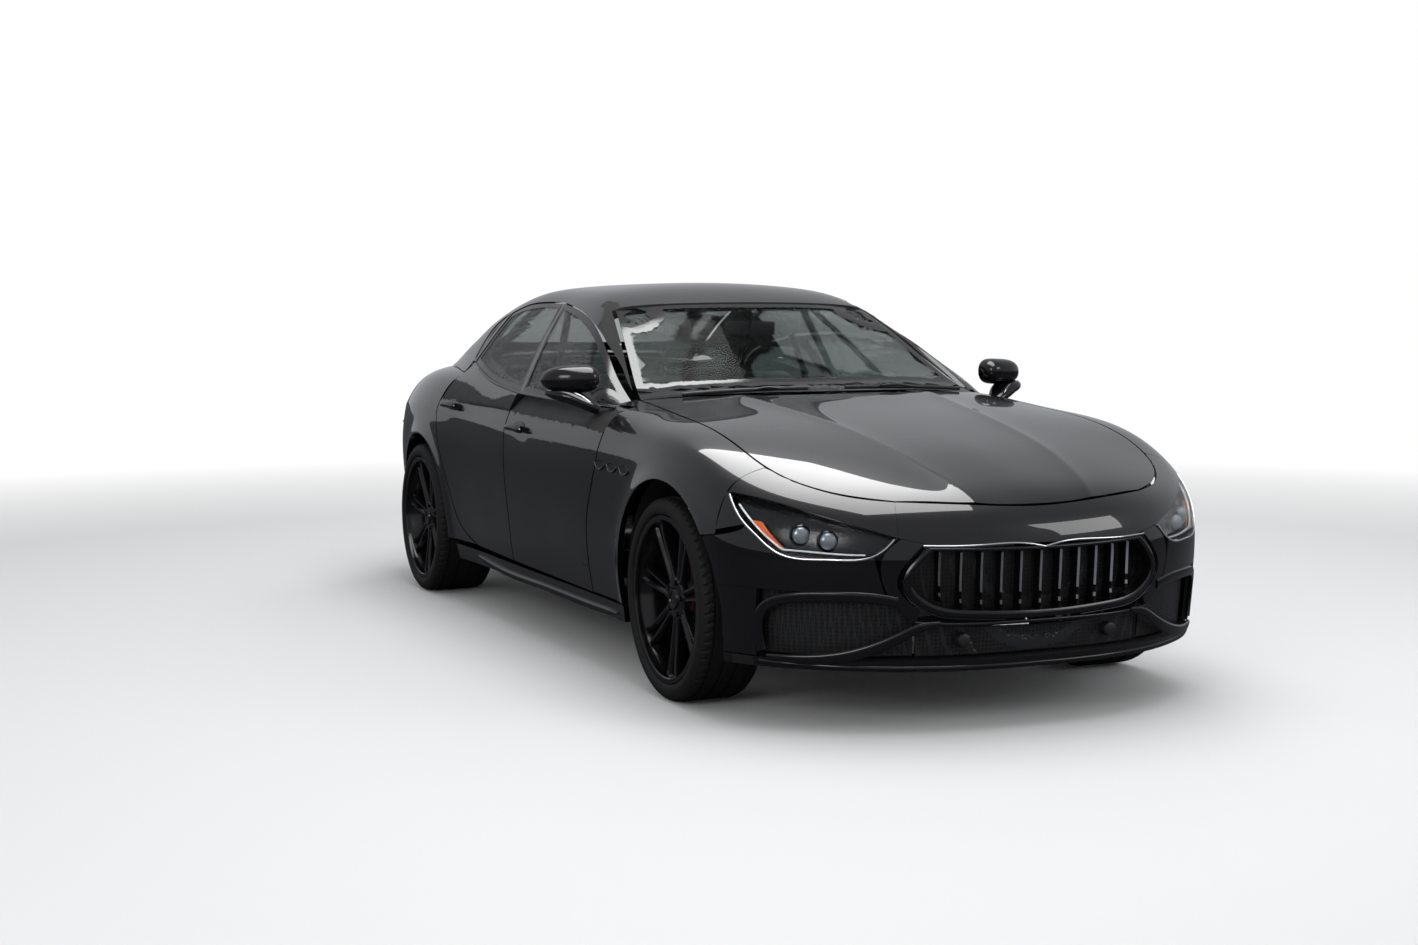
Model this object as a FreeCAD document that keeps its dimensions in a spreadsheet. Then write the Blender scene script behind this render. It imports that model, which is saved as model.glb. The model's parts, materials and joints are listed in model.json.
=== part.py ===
import FreeCAD, Part
import math
import os
import Sketcher
from bisect import bisect_right
from FreeCAD import Placement, Rotation, Vector

# A four-door sedan, in millimetres.
# The frame has +X forward, +Y to the car's left and +Z up.
# Its origin is on the ground, under the middle of the overall length.

SIZES = (
    # the whole car
    ("overall_length", 4971),
    ("overall_width", 1945),
    ("overall_height", 1461),
    ("wheelbase", 2998),
    ("front_overhang", 938),
    ("front_track", 1635),
    ("rear_track", 1653),
    # the painted skin
    ("corner_blend", 105),
    ("nose_blend", 150),
    ("tail_blend", 170),
    ("house_blend", 80),
    ("pillar_blend", 30),
    ("blend_ratio", 2.37),
    ("core_height", 600),
    ("nose_core_setback", 1185),
    ("tail_core_setback", 1185),
    ("lid_core_setback", 635),
    ("skin_reach", 1450),
    ("gradient_step", 1),
    ("sill_height", 240),
    ("belt_height", 1000),
    ("belt_tuck", 60),
    ("bow_half_width", 403),
    ("bow_depth", 48),
    ("tail_bow_half_width", 600),
    ("tail_bow_depth", 70),
    ("front_arch_lead", 20),
    ("front_arch_reach", 424),
    ("front_arch_rise", 408),
    ("rear_arch_reach", 400),
    ("rear_arch_rise", 400),
    ("seam_gap", 8),
    ("glass_gap", 8),
    ("hinge_clearance", 3),
    ("door_taper", 14),
    ("rest_gap", 0.3),
    ("panel_thickness", 22),
    ("skin_thickness", 12),
    ("roof_thickness", 34),
    ("door_thickness", 110),
    ("glass_thickness", 5),
    ("glass_inset", 4),
    ("screen_hold", 12),
    ("glass_rise", 0.6),
    ("lamp_depth", 70),
    ("sill_depth", 220),
    ("cowl_side", 130),
    ("cowl_drop", 34),
    # the wheels
    ("tyre_radius", 352.5),
    ("front_tyre_width", 245),
    ("rear_tyre_width", 285),
    ("rim_radius", 279),
    ("rim_wall", 7),
    ("rim_flange", 11),
    ("rim_well_depth", 22),
    ("rim_inset", 8),
    ("rim_lip", 8),
    ("rim_slope", 32),
    ("hub_bore", 25),
    ("hub_wall", 10),
    ("hat_wall", 10),
    ("shaft_clearance", 0.3),
    ("spoke_root_sink", 6),
    ("tyre_low_wall", 22),
    ("tyre_shoulder_drop", 18),
    ("hub_radius", 78),
    ("hub_depth", 38),
    ("hub_setback", 28),
    ("spoke_pairs", 7),
    ("spoke_width", 17),
    ("spoke_depth", 32),
    ("spoke_spread", 17),
    ("spoke_root_spread", 4),
    ("tyre_shoulder", 24),
    ("disc_radius", 180),
    ("rear_disc_radius", 175),
    ("disc_thickness", 32),
    ("disc_hat_radius", 88),
    ("disc_inset", 50),
    ("caliper_wall", 26),
    ("caliper_sweep", 58),
    ("caliper_reach", 122),
    ("running_gap", 6),
    # the running gear
    ("kingpin_inset", 78),
    ("kingpin_radius", 22),
    ("kingpin_low", 205),
    ("kingpin_high", 560),
    ("carrier_radius", 62),
    ("bearing_radius", 40),
    ("arm_thickness", 26),
    ("arm_width", 60),
    ("arm_eye_radius", 33),
    ("subframe_height", 190),
    ("subframe_depth", 90),
    ("strut_radius", 30),
    ("spring_radius", 58),
    ("shaft_radius", 17),
    ("subframe_half_depth", 90),
    ("rear_subframe_height", 240),
    ("tower_half_depth", 40),
    ("strut_setback", 180),
    ("rail_inner", 400),
    ("rail_outer", 470),
    ("rail_low", 420),
    ("rail_high", 520),
    ("rail_setback", 66),
    ("final_drive_length", 260),
    ("final_drive_width", 280),
    ("liner_wall", 6),
    ("liner_inner", 560),
    ("liner_play", 1.2),
    ("rear_liner_play", 3),
    # the floor and the frame
    ("ground_clearance", 150),
    ("floor_thickness", 22),
    ("floor_half_width", 735),
    ("tunnel_half_width", 150),
    ("tunnel_height", 130),
    ("firewall_top", 900),
    ("inner_sill", 650),
    ("sill_top", 275),
    ("wall_thickness", 20),
    ("pillar_face", 705),
    ("pillar_depth", 110),
    ("pillar_inner", 590),
    ("pillar_top", 740),
    ("b_pillar_face", 772),
    ("hinge_pin_radius", 7),
    ("hinge_arm_height", 44),
    ("hinge_gap", 6),
    ("hinge_line", 922),
    ("front_hinge_place", 686.5),
    ("rear_hinge_place", -298.5),
    ("lower_hinge_height", 400),
    ("upper_hinge_height", 700),
    ("striker_height", 600),
    ("rear_striker_height", 560),
    ("striker_play", 0.8),
    ("b_pillar_depth", 170),
    ("b_pillar_rear", 40),
    ("pillar_inner_b", 690),
    ("b_pillar_top", 950),
    ("rear_post_top", 600),
    ("post_radius", 16),
    ("post_inset", 24),
    ("post_head_place", -488.5),
    ("post_head_y", 545),
    ("rear_post_place", -1348.5),
    ("hinge_plate", 16),
    ("hood_hinge_place", 731.5),
    ("hood_hinge_drop", 87.8),
    ("hood_arm_y", 640),
    ("lid_hinge_place", -1688.5),
    ("lid_hinge_drop", 36),
    ("lid_arm_y", 480),
    ("gooseneck_reach", 100),
    ("striker_radius", 11),
    ("trunk_floor_height", 470),
    ("trunk_half_width", 500),
    ("trunk_wall", 14),
    ("tub_setback", 330),
    ("shelf_height", 1000),
    ("shelf_rear_place", -1638.5),
    ("shelf_half_width", 640),
    ("engine_length", 720),
    ("engine_width", 560),
    ("engine_height", 480),
    ("engine_gap", 12),
    ("lid_pin_radius", 7),
    # the cabin
    ("seat_width", 500),
    ("seat_height", 310),
    ("seat_depth", 500),
    ("seat_pad", 150),
    ("seat_place", -278.5),
    ("seat_y", 385),
    ("back_height", 600),
    ("back_pad", 150),
    ("back_rake", 20),
    ("headrest_width", 270),
    ("headrest_height", 170),
    ("headrest_depth", 110),
    ("seat_round", 35),
    ("headrest_round", 25),
    ("rear_seat_place", -878.5),
    ("rear_seat_width", 1080),
    ("dash_height", 260),
    ("dash_depth", 210),
    ("dash_half_width", 580),
    ("dash_top", 985),
    ("dash_place", 541.5),
    ("dash_round", 60),
    ("console_width", 240),
    ("console_height", 330),
    ("console_rear_place", -298.5),
    ("steering_radius", 188),
    ("steering_rim", 15),
    ("steering_y", 375),
    ("steering_place", 451.5),
    ("steering_height", 905),
    ("steering_rake", 24),
    ("steering_boss", 62),
    ("column_length", 120),
    # the outside fittings
    ("mirror_place", 673.5),
    ("mirror_y", 962),
    ("mirror_height", 1070),
    ("mirror_half_width", 96),
    ("mirror_half_depth", 66),
    ("mirror_half_height", 68),
    ("mirror_back", 28),
    ("mirror_arm", 30),
    ("mirror_foot_place", 704.5),
    ("mirror_foot_z", 955),
    ("grille_recess", 34),
    ("grille_bar_width", 15),
    ("grille_bar_depth", 26),
    ("grille_frame_width", 24),
    ("intake_recess", 40),
    ("lip_depth", 90),
    ("pipe_radius", 32),
    ("tip_radius", 48),
    ("tip_wall", 4),
    ("tip_length", 150),
    ("tip_y", 560),
    ("tip_spacing", 118),
    ("tip_height", 320),
    ("muffler_length", 150),
    ("muffler_width", 1300),
    ("muffler_height", 210),
    ("muffler_setback", 155.5),
    ("pipe_height", 196),
    ("pipe_setback", 332.5),
    ("down_pipe_length", 84),
    ("tip_setback", 15.5),
    ("tip_reach", 60),
)

doc = FreeCAD.newDocument("sedan")
sheet = doc.addObject("Spreadsheet::Sheet", "sizes")
for row, (alias, value) in enumerate(SIZES, 1):
    sheet.set(f"A{row}", alias)
    sheet.set(f"B{row}", str(value))
    sheet.setAlias(f"B{row}", alias)
doc.recompute()


class Sizes:
    """The sheet's values by name."""


s = Sizes()
for alias, value in SIZES:
    setattr(s, alias, float(sheet.get(alias)))

half_length = s.overall_length / 2
half_width = s.overall_width / 2
front_axle_x = half_length - s.front_overhang
rear_axle_x = front_axle_x - s.wheelbase
rear_overhang = half_length + rear_axle_x
middle_x = (front_axle_x + rear_axle_x) / 2
front_hinge_x = middle_x + s.front_hinge_place
rear_hinge_x = middle_x + s.rear_hinge_place
post_head_x = middle_x + s.post_head_place
rear_post_x = middle_x + s.rear_post_place
hood_hinge_x = middle_x + s.hood_hinge_place
lid_hinge_x = middle_x + s.lid_hinge_place
shelf_rear_x = middle_x + s.shelf_rear_place
seat_x = middle_x + s.seat_place
rear_seat_x = middle_x + s.rear_seat_place
dash_x = middle_x + s.dash_place
console_rear_x = middle_x + s.console_rear_place
steering_x = middle_x + s.steering_place
mirror_x = middle_x + s.mirror_place
mirror_foot_x = middle_x + s.mirror_foot_place
muffler_x = -half_length + s.muffler_setback
tip_end = -half_length + s.tip_setback
wheel_z = s.tyre_radius
FRONT, REAR = 1, -1
LEFT, RIGHT = 1, -1
SIDES = (("left", LEFT), ("right", RIGHT))
SURFACE_DEGREE = 3
FULL_TURN, HALF_TURN, QUARTER_TURN = 360, 180, 90
ARCH_STEP = 10
halvings, seating_turns = 60, 3
ALONG_X, ALONG_Y, ALONG_Z = Vector(1, 0, 0), Vector(0, 1, 0), Vector(0, 0, 1)
kept = []


def station(share):
    """A place along the car: 2 nose, 1 front axle, -1 rear axle, -2 tail."""
    if share > 1:
        return front_axle_x + (share - 1) * s.front_overhang
    if share < -1:
        return rear_axle_x + (share + 1) * rear_overhang
    return (front_axle_x + rear_axle_x) / 2 + share * s.wheelbase / 2


def up(share):
    return share * s.overall_height


def out(share):
    return share * half_width


class Curve:
    """A natural cubic spline through points of rising place, straight beyond them."""

    def __init__(self, points):
        self.place = [place for place, value in points]
        self.value = [value for place, value in points]
        count = len(points)
        step = [b - a for a, b in zip(self.place, self.place[1:])]
        slope = [(b - a) / c for a, b, c in zip(self.value, self.value[1:], step)]
        ratio = [0] * count
        bend = [0] * count
        for i in range(1, count - 1):
            scale = 2 * (step[i - 1] + step[i]) - step[i - 1] * ratio[i - 1]
            ratio[i] = step[i] / scale
            bend[i] = (6 * (slope[i] - slope[i - 1]) - step[i - 1] * bend[i - 1]) / scale
        for i in range(count - 2, 0, -1):
            bend[i] -= ratio[i] * bend[i + 1]
        self.step = step
        self.bend = bend
        self.first_slope = slope[0] - bend[1] * step[0] / 6
        self.last_slope = slope[-1] + bend[-2] * step[-1] / 6

    def __call__(self, place):
        if place <= self.place[0]:
            return self.value[0] + (place - self.place[0]) * self.first_slope
        if place >= self.place[-1]:
            return self.value[-1] + (place - self.place[-1]) * self.last_slope
        i = bisect_right(self.place, place) - 1
        h = self.step[i]
        a = (self.place[i + 1] - place) / h
        b = 1 - a
        cubic = (a * a * a - a) * self.bend[i] + (b * b * b - b) * self.bend[i + 1]
        return a * self.value[i] + b * self.value[i + 1] + cubic * h * h / 6


# The skin's lines along the car, as shares: each pair is a station and a share of
# half the width, or of the height.
waist_shares = (
    (-2.01, .869), (-1.68, .89), (-1.34, .957), (-1, .99), (-.8, .987), (-.57, .977), (-.23, .977),
    (.17, .974), (.5, .972), (.77, .976), (1, .989), (1.27, .982), (1.54, .965), (1.8, .923), (2.12, .829))
waist_height_shares = (
    (-2.01, .438), (-1.53, .472), (-1, .493), (-.57, .465), (-.03, .438), (.57, .438), (.97, .438),
    (1.38, .383), (2.02, .329))
sill_tuck_shares = (
    (-2.01, .082), (-1.53, .053), (-.97, .028), (-.57, .044), (-.03, .044), (.3, .044), (.63, .039),
    (.97, .026), (1.48, .027), (2.02, .036))
belt_tuck_shares = (
    (-2.01, .099), (-1.53, .1), (-1, .095), (-.7, .077), (-.37, .062), (-.03, .053), (.3, .045),
    (.63, .034), (.97, .039), (1.48, .056), (2.02, .065))
top_middle_shares = (
    (-2.06, .732), (-1.82, .743), (-1.53, .753), (-1.24, .758), (-.97, .76), (-.57, .726), (-.03, .705),
    (.37, .717), (.6, .708), (.8, .682), (1, .654), (1.27, .626), (1.54, .591), (1.8, .546),
    (1.96, .517), (2.12, .474))
top_edge_shares = (
    (-2.06, .674), (-1.82, .682), (-1.53, .698), (-1.24, .719), (-.97, .73), (-.77, .728), (-.57, .716),
    (-.3, .7), (-.03, .69), (.37, .681), (.6, .672), (.8, .656), (1, .639), (1.27, .602), (1.54, .533),
    (1.8, .468), (1.96, .433), (2.12, .383))
top_edge_y_share = .874
house_width_shares = (
    (-1.53, .656), (-1.34, .755), (-1.05, .839), (-.83, .883), (-.63, .903), (-.43, .905), (-.23, .907),
    (-.03, .909), (.23, .904), (.5, .889), (.63, .866), (.83, .794))
roof_shares = (
    (-1.63, .701), (-1.48, .736), (-1.29, .783), (-1.05, .873), (-.83, .953), (-.63, .992), (-.4, 1),
    (-.2, .999), (-.03, .984), (.1, .943), (.3, .839), (.5, .733), (.6, .678), (.7, .619))
roof_crown_shares = ((-1.34, .089), (-.83, .07), (-.43, .068), (-.17, .078), (.17, .083), (.63, .094))
# A height's share of the height, and the setback's share of the overhang.
nose_setback_shares = (
    (.103, .048), (.151, .032), (.205, .023), (.274, .013), (.342, .003), (.411, .002), (.479, .016),
    (.548, .048))
tail_setback_shares = (
    (.137, .102), (.205, .058), (.308, .02), (.411, 0), (.479, .003), (.548, .022), (.616, .036),
    (.684, .034), (.753, .034))
side_lean_share = .7
side_curl_share = .219
tuck_slope_share = 1.5
house_tail_share = .86
low_power, high_power, crown_power, bow_power = 2.2, 2.4, 2.5, 2.6
tuck_limit_share = 1.6


def along(shares, scale):
    return Curve([(station(place), value * scale) for place, value in shares])


waist = along(waist_shares, half_width)
waist_height = along(waist_height_shares, s.overall_height)
sill_tuck = along(sill_tuck_shares, half_width)
belt_tuck = along(belt_tuck_shares, half_width)
top_middle = along(top_middle_shares, s.overall_height)
top_edge = along(top_edge_shares, s.overall_height)
house_width = along(house_width_shares, half_width)
roof = along(roof_shares, s.overall_height)
roof_crown = along(roof_crown_shares, s.overall_height)
nose_x = Curve([(up(a), half_length - b * s.front_overhang) for a, b in nose_setback_shares])
tail_x = Curve([(up(a), half_length - b * rear_overhang) for a, b in tail_setback_shares])
front_arch = (front_axle_x + s.front_arch_lead, s.front_arch_reach, s.front_arch_rise)
rear_arch = (rear_axle_x, s.rear_arch_reach, s.rear_arch_rise)
skin_end = half_length + s.nose_blend
lowest_skin, highest_skin = s.sill_height / 2, s.overall_height


def between(low, value, high):
    return max(low, min(high, value))


def smooth_max(a, b, radius):
    """The larger of two, rounded to a radius where they meet."""
    soft = radius / s.blend_ratio
    return max(a, b) + soft * math.log1p(math.exp(-abs(a - b) / soft))


def flank(x, z):
    """Half the body's width at a place and height."""
    middle = waist_height(x)
    low = between(0, (middle - z) / (middle - s.sill_height), tuck_limit_share)
    high = between(0, (z - middle) / (top_edge(x) - middle), tuck_limit_share)
    return waist(x) - sill_tuck(x) * low ** low_power - belt_tuck(x) * high ** high_power


def body_field(x, y, z):
    """Below zero inside the lower body, and about a distance near its skin."""
    x = between(-skin_end, x, skin_end)
    middle, edge = top_middle(x), top_edge(x)
    across = (abs(y) / out(top_edge_y_share)) ** crown_power
    field = smooth_max(abs(y) - flank(x, z), z - middle + (middle - edge) * across, s.corner_blend)
    height = between(lowest_skin, z, highest_skin)
    bow = s.bow_depth * (abs(y) / s.bow_half_width) ** bow_power
    field = smooth_max(field, x - nose_x(height) + bow, s.nose_blend)
    bow = s.tail_bow_depth * (abs(y) / s.tail_bow_half_width) ** bow_power
    return smooth_max(field, -x - tail_x(height) + bow, s.tail_blend)


def house_field(x, y, z):
    """Below zero inside the glasshouse."""
    x = between(-skin_end, x, skin_end)
    rise = z - s.belt_height
    lean = side_lean_share * max(rise, -s.belt_tuck)
    lean += side_curl_share * max(rise, 0) ** 2 / s.overall_height
    lean += tuck_slope_share * max(-s.belt_tuck - rise, 0)
    crown = roof_crown(x) * (y / half_width) ** 2
    house = smooth_max(abs(y) - house_width(x) + lean, z - roof(x) + crown, s.house_blend)
    return max(house, -x - house_tail_share * half_length)


def skin(x, y, z):
    return -smooth_max(-body_field(x, y, z), -house_field(x, y, z), s.pillar_blend)


def reach(field, start, way):
    """How far it is from an inside place to the skin."""
    near, far = 0, s.skin_reach
    low = field(*start)
    high = field(*(start + way * far))
    side = 0
    for turn in range(halvings):
        middle = (near * high - far * low) / (high - low)
        value = field(*(start + way * middle))
        if abs(value) < s.gradient_step / 1e4:
            return middle
        if value > 0:
            far, high = middle, value
            if side == 1:
                low /= 2
            side = 1
        else:
            near, low = middle, value
            if side == -1:
                high /= 2
            side = -1
    return middle


def side_point(x, z, field=skin):
    start = Vector(x, 0, z)
    return start + Vector(0, 1, 0) * reach(field, start, Vector(0, 1, 0))


def top_point(x, y, field=skin):
    start = Vector(x, y, s.core_height)
    return start + Vector(0, 0, 1) * reach(field, start, Vector(0, 0, 1))


def round_point(x, angle, field=skin):
    """The skin in a direction about the car's long middle line, in degrees above level."""
    way = Vector(0, math.cos(math.radians(angle)), math.sin(math.radians(angle)))
    start = Vector(x, 0, s.core_height)
    return start + way * reach(field, start, way)


def nose_point(angle, z, field=body_field):
    way = Vector(math.cos(math.radians(angle)), math.sin(math.radians(angle)), 0)
    start = Vector(half_length - s.nose_core_setback, 0, z)
    return start + way * reach(field, start, way)


def tail_point(angle, z, field=body_field):
    way = Vector(-math.cos(math.radians(angle)), math.sin(math.radians(angle)), 0)
    start = Vector(s.tail_core_setback - half_length, 0, z)
    return start + way * reach(field, start, way)


def lid_point(y, angle, field=skin):
    way = Vector(-math.sin(math.radians(angle)), 0, math.cos(math.radians(angle)))
    start = Vector(s.lid_core_setback - half_length, y, s.core_height)
    return start + way * reach(field, start, way)


def inward(point):
    """The way into the body, square to its skin."""
    d = s.gradient_step
    x, y, z = point
    slope = Vector(
        skin(x + d, y, z) - skin(x - d, y, z),
        skin(x, y + d, z) - skin(x, y - d, z),
        skin(x, y, z + d) - skin(x, y, z - d))
    return slope.normalize() * -1


def flat(a, b):
    return Vector(a, b, 0)


def through(points, project=flat):
    """A smooth edge through pairs, as a function of 0 to 1 of its real length."""
    spots = [project(*point) for point in points]
    runs = [0]
    for one, other in zip(spots, spots[1:]):
        runs.append(runs[-1] + (other - one).Length)
    places = [run / runs[-1] for run in runs]
    first = Curve([(place, point[0]) for place, point in zip(places, points)])
    second = Curve([(place, point[1]) for place, point in zip(places, points)])
    return lambda t: (first(t), second(t))


def straight(a, b):
    return lambda t: (a[0] + (b[0] - a[0]) * t, a[1] + (b[1] - a[1]) * t)


def joined(share, first, second):
    """Two edges end to end, the first taking a share of the whole."""
    return lambda t: first(t / share) if t < share else second((t - share) / (1 - share))


def fill(low, high, start, end, u, v):
    """A place in the patch between four edges."""
    corners = (low(0), low(1), high(0), high(1))
    weights = ((1 - u) * (1 - v), u * (1 - v), (1 - u) * v, u * v)
    result = []
    for k in (0, 1):
        across = (1 - v) * low(u)[k] + v * high(u)[k] + (1 - u) * start(v)[k] + u * end(v)[k]
        result.append(across - sum(w * c[k] for w, c in zip(weights, corners)))
    return result


def spread(count):
    return [i / (count - 1) for i in range(count)]


def net(project, edges, counts, gaps):
    """Rows of points on the skin, held back from the low, high, start and end edges."""
    low, high, start, end = edges
    low_gap, high_gap, start_gap, end_gap = gaps
    place = lambda u, v: project(*fill(low, high, start, end, u, v))
    rows = []
    for v in spread(counts[1]):
        width = (place(1, v) - place(0, v)).Length
        row = []
        for u in spread(counts[0]):
            across = start_gap / width + u * (1 - (start_gap + end_gap) / width)
            height = (place(across, 1) - place(across, 0)).Length
            row.append(place(across, low_gap / height + v * (1 - (low_gap + high_gap) / height)))
        rows.append(row)
    return rows


def poles_for(points):
    """Control points whose even cubic curve runs close to the points."""
    poles = [points[0]]
    for before, here, after in zip(points, points[1:], points[2:]):
        poles.append(here + (here * 2 - before - after) / 6)
    return poles + [points[-1]]


def face_of(rows):
    """An even cubic surface that runs close to rows of points."""
    rows = [poles_for(row) for row in rows]
    rows = list(zip(*[poles_for(list(column)) for column in zip(*rows)]))
    knots, repeats = [], []
    for count in (len(rows), len(rows[0])):
        spans = count - SURFACE_DEGREE
        knots.append(list(range(spans + 1)))
        repeats.append([SURFACE_DEGREE + 1] + [1] * (spans - 1) + [SURFACE_DEGREE + 1])
    surface = Part.BSplineSurface()
    surface.buildFromPolesMultsKnots(
        [list(row) for row in rows], repeats[0], repeats[1], knots[0], knots[1], False, False,
        SURFACE_DEGREE, SURFACE_DEGREE)
    return surface


def closed(outer_rows, inner_rows):
    """A solid between two nets, with ruled sides."""
    outer, inner = face_of(outer_rows), face_of(inner_rows)
    faces = [outer.toShape(), inner.toShape()]
    u0, u1, v0, v1 = outer.bounds()
    a0, a1, b0, b1 = inner.bounds()
    pairs = (
        (outer.uIso(u0), inner.uIso(a0)), (outer.uIso(u1), inner.uIso(a1)),
        (outer.vIso(v0), inner.vIso(b0)), (outer.vIso(v1), inner.vIso(b1)))
    for one, other in pairs:
        faces.append(Part.makeRuledSurface(one.toShape(), other.toShape()))
    shell = Part.makeShell(faces)
    shell.sewShape()
    solid = Part.makeSolid(shell)
    if solid.Volume < 0:
        solid.reverse()
    return solid


def panel(project, edges, counts, thickness, gaps=None, inset=0, way=None):
    """A curved panel on the skin of a thickness, between four edges."""
    skin_rows = net(project, edges, counts, gaps or (s.seam_gap / 2,) * 4)
    outer, inner = [], []
    for row in skin_rows:
        ways = [way or inward(point) for point in row]
        outer.append([point + w * inset for point, w in zip(row, ways)])
        inner.append([point + w * (inset + thickness) for point, w in zip(row, ways)])
    return closed(outer, inner)


def mirrored(shape):
    return shape.mirror(Vector(0, 0, 0), Vector(0, 1, 0))


def both(shape):
    return [shape, mirrored(shape)]


def keep(label, shapes, position=None):
    """A feature of the document that holds one sub-part."""
    shapes = shapes if isinstance(shapes, list) else [shapes]
    feature = doc.addObject("Part::Feature", label)
    feature.Label = label
    feature.Shape = shapes[0] if len(shapes) == 1 else Part.makeCompound(shapes)
    feature.Placement = position or Placement()
    kept.append(feature)
    return feature


def box(x0, x1, y0, y1, z0, z1):
    corner = Vector(min(x0, x1), min(y0, y1), min(z0, z1))
    return Part.makeBox(abs(x1 - x0), abs(y1 - y0), abs(z1 - z0), corner)


def rod(start, end, radius):
    way = end - start
    return Part.makeCylinder(radius, way.Length, start, way)


def fused(shapes):
    return shapes[0].multiFuse(shapes[1:]).removeSplitter()


def flank_place(point):
    """A point of the skin as a station and an angle about the long middle line."""
    return point.x, math.degrees(math.atan2(point.z - s.core_height, abs(point.y)))


def on_side(place, height):
    return flank_place(side_point(station(place), up(height)))


def on_top(place, width):
    return flank_place(top_point(station(place), out(width)))


def nose_place(point):
    angle = math.atan2(point.y, point.x - half_length + s.nose_core_setback)
    return math.degrees(angle), point.z


def tail_place(point):
    angle = math.atan2(point.y, s.tail_core_setback - half_length - point.x)
    return math.degrees(angle), point.z


def levels(shares):
    """Pairs of an angle and a share of the height, as angles and heights."""
    return [(angle, up(height)) for angle, height in shares]


def sides(shares):
    return [(station(place), up(height)) for place, height in shares]


def plans(shares):
    return [(station(place), out(width)) for place, width in shares]


def arch_edge(arch, first, last):
    """The wheel arch between two angles, as a place and a height."""
    middle_x, half, rise = arch

    def edge(t):
        angle = math.radians(first + (last - first) * t)
        return middle_x + half * math.cos(angle), wheel_z + rise * math.sin(angle)
    return edge


def arch_angle(arch, height, front):
    """Where the arch's front or rear half is at a height, in degrees."""
    angle = math.degrees(math.asin((height - wheel_z) / arch[2]))
    return angle if front else 180 - angle


def carried(edge, place):
    """An edge in one pair of measures, carried point by point to another."""
    return lambda t: place(*edge(t))


def from_side(x, z):
    return flank_place(side_point(x, z))


def side_to_nose(x, z):
    return nose_place(side_point(x, z))


def side_to_tail(x, z):
    return tail_place(side_point(x, z))


# The seams: a station with a share of the height on a side, a share of half the width
# on top, and on the nose and tail an angle about their core with a share of the height.
front_door_edge_shares = ((.498, .188), (.501, .308), (.507, .374), (.558, .499), (.598, .628), (.605, .667))
door_split_shares = ((-.132, .196), (-.129, .274), (-.156, .513), (-.159, .582), (-.129, .686))
rear_door_edge_shares = (
    (-.473, .203), (-.52, .218), (-.609, .246), (-.671, .32), (-.739, .419), (-.8, .513), (-.818, .593),
    (-.8, .664), (-.745, .757))
front_belt_shares = ((.605, .667), (.546, .672), (.2, .679), (-.129, .686))
rear_belt_shares = ((-.129, .686), (-.201, .691), (-.443, .71), (-.631, .739), (-.745, .757))
window_tip_share = .136
front_window_top_shares = (
    (.49, .683), (.435, .712), (.208, .829), (.064, .88), (-.096, .914), (-.311, .939))
window_split_shares = ((-.129, .686), (-.311, .939))
rear_window_top_shares = ((-.311, .939), (-.516, .94), (-.64, .93), (-.735, .908))
quarter_split_shares = ((-.745, .757), (-.735, .908))
quarter_window_low_shares = ((-.765, .765), (-.785, .774))
quarter_window_rear_shares = ((-.785, .774), (-.824, .868), (-.79, .893))
quarter_front_shares = ((-.765, .765), (-.755, .904))
glass_side_shares = ((-.72, .571), (-.97, .602), (-1.32, .622))
screen_side_shares = ((.072, .597), (.52, .76))
screen_ahead_shares = ((.66, .78),)
roof_front_shares = ((.072, -.597), (.111, 0), (.072, .597))
roof_rear_shares = ((-.72, -.571), (-.753, 0), (-.72, .571))
screen_low_shares = ((.52, -.76), (.585, -.4), (.621, 0), (.585, .4), (.52, .76))
rear_glass_low_shares = ((-1.32, -.622), (-1.375, -.3), (-1.39, 0), (-1.375, .3), (-1.32, .622))
hood_side_shares = (
    (1.827, .477), (1.768, .566), (1.698, .638), (1.551, .731), (1.441, .766), (1.31, .781), (1.02, .781),
    (.801, .771), (.539, .761))
hood_front_shares = ((1.827, -.477), (1.907, -.25), (1.934, 0), (1.907, .25), (1.827, .477))
hood_rear_shares = ((.539, -.761), (.641, -.411), (.678, 0), (.641, .411), (.539, .761))
fender_top_shares = ((.48, .767), (.53, .767), (.62, .755), (.801, .745), (1.02, .75), (1.31, .745), (1.45, .73))
hood_flank_shares = ((1.827, .477), (1.768, .566), (1.698, .638), (1.551, .731))
grille_top_shares = ((-24, .431), (-19.6, .418), (0, .413), (19.6, .418), (24, .431))
lamp_top_shares = ((24, .431), (32.1, .463), (39.9, .491), (46, .508), (52.6, .519))
lamp_low_shares = ((27.7, .392), (34.3, .384), (42.4, .394))
lamp_outer_shares = ((42.4, .394), (46.7, .436), (48, .452), (52.6, .519))
cheek_low_shares = ((26, .305), (36, .311), (46, .315))
inner_cheek_start_shares = ((20.6, .27), (24.2, .33), (20.1, .419))
inner_cheek_end_shares = ((21.5, .246), (25.2, .3), (26.6, .35), (26.2, .395), (23.6, .429))
intake_outer_shares = ((46.4, .165), (46.4, .202), (46, .315))
intake_low_shares = ((21.5, .167), (32, .167), (46.4, .167))
intake_high_shares = ((21.5, .246), (26, .305), (36, .311), (46, .315))
centre_low_shares = ((-21, .167), (0, .167), (21, .167))
centre_high_shares = ((-21, .235), (0, .225), (21, .235))
lip_low_share, lip_high_share, column_low_share = .141, .162, .165
bumper_seam_share = .415
arch_foot_share = .188
fender_rear_share, fender_nose_share = .48, 1.45
fender_heel_share = .507
roof_skirt_angle = 2
sill_low_shares = ((-.68, .142), (.71, .142))
sill_high_shares = ((-.69, .19), (.72, .188))
rear_arch_foot_share = .2
quarter_high_shares = ((-.745, .757), (-.9, .781), (-1.1, .72), (-1.33, .66))
quarter_lid_shares = ((-1.33, .66), (-1.6, .665), (-1.85, .68))
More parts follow.
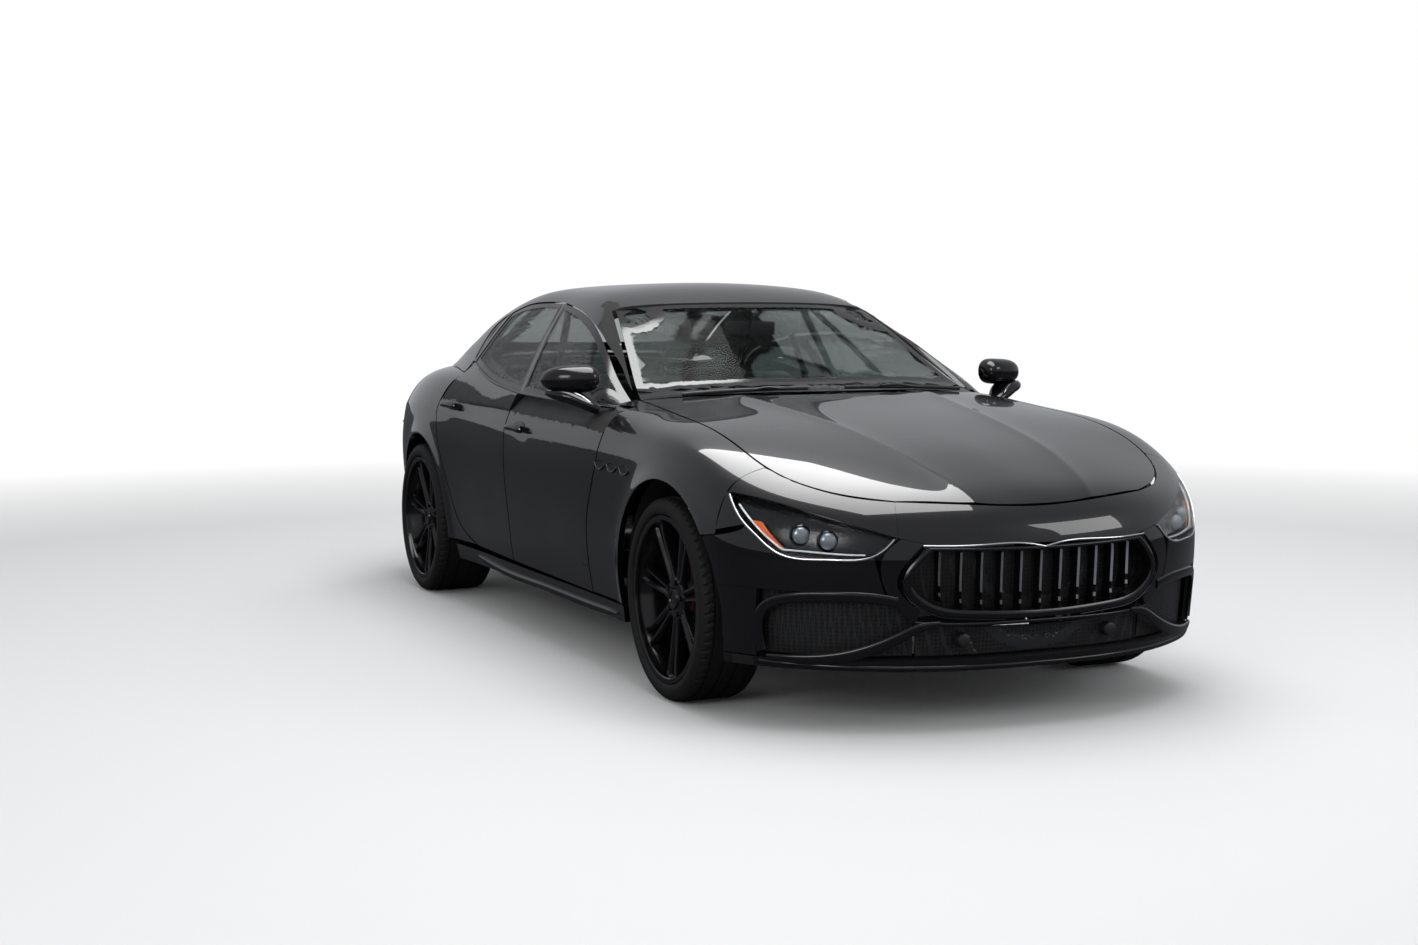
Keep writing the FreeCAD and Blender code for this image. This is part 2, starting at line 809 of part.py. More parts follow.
lid_side_shares = ((.66, -6), (.665, 25), (.68, 50), (.685, 76))
lid_front_angle, lid_edge_angle, lid_rear_angle = 3, -6, 76
quarter_end_shares = ((-1.5, .45), (-1.61, .505), (-1.645, .58), (-1.67, .637))
bumper_top_shares = ((53, .45), (47, .503), (31, .503), (0, .503))
tail_seam_height_share = .378
tail_lamp_low_share, tail_lamp_high_share = .513, .636
lamp_low_angles, lamp_high_angles = (32.2, 45.9), (33.5, 42.5)
bumper_low_share, diffuser_low_share, diffuser_arch_share = .246, .15, .195
post_head_share, rear_post_head_share = .968, .82
mirror_section_shares = ((-1, .4), (-.8, .8), (-.3, 1), (.35, .97), (.8, .74), (1, .38))
hood_arm_shares = ((0, 0), (.5, -.6), (1.15, -.55), (2.05, .45))
lid_arm_shares = ((0, 0), (.3, -1.5), (1.2, -1.75), (2.2, -.7), (2.45, .33))
steering_bar_angles = (0, 180, 270)
seat_base_share = .125


# Flank: doors, glass, fenders, quarters and sills

outline_points = 9
half_gap = s.seam_gap / 2
glass_half_gap = s.glass_gap / 2
wide_gap = half_gap + s.hinge_clearance


def body_side(x, z):
    return side_point(x, z, body_field)


def house_side(x, z):
    return side_point(x, z, house_field)


def body_top(x, y):
    return top_point(x, y, body_field)


def body_round(x, angle):
    return round_point(x, angle, body_field)


def house_round(x, angle):
    return round_point(x, angle, house_field)


hood_hinge_z = body_top(hood_hinge_x, s.hood_arm_y).z - s.hood_hinge_drop
lid_hinge_z = body_top(lid_hinge_x, s.lid_arm_y).z - s.lid_hinge_drop


def side_slab(project, edges, counts, thickness, gaps, inset=0, taper=0):
    """A panel that is as thick as stated across the car, its inner face smaller by a taper."""
    outer = net(project, edges, counts, gaps)
    inner = net(project, edges, counts, gaps[:2] + tuple(gap + taper for gap in gaps[2:]))
    outer = [[point - Vector(0, inset, 0) for point in row] for row in outer]
    inner = [[point - Vector(0, inset + thickness, 0) for point in row] for row in inner]
    return closed(outer, inner)


def reverse(edge):
    return lambda t: edge(1 - t)


def hinge_notches(axis_x, front_reach):
    """The pockets in a door's edge that its hinge arms stand in."""
    notches = []
    for height in (s.lower_hinge_height, s.upper_hinge_height):
        notches.append(box(
            axis_x - s.hinge_pin_radius - s.hinge_gap, axis_x + front_reach,
            s.hinge_line - 2 * s.door_thickness, s.hinge_line + s.hinge_pin_radius + s.rest_gap,
            height - s.hinge_arm_height / 2 - s.rest_gap, height + s.hinge_arm_height / 2 + s.rest_gap))
    return notches


def door(project, low, high, rear, front, gaps, axis_x):
    solid = side_slab(project, (low, high, rear, front), (11, 11), s.door_thickness, gaps, 0, s.door_taper)
    return solid.cut(Part.makeCompound(hinge_notches(axis_x, 2 * s.door_thickness)))


front_door_edge = through(sides(front_door_edge_shares))
door_split = through(sides(door_split_shares))
rear_door_edge = through(sides(rear_door_edge_shares))
front_belt = through(sides(front_belt_shares))
rear_belt = through(sides(rear_belt_shares))
front_door = door(
    body_side, straight(door_split(0), front_door_edge(0)), reverse(front_belt), door_split, front_door_edge,
    (half_gap, half_gap, half_gap, half_gap), front_hinge_x)
rear_door = door(
    side_point, straight(rear_door_edge(0), door_split(0)), reverse(rear_belt), rear_door_edge, door_split,
    (half_gap, half_gap, half_gap, wide_gap), rear_hinge_x)

glass_gaps = (s.glass_rise - half_gap, glass_half_gap, glass_half_gap, glass_half_gap)
window_split = through(sides(window_split_shares))
quarter_split = through(sides(quarter_split_shares))
window_front = straight(front_belt(window_tip_share), sides(front_window_top_shares)[0])


def front_window_low(t):
    """The belt from the window's front tip to the door's rear edge, drawn forward."""
    return front_belt(1 - t * (1 - window_tip_share))


front_window_top = reverse(through(sides(front_window_top_shares)))
rear_window_top = reverse(through(sides(rear_window_top_shares)))
quarter_window_low = reverse(through(sides(quarter_window_low_shares)))
quarter_window_rear = through(sides(quarter_window_rear_shares))
quarter_front = through(sides(quarter_front_shares))
quarter_window_top = straight(quarter_window_rear(1), quarter_front(1))
front_glass = side_slab(house_side, (front_window_low, front_window_top, window_split, window_front),
                        (9, 5), s.glass_thickness, glass_gaps, s.glass_inset)
rear_glass = side_slab(house_side, (reverse(rear_belt), rear_window_top, quarter_split, window_split),
                       (9, 5), s.glass_thickness, glass_gaps, s.glass_inset)
quarter_glass = side_slab(
    house_side, (quarter_window_low, quarter_window_top, quarter_window_rear, quarter_front),
    (5, 5), s.glass_thickness, (glass_half_gap,) * 4, s.glass_inset)


def held_back(edges, hold):
    """The corners and middles of a closed outline, moved inward by a distance."""
    runs = [[Vector(*edge(t), 0) for t in spread(outline_points)] for edge in edges]
    ring = [point for run in runs for point in run[:-1]]
    area = sum(a.x * b.y - b.x * a.y for a, b in zip(ring, ring[1:] + ring[:1]))
    turn = 1 if area > 0 else -1
    moved = []
    for i, point in enumerate(ring):
        before = (point - ring[i - 1]).normalize()
        after = (ring[(i + 1) % len(ring)] - point).normalize()
        first, second = Vector(-before.y, before.x, 0), Vector(-after.y, after.x, 0)
        moved.append(point + (first + second) * (turn * hold / (1 + first.dot(second))))
    step = outline_points - 1
    return [(moved + moved)[i * step:i * step + outline_points] for i in range(len(edges))]


def prism(edges, hold, place, way):
    """A closed outline, moved inward by a distance and drawn along a way."""
    wires = []
    for run in held_back(edges, hold):
        curve = Part.BSplineCurve()
        curve.interpolate([place(point) for point in run])
        wires.append(curve.toShape())
    return Part.Face(Part.Wire(wires)).extrude(way)


def side_prism(edges, hold):
    """A prism across the car, over an outline of places and heights."""
    return prism(edges, hold, lambda p: Vector(p.x, -s.overall_width, p.y), Vector(0, 2 * s.overall_width, 0))


def plan_prism(edges, hold):
    """A prism up through the skin, over an outline seen from above."""
    return prism(edges, hold, lambda p: Vector(p.x, p.y, s.core_height), Vector(0, 0, s.overall_height))


def shell(project, edges, counts, thickness):
    outer = net(project, edges, counts, (0,) * 4)
    inner = [[point + inward(point) * thickness for point in row] for row in outer]
    return closed(outer, inner)


def path(*corners):
    """Straight edges from corner to corner."""
    return [straight(a, b) for a, b in zip(corners, corners[1:])]


hood_side = plans(hood_side_shares)
hood_left = through(hood_side)
hood_right = through([(x, -y) for x, y in hood_side])
hood_front = through(plans(hood_front_shares))
hood_rear = through(plans(hood_rear_shares))
hood_prism = plan_prism([hood_front, hood_left, reverse(hood_rear), reverse(hood_right)], -half_gap)

# The fender is a smooth shell, cut to its outline on the side and by the hood from above.
front_foot = arch_angle(front_arch, up(arch_foot_share), False)
front_seam = arch_angle(front_arch, up(bumper_seam_share), True)
front_arch_edge = arch_edge(front_arch, front_foot, front_seam)
lamp_corners = [nose_point(angle, up(height)) for angle, height in lamp_outer_shares[2:]]
fender_front = through([front_arch_edge(1)] + [(corner.x, corner.z) for corner in lamp_corners])
fender_top = through([on_top(*pair) for pair in fender_top_shares], body_round)
fender_shell_low = straight(from_side(station(fender_rear_share), up(arch_foot_share)),
                            from_side(station(fender_nose_share), up(arch_foot_share)))
fender_shell = shell(body_round, (
    fender_shell_low, fender_top, straight(fender_shell_low(0), fender_top(0)),
    straight(fender_shell_low(1), fender_top(1))), (13, 9), s.skin_thickness)
door_top = front_door_edge(1)
fender_tip_place = (fender_front(1)[0], s.overall_height)
fender_outline = [straight(front_door_edge(0), front_arch_edge(0)), front_arch_edge, fender_front]
fender_outline += path(fender_front(1), fender_tip_place, (station(fender_heel_share), s.overall_height),
                       (station(fender_heel_share), door_top[1]), door_top)
fender_outline.append(reverse(front_door_edge))
fender = fender_shell.common(side_prism(fender_outline, wide_gap)).cut(hood_prism)

def body_lid(y, angle):
    return lid_point(y, angle, body_field)


def lid_edge(pairs):
    return through([(out(width), angle) for width, angle in pairs], body_lid)


lid_left = lid_edge(lid_side_shares)
lid_right = lid_edge([(-width, angle) for width, angle in lid_side_shares])
side_width = lid_side_shares[0][0]
rear_width = lid_side_shares[-1][0]
lid_front = lid_edge(((-side_width, lid_edge_angle), (0, lid_front_angle), (side_width, lid_edge_angle)))
lid_rear = lid_edge(((-rear_width, lid_rear_angle), (0, lid_rear_angle), (rear_width, lid_rear_angle)))


def lid_plan(edge):
    """An edge of the trunk lid, seen from above."""
    def place(t):
        point = body_lid(*edge(t))
        return point.x, point.y
    return place


lid_prism = plan_prism([lid_plan(edge) for edge in (
    lid_front, lid_left, reverse(lid_rear), reverse(lid_right))], -half_gap)

# The quarter panel is made the same way, and meets the trunk lid from above.
rear_foot = arch_angle(rear_arch, up(rear_arch_foot_share), True)
rear_seam = arch_angle(rear_arch, up(tail_seam_height_share), False)
rear_arch_edge = arch_edge(rear_arch, rear_foot, rear_seam)
quarter_top = through(
    [on_side(*pair) for pair in rear_belt_shares[2:4]] + [on_side(*quarter_high_shares[0])]
    + [on_top(*pair) for pair in quarter_high_shares[1:]]
    + [on_top(*pair) for pair in quarter_lid_shares[1:]], body_round)
quarter_low = straight(from_side(quarter_top(0)[0], up(arch_foot_share)),
                       from_side(quarter_top(1)[0], up(arch_foot_share)))
quarter_shell = shell(body_round, (
    quarter_low, quarter_top, straight(quarter_low(0), quarter_top(0)),
    straight(quarter_low(1), quarter_top(1))), (15, 9), s.skin_thickness)
quarter_rear = through(sides(quarter_end_shares))
quarter_end = (quarter_rear(1)[0], s.overall_height)
belt_end = rear_belt(1)
quarter_outline = [straight(rear_door_edge(0), rear_arch_edge(0)), rear_arch_edge,
                   straight(rear_arch_edge(1), quarter_rear(0)), quarter_rear]
quarter_outline += path(quarter_rear(1), quarter_end, (belt_end[0], s.overall_height), belt_end)
quarter_outline.append(reverse(rear_door_edge))
quarter = quarter_shell.common(side_prism(quarter_outline, half_gap)).cut(lid_prism)

# The roof frame is one shell from belt to belt, cut for the glass and over the belt line.
belt_ends = [front_belt_shares[0], front_belt_shares[1], front_belt_shares[2], rear_belt_shares[0],
             rear_belt_shares[2], rear_belt_shares[4]]
belt_places = [on_side(*pair) for pair in belt_ends] + [on_top(*pair) for pair in quarter_high_shares[1:]]
belt_points = [(x, angle - roof_skirt_angle) for x, angle in belt_places]
roof_low = through(belt_points, house_round)
roof_high = through([(x, 180 - angle) for x, angle in belt_points], house_round)
roof_shell = shell(house_round, (
    roof_low, roof_high, straight(roof_low(0), roof_high(0)), straight(roof_low(1), roof_high(1))),
    (15, 21), s.roof_thickness)
belt_side = [(station(a), up(b)) for a, b in belt_ends]
belt_side += [(x, round_point(x, angle).z) for x, angle in belt_places[-3:]]
belt_line = through(belt_side)
below_belt = [belt_line] + path(
    belt_line(1), (-half_length, belt_line(1)[1]), (-half_length, 0), (half_length, 0),
    (half_length, belt_line(0)[1]), belt_line(0))
window_drop = (belt_end[0], s.core_height), (window_front(0)[0], s.core_height)
door_windows = [window_front, reverse(front_window_top), reverse(rear_window_top), reverse(quarter_split)]
door_windows += path(quarter_split(0), *window_drop, window_front(0))
quarter_window = [reverse(quarter_window_low), quarter_window_rear, quarter_window_top, reverse(quarter_front)]
screen_side = plans(screen_side_shares)
ahead = plans(screen_ahead_shares)
roof_front = through(plans(roof_front_shares))
roof_rear = through(plans(roof_rear_shares))
glass_side = plans(glass_side_shares)


def crossed(points):
    """The same places on the car's other side."""
    return [(x, -y) for x, y in points]


screen_hole = [roof_front] + path(screen_side[0], *screen_side[1:], *ahead, *crossed(ahead)[::-1],
                                  *crossed(screen_side)[::-1])
rear_glass_low = through(plans(rear_glass_low_shares))
rear_hole = [rear_glass_low, reverse(through(glass_side)), reverse(roof_rear), through(crossed(glass_side))]
roof_frame = roof_shell.cut(side_prism(below_belt, 0))
roof_frame = roof_frame.cut(side_prism(door_windows, -glass_half_gap))
roof_frame = roof_frame.cut(side_prism(quarter_window, -glass_half_gap))
roof_frame = roof_frame.cut(plan_prism(screen_hole, -glass_half_gap))
roof_frame = roof_frame.cut(plan_prism(rear_hole, -glass_half_gap))


screen_low = through(plans(screen_low_shares))
windscreen = panel(top_point, (
    screen_low, roof_front, straight(*crossed(screen_side[::-1])), straight(*screen_side[::-1])),
    (9, 7), s.glass_thickness, (glass_half_gap, glass_half_gap, s.screen_hold, s.screen_hold), s.glass_inset)
rear_screen = panel(top_point, (
    rear_glass_low, roof_rear, through(crossed(glass_side)[::-1]), through(glass_side[::-1])),
    (9, 7), s.glass_thickness, (glass_half_gap,) * 4, s.glass_inset)
hood = panel(body_top, (hood_front, hood_rear, hood_right, hood_left), (13, 13), s.panel_thickness)
cowl = panel(body_top, (
    hood_rear, screen_low, straight(hood_rear(0), screen_low(0)), straight(hood_rear(1), screen_low(1))),
    (13, 4), s.skin_thickness, (half_gap, half_gap, s.cowl_side, s.cowl_side), s.cowl_drop)

sill = side_slab(body_side, (
    straight(sides(sill_low_shares)[0], sides(sill_low_shares)[1]),
    straight(sides(sill_high_shares)[0], sides(sill_high_shares)[1]),
    straight(sides(sill_low_shares)[0], sides(sill_high_shares)[0]),
    straight(sides(sill_low_shares)[1], sides(sill_high_shares)[1])),
    (13, 4), s.sill_depth, (0, half_gap, half_gap, half_gap))
sill = sill.cut(box(-half_length, half_length, 0, s.floor_half_width + s.rest_gap, 0, s.core_height))


# Nose: bumper, grille and lamps

def nose_edge(shares):
    return through(levels(shares), nose_point)


def nose_panel(edges, counts, thickness, gaps=None, inset=0):
    return panel(nose_point, edges, counts, thickness, gaps, inset)


tight = (s.rest_gap, s.rest_gap, s.rest_gap, s.rest_gap)
hood_front_edge = through([nose_place(top_point(*pair)) for pair in plans(hood_front_shares)], nose_point)
hood_flank_edge = through([nose_place(top_point(*pair)) for pair in plans(hood_flank_shares)], nose_point)
strip_low = nose_edge(grille_top_shares)
nose_strip = nose_panel((
    strip_low, hood_front_edge, straight(strip_low(0), hood_front_edge(0)),
    straight(strip_low(1), hood_front_edge(1))), (15, 5), s.skin_thickness,
    (s.rest_gap, half_gap, s.rest_gap, s.rest_gap))
side_strip_low = nose_edge(lamp_top_shares[:4])
side_strip = nose_panel((
    side_strip_low, hood_flank_edge, straight(side_strip_low(0), hood_flank_edge(0)),
    straight(side_strip_low(1), hood_flank_edge(1))), (9, 5), s.skin_thickness,
    (s.rest_gap, half_gap, s.rest_gap, s.rest_gap))
lamp_low, lamp_high = nose_edge(lamp_low_shares), nose_edge(lamp_top_shares)
lamp_outer = nose_edge(lamp_outer_shares)
headlight = nose_panel((
    lamp_low, lamp_high, straight(lamp_low(0), lamp_high(0)), lamp_outer), (13, 7), s.lamp_depth,
    (glass_half_gap,) * 4)
arch_low_angle = arch_angle(front_arch, up(column_low_share), True)
arch_cheek_angle = arch_angle(front_arch, up(cheek_low_shares[-1][1]), True)
cheek_arch = carried(arch_edge(front_arch, arch_cheek_angle, front_seam), side_to_nose)
column_arch = carried(arch_edge(front_arch, arch_low_angle, arch_cheek_angle), side_to_nose)
cheek_low = through(levels(cheek_low_shares) + [cheek_arch(0)], nose_point)
cheek_high = through(levels(lamp_low_shares + lamp_outer_shares[1:3]) + [cheek_arch(1)], nose_point)
cheek = nose_panel((
    cheek_low, cheek_high, straight(cheek_low(0), cheek_high(0)), cheek_arch), (15, 5), s.panel_thickness,
    (s.rest_gap, glass_half_gap, s.rest_gap, 0))
cheek = cheek.cut(side_prism(fender_outline, s.hinge_clearance))
inner_start, inner_end = nose_edge(inner_cheek_start_shares), nose_edge(inner_cheek_end_shares)
inner_cheek = nose_panel((
    straight(inner_start(0), inner_end(0)), straight(inner_start(1), inner_end(1)), inner_start, inner_end),
    (5, 11), s.panel_thickness, (s.rest_gap, s.rest_gap, s.rest_gap, s.rest_gap))
intake_outer = nose_edge(intake_outer_shares)
column = nose_panel((
    straight(intake_outer(0), column_arch(0)), straight(intake_outer(1), column_arch(1)),
    intake_outer, column_arch), (4, 7), s.panel_thickness, (s.rest_gap, s.rest_gap, 0, 0))
lip_angle = column_arch(0)[0]
lip_low, lip_high = up(lip_low_share), up(lip_high_share)
lip = nose_panel((
    straight((-lip_angle, lip_low), (lip_angle, lip_low)), straight((-lip_angle, lip_high), (lip_angle, lip_high)),
    straight((-lip_angle, lip_low), (-lip_angle, lip_high)), straight((lip_angle, lip_low), (lip_angle, lip_high))),
    (19, 4), s.lip_depth, (0, s.rest_gap, 0, 0))
intake_low_edge = nose_edge(intake_low_shares)
intake_high_edge = nose_edge(intake_high_shares)
side_intake = nose_panel((
    intake_low_edge, intake_high_edge, straight(intake_low_edge(0), intake_high_edge(0)),
    straight(intake_low_edge(1), intake_high_edge(1))), (7, 5), s.skin_thickness, tight, s.intake_recess)
centre_low, centre_high = nose_edge(centre_low_shares), nose_edge(centre_high_shares)
centre_intake = nose_panel((
    centre_low, centre_high, straight(centre_low(0), centre_high(0)), straight(centre_low(1), centre_high(1))),
    (9, 4), s.skin_thickness, tight, s.intake_recess)
bumper_parts = [nose_strip, lip, centre_intake]
bumper_parts += both(side_strip) + both(cheek) + both(inner_cheek) + both(column) + both(side_intake)

# The grille is a six-sided ring with upright bars either side of its middle.
frame_top_shares = ((-19.6, .411), (0, .406), (19.6, .411))
frame_low_shares = ((-14, .256), (0, .248), (14, .256))
frame_side_shares = ((14, .256), (20, .275), (23.3, .33), (19.6, .411))
frame_inner_side_shares = ((13.5, .272), (18.8, .288), (22, .331), (18.7, .403))
frame_inner_top_shares = ((-18.7, .403), (0, .398), (18.7, .403))
frame_inner_low_shares = ((-13.5, .272), (0, .264), (13.5, .272))


def ring_panel(inner, outer, counts):
    return nose_panel((inner, outer, straight(inner(0), outer(0)), straight(inner(1), outer(1))),
                      counts, s.grille_recess, tight)


frame_top, frame_inner_top = nose_edge(frame_top_shares), nose_edge(frame_inner_top_shares)
frame_low, frame_inner_low = nose_edge(frame_low_shares), nose_edge(frame_inner_low_shares)
frame_side, frame_inner_side = nose_edge(frame_side_shares), nose_edge(frame_inner_side_shares)
grille_parts = [ring_panel(frame_inner_top, frame_top, (11, 4)), ring_panel(frame_inner_low, frame_low, (9, 4))]
grille_parts += both(ring_panel(frame_inner_side, frame_side, (11, 4)))
bar_angle_shares = (3.6, 7, 10.4, 13.8, 17.2)
bar_low_share, bar_high_share = .272, .398


def grille_bar(angle):
    """An upright blade with a rounded front, from the ring's bottom to its top."""
    low, high = up(bar_low_share), up(bar_high_share)
    front = nose_point(angle, (low + high) / 2)
    way = Vector(front.x - half_length + s.nose_core_setback, front.y, 0).normalize()
    nose = front - way * s.grille_bar_depth / 2
    blade = box(-s.grille_bar_depth, 0, -s.grille_bar_width / 2, s.grille_bar_width / 2,
                low + s.rest_gap + s.grille_frame_width, high - s.grille_frame_width / 2)
    edges = [edge for edge in blade.Edges if edge.Vertexes[0].X == 0 and edge.Vertexes[-1].X == 0
             and abs(edge.Vertexes[0].Z - edge.Vertexes[-1].Z) > s.grille_bar_width]
    blade = blade.makeFillet(s.grille_bar_width / 2 - s.rest_gap, edges)
    blade.rotate(Vector(0, 0, 0), Vector(0, 0, 1), math.degrees(math.atan2(way.y, way.x)))
    blade.translate(Vector(nose.x, nose.y, 0))
    return blade


for angle in bar_angle_shares:
    grille_parts += both(grille_bar(angle))
right_frame_side = nose_edge([(-angle, height) for angle, height in frame_side_shares])
grille_back = nose_panel((
    frame_low, frame_top, right_frame_side, frame_side), (9, 9), s.skin_thickness, tight, s.grille_recess + s.grille_bar_depth + s.rest_gap)
grille_parts.append(grille_back)

# Tail: lid, lamps, bumper and diffuser

def tail_panel(edges, counts, thickness, gaps=None, inset=0):
    return panel(tail_point, edges, counts, thickness, gaps, inset)


trunk_lid = panel(body_lid, (lid_front, lid_rear, lid_right, lid_left), (11, 15), s.panel_thickness)
tail_arch_low = carried(arch_edge(rear_arch, arch_angle(rear_arch, up(diffuser_arch_share), False),
                                  arch_angle(rear_arch, up(bumper_low_share), False)), side_to_tail)
tail_arch = carried(arch_edge(rear_arch, arch_angle(rear_arch, up(bumper_low_share), False), rear_seam), side_to_tail)


def swapped(edge):
    """The same edge on the car's other side."""
    return lambda t: (-edge(t)[0], edge(t)[1])


bumper_low = straight((-tail_arch(0)[0], tail_arch(0)[1]), tail_arch(0))
bumper_top_half = levels(bumper_top_shares)
bumper_high = through(
    [(-tail_arch(1)[0], tail_arch(1)[1])] + [(-angle, z) for angle, z in bumper_top_half[:3]]
    + bumper_top_half[::-1] + [tail_arch(1)], tail_point)
rear_cover = tail_panel((bumper_low, bumper_high, swapped(tail_arch), tail_arch), (25, 7), s.skin_thickness,
                        (s.rest_gap, half_gap, 0, 0))
diffuser_low = straight((-tail_arch_low(0)[0], tail_arch_low(0)[1]), tail_arch_low(0))
diffuser = tail_panel((diffuser_low, bumper_low, swapped(tail_arch_low), tail_arch_low), (21, 4),
                      s.skin_thickness, (0, s.rest_gap, 0, 0))
lamp_levels = [(angle, tail_lamp_low_share) for angle in lamp_low_angles]
lamp_tops = [(angle, tail_lamp_high_share) for angle in lamp_high_angles]
tail_low, tail_high = straight(*levels(lamp_levels)), straight(*levels(lamp_tops))
tail_lamp = tail_panel((
    tail_low, tail_high, straight(tail_low(0), tail_high(0)), straight(tail_low(1), tail_high(1))),
    (5, 5), s.lamp_depth, (glass_half_gap,) * 4)


# Sketched and primitive pieces, bound to the sheet

def size_of(formula):
    return float(sheet.evalExpression(formula))


def pin_point(sketch, line, end, formulas):
    """Fixes one end of a line at two formulas of the sheet's values."""
    for kind, formula in zip(("DistanceX", "DistanceY"), formulas):
        value = size_of(formula)
        if value < 0:
            sketch.addConstraint(Sketcher.Constraint(kind, line, end, -1, 1, -value))
            formula = f"-({formula})"
        else:
            sketch.addConstraint(Sketcher.Constraint(kind, -1, 1, line, end, value))
        sketch.setExpression(f"Constraints[{sketch.ConstraintCount - 1}]", formula)


def outline_sketch(body, plane, loops):
    """A sketch of closed straight-sided loops on one of the body's own planes."""
    sketch = body.newObject("Sketcher::SketchObject", "outline")
    origin = [feature for feature in body.Origin.OriginFeatures if feature.Role == plane]
    sketch.AttachmentSupport = [(origin[0], "")]
    sketch.MapMode = "FlatFace"
    for loop in loops:
        places = [Vector(size_of(a), size_of(b), 0) for a, b in loop]
        first = sketch.GeometryCount
        for one, other in zip(places, places[1:] + places[:1]):
            sketch.addGeometry(Part.LineSegment(one, other))
        for i, formulas in enumerate(loop):
            following = first + (i + 1) % len(loop)
            sketch.addConstraint(Sketcher.Constraint("Coincident", first + i, 2, following, 1))
            pin_point(sketch, first + i, 1, formulas)
    return sketch


def turned(label, loop):
    """A body turned about its own Y axis from a loop of radii and places along it."""
    body = doc.addObject("PartDesign::Body", label)
    body.Label = label
    sketch = outline_sketch(body, "XY_Plane", [loop])
    revolution = body.newObject("PartDesign::Revolution", "turn")
    revolution.Profile = sketch
    revolution.ReferenceAxis = (sketch, ["V_Axis"])
    revolution.Angle = FULL_TURN
    return body


def primitive(kind, place, **formulas):
    feature = doc.addObject(f"Part::{kind}", kind)
    for name, formula in formulas.items():
        feature.setExpression(name, formula)
    feature.Placement = place
    return feature


def combined(kind, label, base, tools):
    feature = doc.addObject(f"Part::{kind}", label)
    feature.Label = label
    if kind == "Cut":
        feature.Base, feature.Tool = base, tools
    else:
        feature.Shapes = [base] + tools
    return feature


def keep_feature(feature, label):
    feature.Label = label
    kept.append(feature)
    return feature


# Wheels: each has a rim with paired spokes, a tyre and a brake disc

axles = (("front", front_axle_x, s.front_track / 2, "sizes.front_tyre_width"),
         ("rear", rear_axle_x, s.rear_track / 2, "sizes.rear_tyre_width"))


def tyre_loop(width):
    seat = "sizes.rim_inset + sizes.rim_lip + sizes.rest_gap"
    bore = "sizes.rim_radius + sizes.rest_gap"
    bead = "sizes.rim_radius + sizes.rim_flange + sizes.rest_gap"
    wide = "sizes.rim_radius + sizes.tyre_low_wall"
    shoulder = "sizes.tyre_radius - sizes.tyre_shoulder_drop"
    inset = "sizes.rim_inset"
    return ((bore, seat), (bead, seat), (bead, inset), (wide, "0"), (shoulder, "0"),
            ("sizes.tyre_radius", "sizes.tyre_shoulder"), ("sizes.tyre_radius", f"{width} - sizes.tyre_shoulder"),
            (shoulder, width), (wide, width), (bead, f"{width} - {inset}"), (bead, f"{width} - ({seat})"),
            (bore, f"{width} - ({seat})"))


def barrel_loop(width):
    rim_width = f"({width} - 2 * sizes.rim_inset)"
    seat, well = "sizes.rim_radius", "sizes.rim_radius - sizes.rim_well_depth"
    flange = "sizes.rim_radius + sizes.rim_flange"
    inner_seat, inner_well = f"{seat} - sizes.rim_wall", f"{well} - sizes.rim_wall"
    lip, slope = "sizes.rim_lip", "sizes.rim_slope"
    return ((flange, "0"), (flange, lip), (seat, lip), (seat, slope), (well, f"2 * {slope}"),
            (well, f"{rim_width} - 2 * {slope}"), (seat, f"{rim_width} - {slope}"),
            (seat, f"{rim_width} - {lip}"), (flange, f"{rim_width} - {lip}"), (flange, rim_width),
            (inner_seat, rim_width), (inner_seat, f"{rim_width} - {slope}"),
            (inner_well, f"{rim_width} - 2 * {slope}"), (inner_well, f"2 * {slope}"), (inner_seat, slope),
            (inner_seat, "0"))


def spoked_rim(label, width):
    """A barrel with a hub, and pairs of spokes between them."""
    rim_width = f"({width} - 2 * sizes.rim_inset)"
    hub_front = f"({rim_width} - sizes.hub_setback)"
    body = turned(label, barrel_loop(width))
    hub_back = f"{hub_front} - sizes.hub_depth"
    bore_end = f"{hub_front} - sizes.hub_wall"
    hub = outline_sketch(body, "XY_Plane", [(
        ("sizes.hub_bore", hub_back), ("sizes.hub_radius", hub_back), ("sizes.hub_radius", hub_front),
        ("0", hub_front), ("0", bore_end), ("sizes.hub_bore", bore_end))])
    turn = body.newObject("PartDesign::Revolution", "hub")
    turn.Profile = hub
    turn.ReferenceAxis = (hub, ["V_Axis"])
    turn.Angle = FULL_TURN
    start, end = "sizes.hub_radius - sizes.spoke_root_sink", "sizes.rim_radius - sizes.rim_wall"
    root, tip = "sizes.spoke_root_spread", "sizes.spoke_spread"
    loop = [(start, root), (end, tip), (end, f"{tip} + sizes.spoke_width"), (start, f"{root} + sizes.spoke_width")]
    other = [(a, f"-({b})") for a, b in loop]
    spokes = outline_sketch(body, "XZ_Plane", [loop, other])
    spokes.setExpression("AttachmentOffset.Base.z", f"-({hub_front} - sizes.spoke_depth)")
    pad = body.newObject("PartDesign::Pad", "spokes")
    pad.Profile = spokes
    pad.Reversed = True
    pad.setExpression("Length", "sizes.spoke_depth")
    pattern = body.newObject("PartDesign::PolarPattern", "pairs")
    pattern.Originals = [pad]
    axis = [feature for feature in body.Origin.OriginFeatures if feature.Role == "Y_Axis"]
    pattern.Axis = (axis[0], [""])
    pattern.Angle = FULL_TURN
    pattern.Occurrences = int(s.spoke_pairs)
    body.Tip = pattern
    return body


